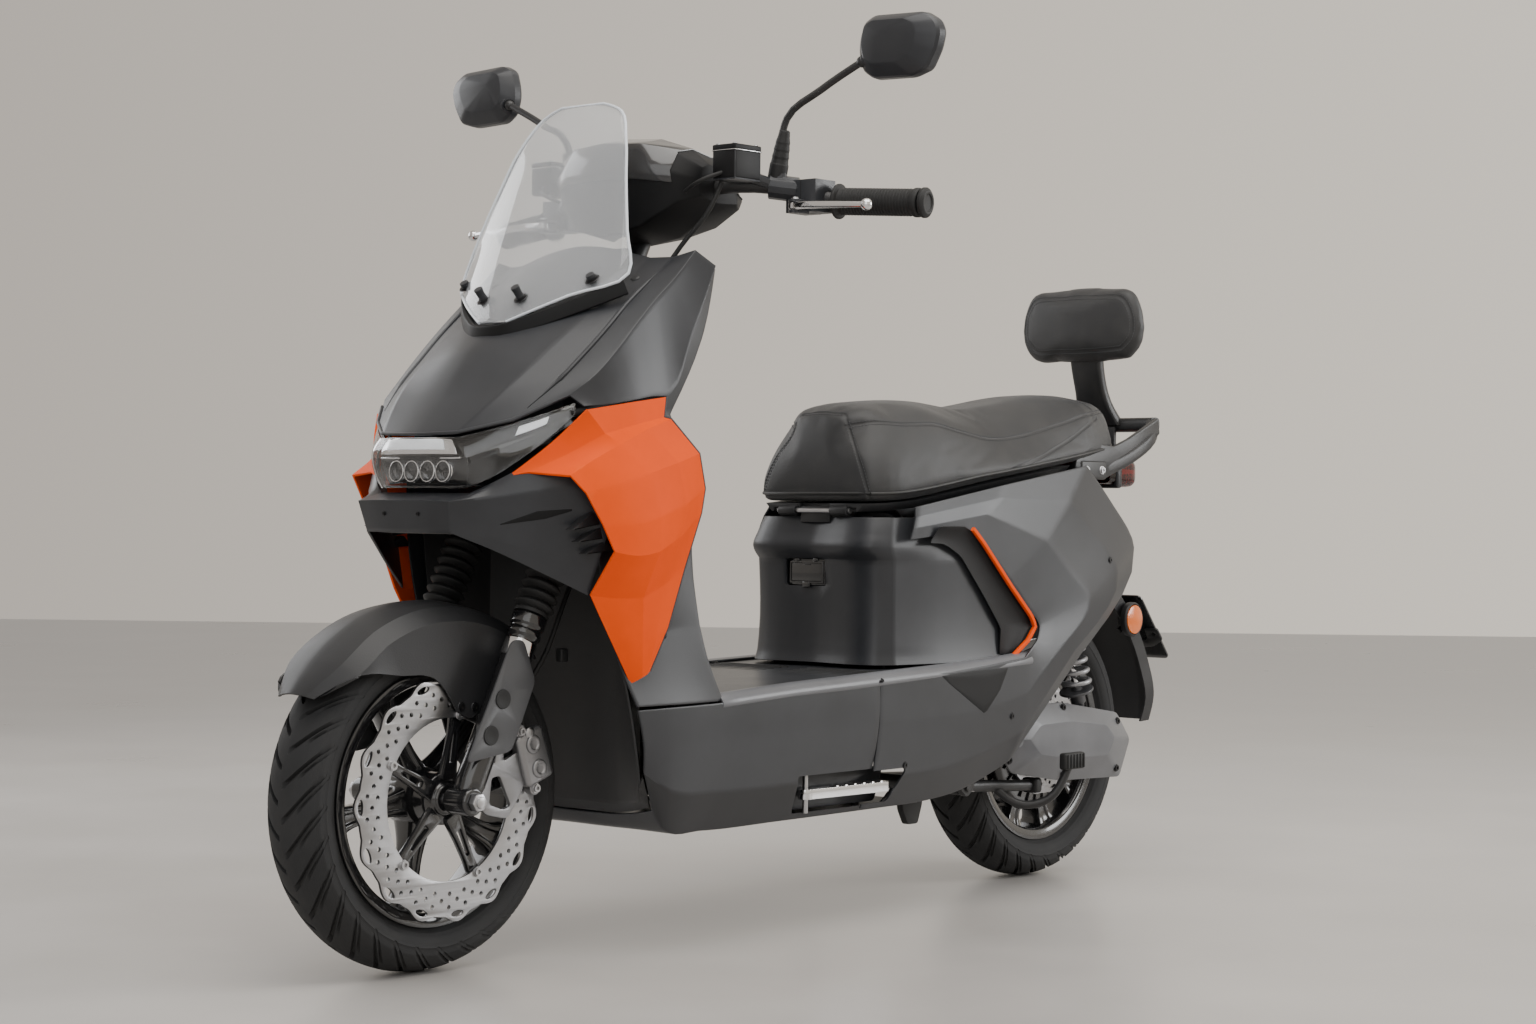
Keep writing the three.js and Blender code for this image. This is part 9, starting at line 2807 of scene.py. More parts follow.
class RearSizes(bpy.types.PropertyGroup):
    spring_turns: bpy.props.FloatProperty(
        name="Spring turns", description="Turns of the rear spring", default=9.0, min=3)
    spring_radius: bpy.props.FloatProperty(
        name="Spring radius", description="Radius of the rear spring's wire line", default=24 * MM,
        unit="LENGTH")
    spring_wire: bpy.props.FloatProperty(
        name="Spring wire", description="Radius of the spring's wire", default=4 * MM,
        unit="LENGTH")
    motor_radius: bpy.props.FloatProperty(
        name="Motor radius", description="Radius of the hub motor's shell", default=118 * MM,
        unit="LENGTH")


class SCOOTER_OT_rear_wheel(bpy.types.Operator):
    """Make the rear tyre, the rim with the hub motor and the rear disc"""
    bl_idname = "scooter.rear_wheel"
    bl_label = "Rear wheel"

    def execute(self, context):
        wheels, sizes = context.scene.scooter_wheels, context.scene.scooter_rear
        tyre = make_tyre("rear_tyre_tread", REAR_AXLE, 50 * MM, wheels, FINISH["rear tyre rubber"])
        finished(tyre, "rear_wheel", FINISH["rear tyre rubber"], ["rear_tyre"])
        rim = lathed("rim", in_metres(filleted(RIM_OUTLINE, 2.0, closed=True)), REAR_AXLE, 120)
        r = sizes.motor_radius / MM
        shell_line = [(9, 41.8), (30, 41.8), (41, 41), (52, 38.6), (r * 0.88, 35), (r * 0.95, 33),
                      (r, 24), (r, 8), (r - 2, 6),
                      (r - 2, -6), (r, -8), (r, -24), (r * 0.95, -33), (r * 0.88, -35), (52, -38.6),
                      (41, -41), (30, -41.8), (9, -41.8)]
        shell = lathed("motor", in_metres(filleted(shell_line, 2.0, closed=True)), REAR_AXLE, 120)
        one = make_spoke("spoke", REAR_AXLE, REAR_SPOKE_STATIONS, 0.0)
        spokes = ringed(one, 10, REAR_AXLE, FINISH["gloss black paint"])
        fin = rounded_box("fin", REAR_AXLE + Vector((84, 37.0, 0)) * MM, (44 * MM, 4 * MM, 3 * MM),
                          1.2 * MM, 2)
        fins = ringed(fin, 30, REAR_AXLE, FINISH["gloss black paint"])
        other = rounded_box("fin", REAR_AXLE + Vector((84, -37.0, 0)) * MM,
                            (44 * MM, 4 * MM, 3 * MM), 1.2 * MM, 2)
        others = ringed(other, 30, REAR_AXLE, FINISH["gloss black paint"])
        for piece in (rim, shell):
            coloured(piece, FINISH["gloss black paint"])
        finished(soften(merged("rear_rim_cast", rim, shell, spokes, fins, others), CAST_TURN),
                 "rear_wheel", None,
                 ["hub_motor"])
        outline = wave_outline(92 * MM, 3.6 * MM, 10)
        slots = [oval(83 * MM, 2 * math.pi * i / 10, 15 * MM, 4.6 * MM) for i in range(10)]
        rings = [(74 * MM, 20, 0.1), (66 * MM, 20, 0.25), (58 * MM, 20, 0.4)]
        plate = drilled_disc(
            "rear_disc_plate", REAR_AXLE, 44.4 * MM, outline, 38 * MM, slots, rings,
            wheels.hole_radius, 4 * MM,
            FINISH["rear disc steel"])
        finished(plate, "rear_wheel", None, ["rear_disc"])
        places = [REAR_AXLE + Vector((47 * MM * math.cos(t), 46.4 * MM, 47 * MM * math.sin(t)))
                  for t in
                  [2 * math.pi * i / 5 for i in range(5)]]
        bolts("rear_disc_bolts", places, [LEFT] * 5, "rear_wheel", 5 * MM, 3.4 * MM, 6.5 * MM)
        ring = [REAR_AXLE + Vector((106 * MM * math.cos(t), -36.4 * MM, 106 * MM * math.sin(t)))
                for t in
                [2 * math.pi * i / 12 for i in range(12)]]
        bolts("motor_screws", ring, [-LEFT] * 12, "rear_wheel", 4 * MM, 2.4 * MM, 5.4 * MM,
              "dark bolt")
        return {"FINISHED"}


COVER_OUTLINE = [(-42, 24), (-47, 28.6), (-60, 29), (-76, 26.6), (-80, 22), (-77, 16), (-60, 16.5),
                 (-47, 18.5)]
COVER_FOOT = 116
COVER_FACE = 138


def cover_ring(shrink, y):
    mx = sum(x for x, _ in COVER_OUTLINE) / len(COVER_OUTLINE)
    mz = sum(z for _, z in COVER_OUTLINE) / len(COVER_OUTLINE)
    flat = [(mx + (x - mx) * shrink, mz + 1.2 * (1 - shrink) + (z - mz) * (shrink * 1.4 - 0.4))
            for x, z in COVER_OUTLINE]
    flat = filleted(flat, 0.7, 2, closed=True)
    return [spot(x, y / 10, z) for x, z in flat]


class SCOOTER_OT_motor_cover(bpy.types.Operator):
    """Make the faceted cover over the drive side with its screws and bosses"""
    bl_idname = "scooter.motor_cover"
    bl_label = "Motor cover"

    def execute(self, context):
        outer = lofted("cover", [cover_ring(1, COVER_FOOT), cover_ring(1, COVER_FOOT + 3),
                                 cover_ring(0.62, COVER_FACE)], angle=14.0)
        inner = lofted("inner",
                       [cover_ring(0.985, COVER_FOOT - 2), cover_ring(0.985, COVER_FOOT + 1),
                        cover_ring(0.6, COVER_FACE - 3)])
        cover = bevelled(carved(outer, inner), 1.1 * MM, 3, 18.0)
        cover.name = "motor_cover_shell"
        coloured(cover, FINISH["grey cover plastic"])
        face = surface_of(cover)
        parts = [cover]
        finished(soften(merged("motor_cover_shell", *parts), FACET_TURN), "swing", None,
                 ["motor_cover"])
        places = [spot(x, y, z) for x, y, z in ((-45.5, 12.7, 26.2), (-60, 12.9, 28.2),
                                                (-75.4, 12.7, 25.2), (-75, 12.7, 17.6),
                                                (-60, 12.9, 17.7), (-46, 12.7, 20.6))]
        places = [face.ray_cast(place + LEFT * 0.1, -LEFT)[0] or place for place in places]
        bolts("motor_cover_screws", places, [LEFT] * 6, "swing", 4.8 * MM, 3.4 * MM, 6.6 * MM,
              "dark bolt")
        bosses = [tube("boss", [spot(x, 10.0, z), spot(x, 13.5, z)], 9 * MM, 20, smooth=False)
                  for x, z in ((-47, 23.6), (-57, 22.9))]
        finished(soften(merged("motor_cover_bosses", *bosses)), "swing",
                 FINISH["grey cover plastic"])
        return {"FINISHED"}


PIVOT = (-33, 25)
SHOCK_TOP = (-60, 50)
SHOCK_FOOT = (-68, 26.4)
SHOCK_PLANE = 10.4


def disc_between(name, start, end, radius, sides=32, edge=1.2):
    """A solid round bar with softened ends."""
    length = (end - start).length / MM
    r = radius / MM
    return upright(in_metres(filleted([(0, 0), (r, 0), (r, length), (0, length)], edge)), name,
                   along(start, end),
                   sides, closed=False)


class SCOOTER_OT_swingarm(bpy.types.Operator):
    """Make the swingarm with the rear axle, the rear caliper and the spring's foot"""
    bl_idname = "scooter.swingarm"
    bl_label = "Swingarm"

    def execute(self, context):
        pivot = spot(PIVOT[0], 0, PIVOT[1])
        paint, steel = FINISH["black frame paint"], FINISH["bolt steel"]
        parts = [coloured(lathed("pivot", in_metres(filleted(
            [(8.4, -101.6), (19, -101.6), (19, 101.6), (8.4, 101.6)], 1.5, closed=True)), pivot,
                                 40), paint)]
        brace = spot(-39.5, 0, 24.5)
        parts.append(coloured(tube("brace", [brace - LEFT * 84 * MM, brace + LEFT * 84 * MM],
                                   12 * MM, 24, smooth=False), paint))
        for side in BOTH_SIDES:
            y = LEFT * side
            arm = bar_along("arm", [pivot + y * 84 * MM, pivot.lerp(REAR_AXLE, 0.5) + y * 84 * MM,
                                    REAR_AXLE + y * 84 * MM],
                            13 * MM, 15 * MM, corner=0.45)
            parts.append(coloured(arm, paint))
            parts.append(coloured(disc_between("end", REAR_AXLE + y * 70 * MM,
                                               REAR_AXLE + y * 99 * MM, 20 * MM), paint))
            parts.append(coloured(disc_between("washer", REAR_AXLE + y * 98.6 * MM,
                                               REAR_AXLE + y * 101.4 * MM, 16 * MM, 32, 0.5),
                                  steel))
            nut = upright(in_metres(filleted([(0, 0), (12, 0), (12, 7.5), (0, 7.5)], 1.4)), "nut",
                          along(REAR_AXLE + y * 101.2 * MM, REAR_AXLE + y * 110 * MM), 6,
                          closed=False)
            parts.append(coloured(nut, steel))
        parts.append(coloured(disc_between("axle", REAR_AXLE - LEFT * 112 * MM,
                                           REAR_AXLE + LEFT * 112 * MM, 8 * MM, 32), steel))
        foot = spot(SHOCK_FOOT[0], 0, SHOCK_FOOT[1])
        lug = [(foot.x - 12 * MM, foot.z + 12 * MM), (foot.x + 12 * MM, foot.z + 12 * MM),
               (foot.x + 36 * MM, REAR_AXLE.z - 3 * MM), (foot.x, REAR_AXLE.z - 8 * MM)]
        lug = filleted(lug, 8 * MM, 4, closed=True)
        parts.append(coloured(flat_plate("lug", [lug], 6 * MM, beside(Vector((0, 92 * MM, 0))),
                                         1 * MM), paint))
        parts.append(coloured(disc_between("pin", foot + LEFT * 93 * MM, foot + LEFT * 113 * MM,
                                           5.9 * MM, 24), steel))
        turn = Matrix.Translation(REAR_AXLE) @ Matrix.Rotation(-math.radians(28), 4, "Y")
        for low, high, near, far in ((47.8, 77, 74, 104), (37.4, 48.2, 94, 104),
                                     (37.8, 41, 84, 104)):
            box = rounded_box("caliper", Vector(((near + far) / 2, (low + high) / 2, 0)) * MM,
                              (abs(far - near) * MM, (high - low) * MM, 46 * MM), 3 * MM, 3)
            parts.append(coloured(settled(box, turn), FINISH["cast grey"]))
        clasp = tube("clasp",
                     [REAR_AXLE + Vector((69, 76, 33)) * MM,
                      REAR_AXLE + Vector((64.4, 80, 0)) * MM], 9 * MM, 16, smooth=False)
        parts.append(coloured(clasp, paint))
        finished(soften(merged("swingarm_weldment", *parts)), "swing", None,
                 ["swingarm"])
        return {"FINISHED"}


class SCOOTER_OT_shock(bpy.types.Operator):
    """Make the rear spring and damper"""
    bl_idname = "scooter.shock"
    bl_label = "Rear spring"

    def execute(self, context):
        sizes = context.scene.scooter_rear
        top, foot = spot(SHOCK_TOP[0], SHOCK_PLANE,
                         SHOCK_TOP[1]), spot(SHOCK_FOOT[0], SHOCK_PLANE, SHOCK_FOOT[1])
        down = along(top, foot)
        span = (foot - top).length / MM
        eye = [(6.9, -7), (12, -7), (12, 7), (6.9, 7)]
        upper = [lathed("eye", in_metres(filleted(eye, 1, closed=True)), top, 36)]
        upper.append(upright(in_metres(filleted(
            [(0, 8), (7, 8), (9, 18), (28, 22), (28, 27.6), (15.4, 28), (15.4, 108), (13.6, 112),
             (13.6, 119), (6.6, 119.6), (6.6, 34), (0, 34)], 1.2)),
                             "tube", down, 40, closed=False))
        for piece in upper:
            coloured(piece, FINISH["black frame paint"])
        finished(soften(merged("shock_upper_body", *upper)), "shock_upper", None,
                 ["shock_body"])
        lower = [coloured(lathed("eye", in_metres(filleted(eye, 1, closed=True)), foot, 36),
                          FINISH["cast grey"])]
        seat = span - 41
        lower.append(coloured(upright(in_metres(filleted(
            [(0, span - 8), (7, span - 8), (9, seat + 20), (12, seat + 18), (12, seat + 4),
             (28, seat), (28, seat - 4), (10, seat - 4),
             (6, seat - 10), (0, seat - 10)], 1.2)), "cup", down, 40, closed=False),
                              FINISH["cast grey"]))
        lower.append(coloured(disc_between("rod", down @ Vector((0, 0, 100 * MM)),
                                           down @ Vector((0, 0, (span - 44) * MM)), 5.9 * MM, 28),
                              FINISH["polished metal"]))
        finished(soften(merged("shock_lower_body", *lower)), "shock_lower", None,
                 ["shock_rod"])
        start, end = 28.4 * MM + sizes.spring_wire, (seat - 4.4) * MM - sizes.spring_wire
        mark = dots("spring mark", [Vector()])
        spring = TREES["coil"].on(mark, {
            "Turns": sizes.spring_turns, "Radius": sizes.spring_radius, "Length": end - start,
            "Wire": sizes.spring_wire, "Material": FINISH["spring paint"]}, 60.0)
        spring.name = "shock_coil"
        settled(spring, down @ Matrix.Translation((0, 0, start)))
        outwards(spring)
        finished(spring, "shock_upper", FINISH["spring paint"], ["shock_spring"])
        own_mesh(spring)
        return {"FINISHED"}


class SCOOTER_OT_stand(bpy.types.Operator):
    """Make the centre stand and its foot arm"""
    bl_idname = "scooter.stand"
    bl_label = "Centre stand"

    def execute(self, context):
        pivot = spot(-36, 0, 17)
        paint = FINISH["black frame paint"]
        parts = [coloured(lathed("pivot", in_metres(filleted(
            [(6.8, -101.6), (12, -101.6), (12, 101.6), (6.8, 101.6)], 1.2, closed=True)), pivot,
                                 36), paint)]
        for side in BOTH_SIDES:
            start, end = spot(-36, 9.2 * side, 17), spot(-55, 9.94 * side, 16)
            parts.append(coloured(tube("leg", [start, end], 9 * MM, 24, smooth=False), paint))
            parts.append(coloured(rounded_box("foot", end + Vector((-2 * MM, 0, 0)),
                                              (18 * MM, 30 * MM, 24 * MM), 5 * MM, 3),
                                  FINISH["soft rubber"]))
        middle = pivot.lerp(spot(-55, 0, 16), 0.25)
        parts.append(coloured(tube("tie", [middle - LEFT * 92 * MM, middle + LEFT * 92 * MM],
                                   6.3 * MM, 20, smooth=False), paint))
        arm = [spot(-46, 9.2, 16.3), spot(-48.5, 13, 13.6), spot(-51, 16, 14.5),
               spot(-53.6, 18, 19.4)]
        parts.append(coloured(tube("kick", arm, 6.7 * MM, 20), paint))
        sleeve = [spot(-44, 9.3, 16.6), spot(-39, 9.25, 16.8)]
        parts.append(coloured(tube("sleeve", sleeve, 9.4 * MM, 24, smooth=False),
                              FINISH["polished metal"]))
        pad = rounded_box("pad", spot(-54, 18.5, 20.5), (54 * MM, 14 * MM, 26 * MM), 4 * MM, 3)
        parts.append(coloured(pad, FINISH["soft rubber"]))
        for i in range(6):
            rib = rounded_box("rib", spot(-56.1 + i * 0.84, 19.0, 20.5),
                              (3.4 * MM, 8 * MM, 22 * MM), 1.2 * MM, 2)
            parts.append(coloured(rib, FINISH["soft rubber"]))
        finished(soften(merged("stand_weldment", *parts)), "stand", None,
                 ["centre_stand"])
        return {"FINISHED"}


class SCOOTER_OT_footpegs(bpy.types.Operator):
    """Make the folding footpegs"""
    bl_idname = "scooter.footpegs"
    bl_label = "Footpegs"

    def execute(self, context):
        for side, label in (("left", "peg_left"), ("right", "peg_right")):
            peg = bevelled(cad_copy("footpeg_" + side, "footpeg_%s_bar" % side), 1.2 * MM, 3)
            finished(peg, label, FINISH["polished metal"], ["footpeg_" + side])
        return {"FINISHED"}


# Frame, battery and controller


DOWN_TUBE = [(38.5, 0, 70), (33.4, 0, 55), (32, 0, 40), (30.2, 0, 28), (29.9, 0, 24)]
FLOOR_RAIL = [(31, 11, 24), (10, 11.6, 24), (-14, 11.6, 24), (-28, 11.8, 24.6)]
REAR_RAIL = [(-26, 12.2, 24.4), (-30, 12.6, 31), (-36, 12.6, 45), (-50, 12.4, 55.6),
             (-66, 11.2, 58.6), (-74, 10.4, 57.4)]
CROSS_BARS = [(30, 24.4, 12.6), (-8, 24, 11.6), (-31, 32, 12.4), (-45, 52.6, 12.2), (-66, 58.6, 11)]


# The head tube's lower and upper end along the fork, in millimetres
HEAD_TUBE_ENDS = (433.2, 603.2)


class SCOOTER_OT_frame(bpy.types.Operator):
    """Make the welded tube frame, and finish the battery and the controller"""
    bl_idname = "scooter.frame"
    bl_label = "Frame"

    def execute(self, context):
        paint = FINISH["black frame paint"]
        low, high = HEAD_TUBE_ENDS
        head = upright(in_metres(filleted([(20, low), (25, low), (25, high), (20, high)], 1.0,
                                          closed=True)), "head",
                       FORK @ Matrix.Translation((-35 * MM, 0, 0)), 40)
        parts = [head, tube("down", [spot(*p) for p in DOWN_TUBE], 21 * MM, 28)]
        for side in BOTH_SIDES:
            for line in (FLOOR_RAIL, REAR_RAIL):
                parts.append(tube("rail", [spot(x, y * side, z) for x, y, z in line], 15 * MM, 24))
        for x, z, y in CROSS_BARS:
            parts.append(tube("cross", [spot(x, -y, z), spot(x, y, z)], 12 * MM, 20, smooth=False))
        parts.append(rounded_box("tray", spot(-27.7, 0, 37.6), (250 * MM, 210 * MM, 5 * MM),
                                 1.2 * MM, 2))
        for x, rise in ((-17, 24.5), (-37, 40)):
            for side in BOTH_SIDES:
                parts.append(tube("strut",
                                  [spot(x, 10.3 * side, 37.6), spot(x + 4, 11.8 * side, rise)],
                                  4.5 * MM, 14, smooth=False))
        for x in (22, 6, -9):
            for side in BOTH_SIDES:
                parts.append(tube("post", [spot(x, 11.4 * side, 16.4), spot(x, 11.4 * side, 34.4)],
                                  6 * MM, 16, smooth=False))
        parts.append(tube("carrier", [spot(42.4, 0, 68), spot(57.6, 0, 64.6), spot(59.9, 0, 64.6)],
                          8 * MM, 20, smooth=False))
        parts.append(rounded_box("shelf", spot(-56, 0, 55.5), (90 * MM, 236 * MM, 5 * MM), 1.2 * MM,
                                 2))
        plate = [(-26, 26), (-30, 29), (-34.6, 26.4), (-38, 17), (-36, 15.4), (-30, 21)]
        plate = [(MIDDLE_X + x * CM, z * CM) for x, z in plate]
        plate = filleted(plate, 8 * MM, 4, closed=True)
        for side in BOTH_SIDES:
            parts.append(flat_plate("lug", [plate], 10.6 * MM, beside(LEFT * 110.5 * MM * side),
                                    1.2 * MM))
            parts.append(disc_between("boss", spot(-33, 10.5 * side, 25),
                                      spot(-33, 11.6 * side, 25), 15 * MM))
        parts.append(disc_between("pivot", spot(-33, -12.4, 25), spot(-33, 12.4, 25), 7.9 * MM))
        parts.append(disc_between("pivot", spot(-36, -12, 17), spot(-36, 12, 17), 6.3 * MM))
        top = spot(SHOCK_TOP[0], 0, SHOCK_TOP[1])
        bracket = [(top.x - 12 * MM, top.z - 12 * MM), (top.x + 12 * MM, top.z - 12 * MM),
                   (top.x + 12 * MM, 574 * MM),
                   (top.x - 12 * MM, 578 * MM)]
        parts.append(flat_plate("bracket", [filleted(bracket, 5 * MM, 3, closed=True)], 6 * MM,
                                beside(LEFT * 115.5 * MM), 1 * MM))
        parts.append(disc_between("pin", top + LEFT * 96 * MM, top + LEFT * 114 * MM, 5.9 * MM, 24))
        for part in parts:
            coloured(part, paint)
        finished(soften(merged("frame_weldment", *parts)), "frame", None,
                 ["main_frame"])
        battery = bevelled(cad_copy("battery_pack", "battery_case"), 3 * MM, 3)
        finished(battery, "frame", FINISH["battery case"], ["battery_pack"])
        controller = bevelled(cad_copy("motor_controller", "controller_case"), 2 * MM, 3)
        finished(controller, "frame", FINISH["cast grey"], ["motor_controller"])
        fins = [rounded_box("fin", spot(-51.4 - 1.0 * i, 0, 60.4), (2.4 * MM, 112 * MM, 8 * MM),
                            0.9 * MM, 2) for i in range(10)]
        finished(soften(merged("controller_fins", *fins)), "frame", FINISH["cast grey"])
        return {"FINISHED"}


# Handlebar, its cover and the dash


class ControlSizes(bpy.types.PropertyGroup):
    grip_rib_pitch: bpy.props.FloatProperty(
        name="Grip rib pitch", description="From one rib of the grips to the next",
        default=4.6 * MM, unit="LENGTH")
    grip_radius: bpy.props.FloatProperty(
        name="Grip radius", description="Radius of the grips", default=18 * MM, unit="LENGTH")
    lever_thickness: bpy.props.FloatProperty(
        name="Lever thickness", description="Thickness of the brake levers", default=9 * MM,
        unit="LENGTH")


BAR_LEFT = [(15.5, 27, 101.3), (17.5, 22, 103), (23.5, 12, 103.5), (22.4, 0, 100.4)]
GRIP_FOOT = (15.5, 27, 101.3)
GRIP_END = (13.1, 39, 100.6)
COVER_SECTIONS = [
    (12.8, [(27.5, 104.2), (26.8, 105.8), (25.5, 106.4), (21.5, 105.6), (19.4, 102.6),
            (19.6, 101.4), (23.5, 101.2), (27, 102)]),
    (10.8, [(31, 105), (29.4, 107.8), (26.4, 108.4), (20.5, 107.2), (16.2, 102.4), (17, 100.9),
            (23.4, 99.6), (29.6, 101)]),
    (6.2, [(33.6, 105.4), (31.8, 108.8), (27.6, 109.8), (20.2, 108.2), (14.8, 102), (16.4, 98.8),
           (24, 96.8), (32, 97.8)]),
    (0, [(34.5, 105.4), (33, 109), (28, 110.2), (20, 108.6), (14.2, 101.6), (16, 97.6), (24, 95.9),
         (33, 96.5)]),
]


def mirror_point(point):
    return (point[0], -point[1], point[2])


# The dash leans back by so many degrees, and carries a dial of plain marks
DASH_LEAN = 36
DIAL_MARKS = 13
DIAL_RADIUS = 17 * MM


class SCOOTER_OT_handlebar(bpy.types.Operator):
    """Make the handlebar with its clamp, the bar's end weights and the cover with its dash"""
    bl_idname = "scooter.handlebar"
    bl_label = "Handlebar and dash"

    def execute(self, context):
        line = [GRIP_END] + BAR_LEFT + [mirror_point(p)
                                        for p in reversed(BAR_LEFT[:-1])] + [mirror_point(GRIP_END)]
        bar = tube("bar", [spot(*p) for p in line], 10.8 * MM, 24)
        clamp = upright(in_metres(filleted([(0, 868.4), (21, 868.4), (21, 892), (0, 892)], 2)),
                        "clamp",
                        FORK @ Matrix.Translation((-35 * MM, 0, 0)), 40, closed=False)
        block = rounded_box("block", spot(22.2, 0, 100.9), (42 * MM, 62 * MM, 34 * MM), 5 * MM, 3)
        for piece in (bar, clamp, block):
            coloured(piece, FINISH["black frame paint"])
        finished(soften(merged("handlebar_tube", bar, clamp, block)), "steering", None,
                 ["handlebar"])
        rings = []
        stations = [(y, ring) for y, ring in COVER_SECTIONS]
        stations += [(-y, ring) for y, ring in reversed(COVER_SECTIONS[:-1])]
        for y, ring in stations:
            flat = filleted(ring, 0.35, 3, closed=True)
            rings.append([spot(x, y, z) for x, z in flat])
        cover = lofted("handlebar_cover_shell", rings, angle=12.0)
        face = surface_of(cover)
        seat = rounded_box("seat", spot(17.2, 0, 104.9), (30 * MM, 158 * MM, 64 * MM), 6 * MM, 4,
                           Matrix.Rotation(math.radians(DASH_LEAN), 4, "Y"))
        cover = carved(cover, seat)
        cover = bevelled(cover, 1.6 * MM, 3, 34.0)
        finished(cover, "steering", FINISH["insert plastic"],
                 ["handlebar_cover"])
        tilt = Matrix.Translation(spot(18.4, 0,
                                       104.3)) @ Matrix.Rotation(math.radians(DASH_LEAN - 90), 4,
                                                                 "Y")
        frame_outline = box_outline(29 * MM, 76 * MM, 9 * MM, 5)
        glass_outline = box_outline(24 * MM, 70 * MM, 7 * MM, 5)
        frame_piece = flat_plate("dash_frame", [frame_outline, glass_outline], 7 * MM, tilt,
                                 1.4 * MM)
        finished(frame_piece, "steering", FINISH["matt dark plastic"])
        glass = flat_plate("dash_glass", [glass_outline], 3 * MM, tilt, 0.6 * MM)
        finished(glass, "steering", FINISH["screen glass"])
        dial = []
        for i in range(DIAL_MARKS):
            angle = math.radians(-30 + 20 * i)
            mark = rounded_box("mark",
                               Vector((DIAL_RADIUS * math.sin(angle), DIAL_RADIUS * math.cos(angle),
                                       1.9 * MM)),
                               (1.2 * MM, 3.4 * MM, 0.6 * MM), 0.2 * MM, 1)
            turned = settled(mark, Matrix.Identity(4))
            dial.append(settled(turned, tilt))
        finished(soften(merged("dash_marks", *dial)), "steering", FINISH["white light"])
        rows = []
        for y, ring in stations[1:-1]:
            shift = 0.5 if abs(y) > 8 else 1.0
            low, front, top, rear = ring[:4]
            corner = (low[0] - 0.4, low[1] - 1.6)
            rows.append([spot(x + 0.3 * shift, y * 1.01, z + 0.28 * shift)
                         for x, z in (corner, low, front, top, rear)])
        visor = skin("dash_visor", rows, spot(24, 0, 98), 3 * MM, 0, 1.0 * MM)
        finished(visor, "steering", FINISH["gloss black paint"])
        seam = []
        for y, ring in COVER_SECTIONS:
            seam.append(face.find_nearest(spot(ring[4][0] + 0.1, y, ring[4][1] + 0.2))[0])
        seam = seam + [Vector((p.x, -p.y, p.z)) for p in reversed(seam[:-1])]
        seam = [face.find_nearest(p)[0] for p in spline(seam, EVEN_STEPS)]
        groove = tube("handlebar_cover_joint", seam, 1.5 * MM, 8, smooth=False)
        finished(groove, "steering", FINISH["deep shadow"])
        for side, label in NAMED_SIDES:
            start = spot(*(GRIP_END if side > 0 else mirror_point(GRIP_END)))
            foot = spot(*(GRIP_FOOT if side > 0 else mirror_point(GRIP_FOOT)))
            way = (start - foot).normalized()
            weight = upright(in_metres(filleted([(0, 0), (14, 0), (20.5, 2), (20.5, 7),
                                                 (15.5, 10.5), (12, 10), (11, 8), (0, 8)], 1.2)),
                             "weight",
                             along(start + way * 8.6 * MM, start + way * 30 * MM), 36, closed=False)
            finished(soften(merged("bar_end_" + label, weight)), "steering",
                     FINISH["soft rubber"])
        return {"FINISHED"}


class SCOOTER_OT_grips(bpy.types.Operator):
    """Make the ribbed grips with their flanges"""
    bl_idname = "scooter.grips"
    bl_label = "Grips"

    def execute(self, context):
        sizes = context.scene.scooter_controls
        r = sizes.grip_radius / MM
        for side, label, body, node in ((1, "left", "steering", "left_grip"),
                                        (-1, "right", "throttle", "throttle_grip")):
            foot, end = spot(*GRIP_FOOT), spot(*GRIP_END)
            if side < 0:
                foot.y, end.y = -foot.y, -end.y
            way = (end - foot).normalized()
            length = (end - foot).length / MM
            outline = [(12.2, 3), (22.5, 3), (24, 4.4), (24, 7.6), (22, 9), (r, 10.5),
                       (r - 0.3, length * 0.5), (r, length - 4),
                       (r + 1.8, length), (r + 1.8, length + 5), (r, length + 7.4),
                       (12.2, length + 7.4)]
            core = upright(in_metres(filleted(outline, 0.7, 3, closed=True)), "core",
                           along(foot, end), 64)
            start, stop = foot + way * 17 * MM, end - way * 8 * MM
            ribs = TREES["ribs"].on(edge_line("rib line",
                                              [start.lerp(stop, i / 20) for i in range(21)]), {
                "Pitch": sizes.grip_rib_pitch, "Ring Radius": sizes.grip_radius - 0.3 * MM,
                "Thickness": 1.0 * MM,
                "Material": FINISH["soft rubber"]}, 50.0)
            coloured(core, FINISH["soft rubber"])
            grip = merged("%s_grip_rubber" % label, core, ribs)
            finished(soften(grip, ROUND_TURN), body, None, [node])
        return {"FINISHED"}


LEVER_PIVOT = (20.6, 24.2, 100.4)
LEVER_LINE = [LEVER_PIVOT, (22.6, 27, 100.2), (22.6, 33, 99.9), (21.9, 37.6, 99.7)]
HOUSING = (16.7, 23.6, 102)
RESERVOIR = (25, 17.5, 106)


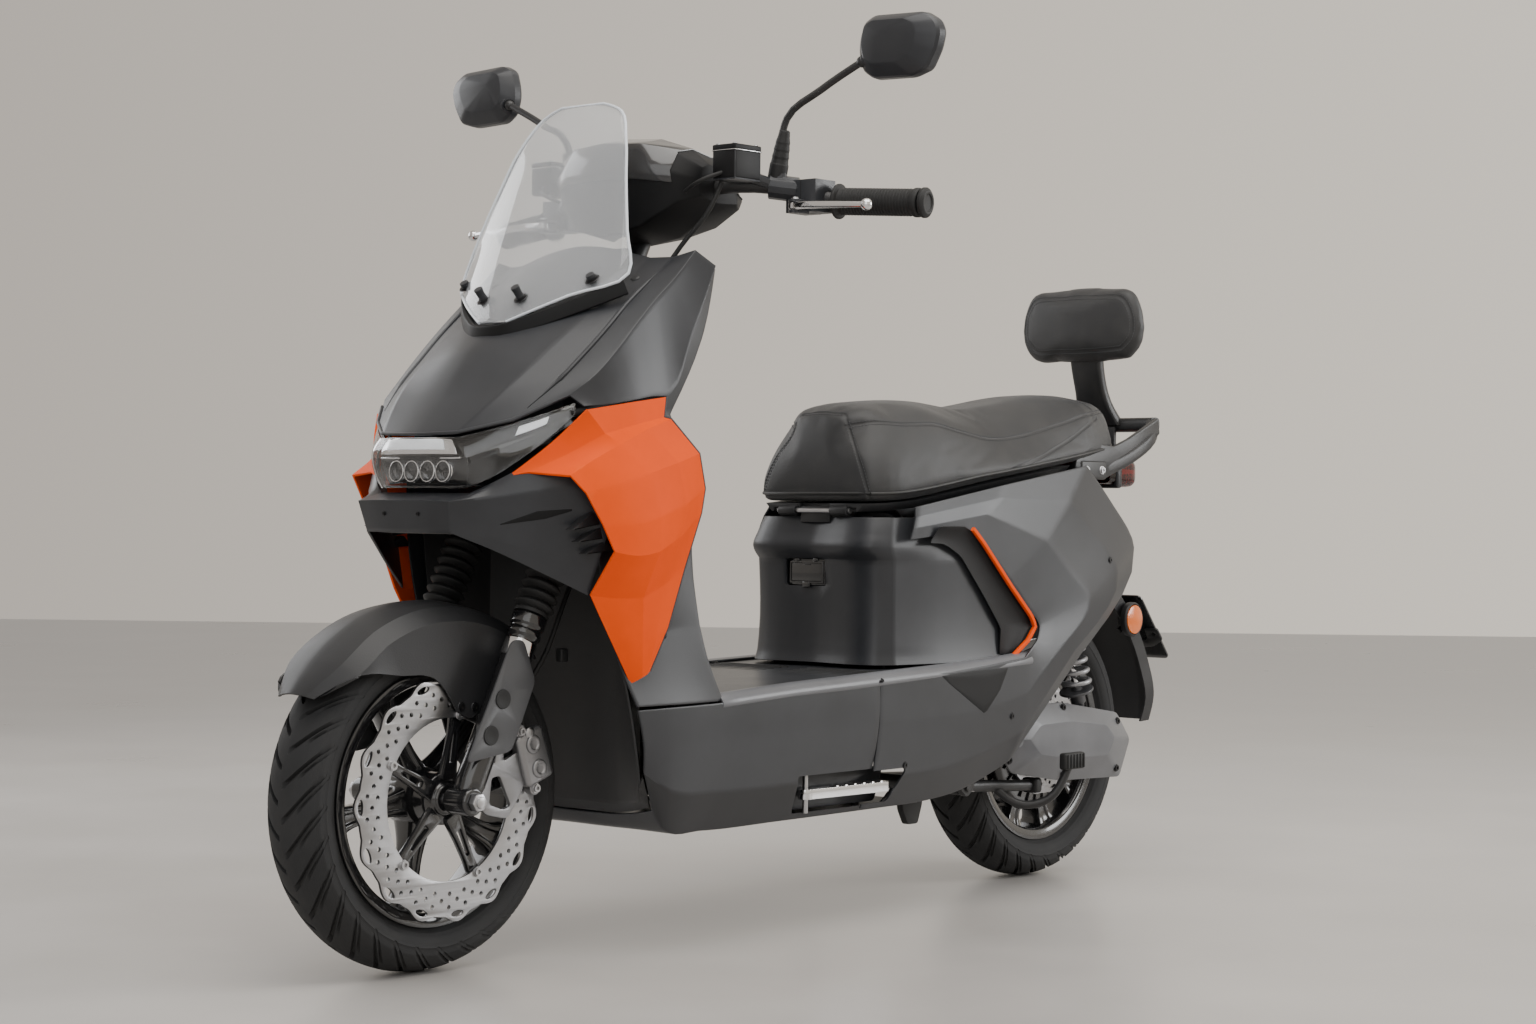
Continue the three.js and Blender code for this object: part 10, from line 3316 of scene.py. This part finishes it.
class SCOOTER_OT_levers(bpy.types.Operator):
    """Make the polished brake levers with their pivot screws"""
    bl_idname = "scooter.levers"
    bl_label = "Brake levers"

    def execute(self, context):
        half = context.scene.scooter_controls.lever_thickness / 2
        for side, label in NAMED_SIDES:
            line = [spot(x, y * side, z) for x, y, z in LEVER_LINE]
            path = spline(line, EVEN_STEPS)
            rings = []
            for i, place in enumerate(path):
                share = i / (len(path) - 1)
                ahead = (path[min(i + 1, len(path) - 1)] - path[max(i - 1, 0)]).normalized()
                out = ahead.cross(UP).normalized()
                wide = half * (1.15 - 0.35 * share)
                tall = half * (1.3 - 0.45 * share)
                if i == 0:
                    wide, tall = wide * 0.8, tall * 0.9
                rings.append(rounded_ring(place, out, UP, wide, tall, 0.46, 5))
            blade = lofted("blade", rings, angle=50.0)
            pivot = spot(LEVER_PIVOT[0], LEVER_PIVOT[1] * side, LEVER_PIVOT[2])
            eye = disc_between("eye", pivot - UP * half, pivot + UP * half, 9 * MM, 32)
            ball_mesh = bpy.data.meshes.new("ball")
            shape = bmesh.new()
            bmesh.ops.create_uvsphere(shape, u_segments=32, v_segments=20, radius=8 * MM,
                                      matrix=Matrix.Translation(line[-1]))
            shape.to_mesh(ball_mesh)
            shape.free()
            ball = bare_object("ball", ball_mesh)
            for piece in (blade, eye, ball):
                coloured(piece, FINISH["polished metal"])
            finished(soften(merged("brake_lever_%s_blade" % label, blade, eye, ball), ROUND_TURN),
                     "lever_" + label, None,
                     ["brake_lever_" + label])
            bolts("lever_screw_" + label, [pivot + UP * (half + 5.4 * MM)], [UP], "steering",
                  4.4 * MM, 2.4 * MM, 6 * MM)
        return {"FINISHED"}


class SCOOTER_OT_switches(bpy.types.Operator):
    """Make the switch housings, the reservoirs, the horn button and the turn signal switch"""
    bl_idname = "scooter.switches"
    bl_label = "Switch housings"

    def execute(self, context):
        for side, label in NAMED_SIDES:
            shell = bevelled(cad_copy(label + "_switch_housing", label + "_switch_shell"), 2.2 * MM,
                             3, 28.0)
            finished(shell, "steering", FINISH["satin dark plastic"],
                     [label + "_switch_housing"])
            x, y, z = HOUSING
            seam = rounded_box("%s_switch_seam" % label, spot(x, y * side, z),
                               (42.6 * MM, 1.1 * MM, 44.6 * MM), 2.2 * MM, 3)
            finished(seam, "steering", FINISH["deep shadow"])
            x, y, z = RESERVOIR
            lid = rounded_box("lid", spot(x, y * side, z + 2.2), (54 * MM, 42 * MM, 8 * MM), 2 * MM,
                              3)
            tank = rounded_box("tank", spot(x, y * side, z - 0.1), (53.2 * MM, 41.2 * MM, 40 * MM),
                               3 * MM, 3)
            coloured(tank, FINISH["insert plastic"])
            rim = rounded_box("rim", spot(x, y * side, z + 1.8), (54.6 * MM, 42.6 * MM, 1.4 * MM),
                              0.6 * MM, 3)
            coloured(lid, FINISH["insert plastic"])
            coloured(rim, FINISH["polished metal"])
            cap = finished(merged("%s_reservoir_lid" % label, lid, rim, tank), "steering", None)
            soften(cap)
            places = [spot(x + dx, (y + dy) * side, z + 2.66) for dx in (-2.1, 2.1)
                      for dy in (-1.5, 1.5)]
            bolts("%s_reservoir_screws" % label, places, [UP] * 4, "steering", 2.6 * MM, 1.2 * MM,
                  3.6 * MM)
            glass = upright(in_metres(filleted([(0, 0), (6, 0), (6, 2.2), (4.6, 3), (0, 3)], 0.4)),
                            "%s_sight_glass" % label,
                            along(spot(x - 2.55, y * side, z), spot(x - 4, y * side, z)), 28,
                            closed=False)
            finished(glass, "steering", FINISH["smoked lens"])
            feed = tube("%s_brake_line" % label, [
                spot(x + 2.5, (y - 0.4) * side, z - 1.2), spot(x + 4.6, (y - 2.6) * side, z - 2.4),
                spot(x + 4.4, (y - 5.4) * side, z - 3.6)], 2.8 * MM, 12)
            finished(feed, "steering", FINISH["soft rubber"])
        horn = bevelled(cad_copy("horn_button", "horn_button_cap"), 0.8 * MM, 3)
        finished(horn, "horn", FINISH["orange plastic"], ["horn_button"])
        signal = bevelled(cad_copy("signal_switch", "signal_switch_cap"), 0.7 * MM, 3)
        finished(signal, "signal", FINISH["matt dark plastic"],
                 ["signal_switch"])
        return {"FINISHED"}


# Mirrors


STALK = [(19, 19.9, 106.4), (19, 20.1, 109), (19, 21.2, 112.6), (18.8, 27, 116),
         (18.4, 33.8, 119.2)]
HEAD_MIDDLE = (18.2, 39.8, 120.9)
HEAD_OUTLINE = [(-1, -0.12), (-0.9, -0.66), (-0.62, -0.95), (0.3, -1), (0.7, -0.82), (0.92, -0.22),
                (1, 0.28), (0.9, 0.64),
                (0.6, 0.92), (-0.62, 1), (-0.88, 0.8), (-0.98, 0.28)]
HEAD_RINGS = [(0.93, -17), (0.985, -15.6), (1.0, -11.9), (0.985, -2), (0.94, 2), (0.68, 13.4),
              (0.64, 14.4), (0.1, 17.3)]


def head_ring(shrink, depth, side):
    x, y, z = HEAD_MIDDLE
    drift = 0.4 * max(0, 0.94 - shrink) if depth > 2 else 0
    flat = filleted([((u * shrink - drift) * 69, (v * shrink + drift) * 44)
                     for u, v in HEAD_OUTLINE], 7 * shrink, 4, closed=True)
    centre = spot(x, y * side, z)
    return [centre + Vector((depth * MM, u * MM * side, v * MM)) for u, v in flat]


def ball_at(name, place, radius, around, along_it):
    """A ball round a place, with so many faces around and along it."""
    mesh = bpy.data.meshes.new(name)
    shape = bmesh.new()
    bmesh.ops.create_uvsphere(shape, u_segments=around, v_segments=along_it, radius=radius,
                              matrix=Matrix.Translation(place))
    shape.to_mesh(mesh)
    shape.free()
    return bare_object(name, mesh)


class SCOOTER_OT_mirrors(bpy.types.Operator):
    """Make the mirrors: boots, stalks, shells and glasses"""
    bl_idname = "scooter.mirrors"
    bl_label = "Mirrors"

    def execute(self, context):
        for side, label in NAMED_SIDES:
            line = [spot(x, y * side, z) for x, y, z in STALK]
            rod = coloured(tube("rod", line, 5 * MM, 20), FINISH["black frame paint"])
            boot = coloured(upright(in_metres(filleted(
                [(0, -20), (13, -20), (13, 0.4), (12.2, 2), (11.4, 8), (11.8, 11), (10.6, 18),
                 (11, 21), (9.8, 28), (10, 31), (8.4, 38),
                 (7.4, 46), (5.2, 48), (0, 48)], 0.8)), "boot", along(line[0], line[2]), 40,
                                    closed=False), FINISH["soft rubber"])
            nut = coloured(upright(in_metres(filleted([(0, 0), (8.2, 0), (8.2, 6), (0, 6)], 0.8)),
                                   "nut",
                                   along(line[0] - UP * 0.2 * MM, line[1]), 6, closed=False),
                           FINISH["black frame paint"])
            ball = coloured(ball_at("ball", line[-1], 7.8 * MM, 28, 18),
                            FINISH["black frame paint"])
            finished(soften(merged("mirror_stalk_%s_rod" % label, rod, boot, nut, ball), 38),
                     "steering", None,
                     ["mirror_stalk_" + label])
            rings = [head_ring(shrink, depth, side) for shrink, depth in HEAD_RINGS]
            shell = lofted("shell", rings, angle=18.0)
            sunk_rings = [head_ring(0.915, depth, side) for depth in (-20, -15.2)]
            tool = lofted("tool", sunk_rings)
            x, y, z = HEAD_MIDDLE
            socket = ball_at("socket", line[-1], 8.5 * MM, 24, 16)
            shell = carved(shell, tool, socket, angle=18.0)
            shell = soften(bevelled(shell, 0.8 * MM, 2, 40.0), 18)
            shell.name = "mirror_head_%s_shell" % label
            body = "mirror_" + label
            finished(shell, body, FINISH["satin dark plastic"],
                     ["mirror_head_" + label])
            glass = lofted("mirror_glass_" + label,
                           [head_ring(0.895, -15.9, side), head_ring(0.905, -15.1, side)],
                           angle=30.0)
            finished(glass, body, FINISH["mirror"])
            way = (spot(x, y * side, z) - line[-1]).normalized()
            cup = coloured(disc_between("cup", line[-1] + way * 5 * MM, line[-1] + way * 17 * MM,
                                        10.5 * MM, 32),
                           FINISH["satin dark plastic"])
            finished(soften(merged("mirror_cup_" + label, cup)), body, None)
        return {"FINISHED"}


# Colours, stage and panel

# The wall's painted tone at the picture's left and right, darker on the left with painted shade,
# and how far to the side it still changes
WALL_LEFT = (0.58, 0.53, 0.475, 1)
WALL_RIGHT = (0.88, 0.81, 0.71, 1)
WALL_REACH = 0.26
# The light that the surround gives
SURROUND_COLOUR = (0.92, 0.95, 1.0, 1)
SURROUND_STRENGTH = 0.55
# The floor's corners, in metres ahead of the camera and to its side: the far edge meets the wall
FLOOR_CORNERS = ((-4, -9), (-4, 9), (12.9, 9), (13.9, -9))
# Name, place, target, size, power as a setting and a share of it, and colour
LIGHTS = (
    ("key", (0.4, 0.9, 3.4), (0, 0, 0.5), (3.4, 2.6), ("key_power", 1.0), (1.0, 0.98, 0.95)),
    ("fill", (3.4, 2.0, 1.9), (0, 0, 0.6), (3.0, 3.0), ("fill_power", 0.75), (0.94, 0.97, 1.0)),
    ("back", (-2.7, 2.6, 1.6), (-0.7, 0, 0.45), (1.6, 1.8), ("fill_power", 1.6),
     (0.97, 0.985, 1.0)),
    ("side", (0.6, -3.0, 1.8), (0, 0, 0.7), (2.4, 1.4), ("fill_power", 0.7), (0.95, 0.97, 1.0)),
)
VIEW_REACH = 60


class ScooterColours(bpy.types.PropertyGroup):
    body_dark: bpy.props.FloatVectorProperty(
        name="Body", description="Colour of the satin dark panels", subtype="COLOR",
        default=(0.028, 0.029, 0.032), min=0, max=1)
    body_matt: bpy.props.FloatVectorProperty(
        name="Matt trim", description="Colour of the matt dark mouldings", subtype="COLOR",
        default=(0.02, 0.02, 0.021), min=0, max=1)
    accent: bpy.props.FloatVectorProperty(
        name="Accent", description="Colour of the side fairings", subtype="COLOR",
        default=(0.93, 0.085, 0.002), min=0, max=1)
    seat: bpy.props.FloatVectorProperty(
        name="Seat", description="Colour of the seat's vinyl", subtype="COLOR",
        default=(0.02, 0.02, 0.0205), min=0, max=1)


class SCOOTER_OT_finishes(bpy.types.Operator):
    """Make every finish and the node trees that the other steps use"""
    bl_idname = "scooter.finishes"
    bl_label = "Finishes"

    def execute(self, context):
        make_finishes(context.scene.scooter_colours)
        make_trees()
        return {"FINISHED"}


def area_light(name, place, target, size, power, colour):
    light = bpy.data.lights.new(name, "AREA")
    light.shape = "RECTANGLE"
    light.size, light.size_y = size
    light.energy = power
    light.color = colour
    lamp = bpy.data.objects.new(name, light)
    bpy.context.scene.collection.objects.link(lamp)
    lamp.location = place
    lamp.rotation_euler = (Vector(target) - Vector(place)).to_track_quat("-Z", "Y").to_euler()
    return lamp


class StageSizes(bpy.types.PropertyGroup):
    key_power: bpy.props.FloatProperty(name="Key light",
                                       description="Power of the large light above", default=95.0,
                                       min=0)
    fill_power: bpy.props.FloatProperty(name="Fill light",
                                        description="Power of the light from the front left",
                                        default=46.0, min=0)
    floor_tone: bpy.props.FloatVectorProperty(
        name="Floor", description="Colour of the floor", subtype="COLOR",
        default=(0.50, 0.465, 0.425), min=0, max=1)


def backdrop_world():
    """An even surround, which the camera sees as a pale wall with painted shade that darkens it to
    the left.
    """
    world = bpy.data.worlds.new("Studio")
    bpy.context.scene.world = world
    world.use_nodes = True
    graph = Graph(world.node_tree)
    world.node_tree.nodes.clear()
    path = graph.node("ShaderNodeLightPath")
    place = graph.node("ShaderNodeTexCoord")
    across, _, _ = view_axes()
    side = graph.node("ShaderNodeVectorMath", {0: place.outputs["Generated"], 1: tuple(across)},
                      operation="DOT_PRODUCT")
    tone = graph.node("ShaderNodeMapRange",
                      {"Value": side.outputs["Value"], "From Min": -WALL_REACH,
                       "From Max": WALL_REACH,
                       "To Min": 0.0, "To Max": 1.0})
    # Painted shade: the wall's tone runs from the darker left to the lighter right.
    mix = graph.node("ShaderNodeMix", data_type="RGBA")
    world.node_tree.links.new(tone.outputs[0], mix.inputs[0])
    mix.inputs[6].default_value = WALL_LEFT
    mix.inputs[7].default_value = WALL_RIGHT
    seen_wall = graph.node("ShaderNodeBackground", {"Color": mix.outputs[2], "Strength": 1.0})
    soft = graph.node("ShaderNodeBackground",
                      {"Color": SURROUND_COLOUR, "Strength": SURROUND_STRENGTH})
    rays = graph.maths("MAXIMUM", path.outputs["Is Camera Ray"], graph.maths(
            "MAXIMUM", path.outputs["Is Glossy Ray"], path.outputs["Is Transmission Ray"]))
    both = graph.node("ShaderNodeMixShader", {0: rays, 1: soft.outputs[0], 2: seen_wall.outputs[0]})
    graph.node("ShaderNodeOutputWorld", {"Surface": both.outputs[0]})


class SCOOTER_OT_stage(bpy.types.Operator):
    """Make the floor, the surround, the lights and the camera"""
    bl_idname = "scooter.stage"
    bl_label = "Stage"

    def execute(self, context):
        sizes = context.scene.scooter_stage
        mesh = bpy.data.meshes.new("floor")
        ahead = view_axes()[2]
        ahead = Vector((ahead.x, ahead.y, 0)).normalized()
        aside = ahead.cross(UP)
        start = Vector((VIEW_PLACE.x, VIEW_PLACE.y, 0))
        corners = [start + ahead * a + aside * b for a, b in FLOOR_CORNERS]
        mesh.from_pydata([tuple(p) for p in corners], [], [(0, 1, 2, 3)])
        floor = bare_object("floor", mesh)
        tone = tuple(sizes.floor_tone)
        floor.data.materials.append(surface_material("Studio floor", tone, 0.3, bump=0.02,
                                                     grain=90.0, dust=0.0, edges=0.0, tone=0.1,
                                                     patch=1.6, scuffs=0.1))
        backdrop_world()
        lights = [area_light(name, place, target, size, getattr(sizes, setting) * share, colour)
                  for name, place, target, size, (setting, share), colour in LIGHTS]
        camera = bpy.data.cameras.new("view")
        view = bpy.data.objects.new("view", camera)
        context.scene.collection.objects.link(view)
        camera.sensor_width = SENSOR
        camera.lens = VIEW_FOCUS / PICTURE[0] * SENSOR
        across, up, ahead = view_axes()
        back = -ahead
        view.matrix_world = Matrix((
            (across.x, up.x, back.x, VIEW_PLACE[0]), (across.y, up.y, back.y, VIEW_PLACE[1]),
            (across.z, up.z, back.z, VIEW_PLACE[2]), (0, 0, 0, 1)))
        camera.clip_end = VIEW_REACH
        context.scene.camera = view
        return {"FINISHED"}


STEPS = [
    "finishes", "front_wheel", "fork", "front_brake", "front_fender", "nose_cowl", "headlight",
    "lower_cowl", "side_fairings",
    "windshield", "leg_shield", "underbody", "floor", "seat_box", "tail", "seat", "backrest",
    "grab_rail", "tail_light",
    "rear_fender", "rear_wheel", "swingarm", "motor_cover", "shock", "stand", "footpegs", "frame",
    "handlebar", "grips",
    "levers", "switches", "mirrors", "stage",
]


class SCOOTER_PT_build(bpy.types.Panel):
    """Steps and sizes of the scooter"""
    bl_idname = "SCOOTER_PT_build"
    bl_label = "Scooter"
    bl_space_type = "VIEW_3D"
    bl_region_type = "UI"
    bl_category = "Scooter"

    def draw(self, context):
        scene = context.scene
        for name, sizes in SIZES:
            box = self.layout.box()
            group = getattr(scene, name)
            box.label(text=sizes.__name__)
            for key in sizes.__annotations__:
                box.prop(group, key)
        for step in STEPS:
            self.layout.operator("scooter." + step)


SIZES = [
    ("scooter_colours", ScooterColours), ("scooter_wheels", WheelSizes),
    ("scooter_fork", ForkSizes),
    ("scooter_panels", PanelSizes), ("scooter_cushions", CushionSizes), ("scooter_rear", RearSizes),
    ("scooter_controls", ControlSizes), ("scooter_stage", StageSizes),
]
OPERATORS = [
    SCOOTER_OT_finishes, SCOOTER_OT_front_wheel, SCOOTER_OT_fork, SCOOTER_OT_front_brake,
    SCOOTER_OT_front_fender,
    SCOOTER_OT_nose_cowl, SCOOTER_OT_headlight, SCOOTER_OT_lower_cowl, SCOOTER_OT_side_fairings,
    SCOOTER_OT_windshield,
    SCOOTER_OT_leg_shield, SCOOTER_OT_underbody, SCOOTER_OT_floor, SCOOTER_OT_seat_box,
    SCOOTER_OT_tail, SCOOTER_OT_seat,
    SCOOTER_OT_backrest, SCOOTER_OT_grab_rail, SCOOTER_OT_tail_light, SCOOTER_OT_rear_fender,
    SCOOTER_OT_rear_wheel,
    SCOOTER_OT_swingarm, SCOOTER_OT_motor_cover, SCOOTER_OT_shock, SCOOTER_OT_stand,
    SCOOTER_OT_footpegs, SCOOTER_OT_frame,
    SCOOTER_OT_handlebar, SCOOTER_OT_grips, SCOOTER_OT_levers, SCOOTER_OT_switches,
    SCOOTER_OT_mirrors, SCOOTER_OT_stage,
]
CLASSES = [sizes for _, sizes in SIZES] + OPERATORS + [SCOOTER_PT_build]


def register():
    for item in CLASSES:
        bpy.utils.register_class(item)
    for name, sizes in SIZES:
        setattr(bpy.types.Scene, name, bpy.props.PointerProperty(type=sizes))


def unregister():
    for name, _ in SIZES:
        delattr(bpy.types.Scene, name)
    for item in reversed(CLASSES):
        bpy.utils.unregister_class(item)


def main():
    register()
    for step in STEPS:
        getattr(bpy.ops.scooter, step)()


if __name__ == "__main__":
    main()
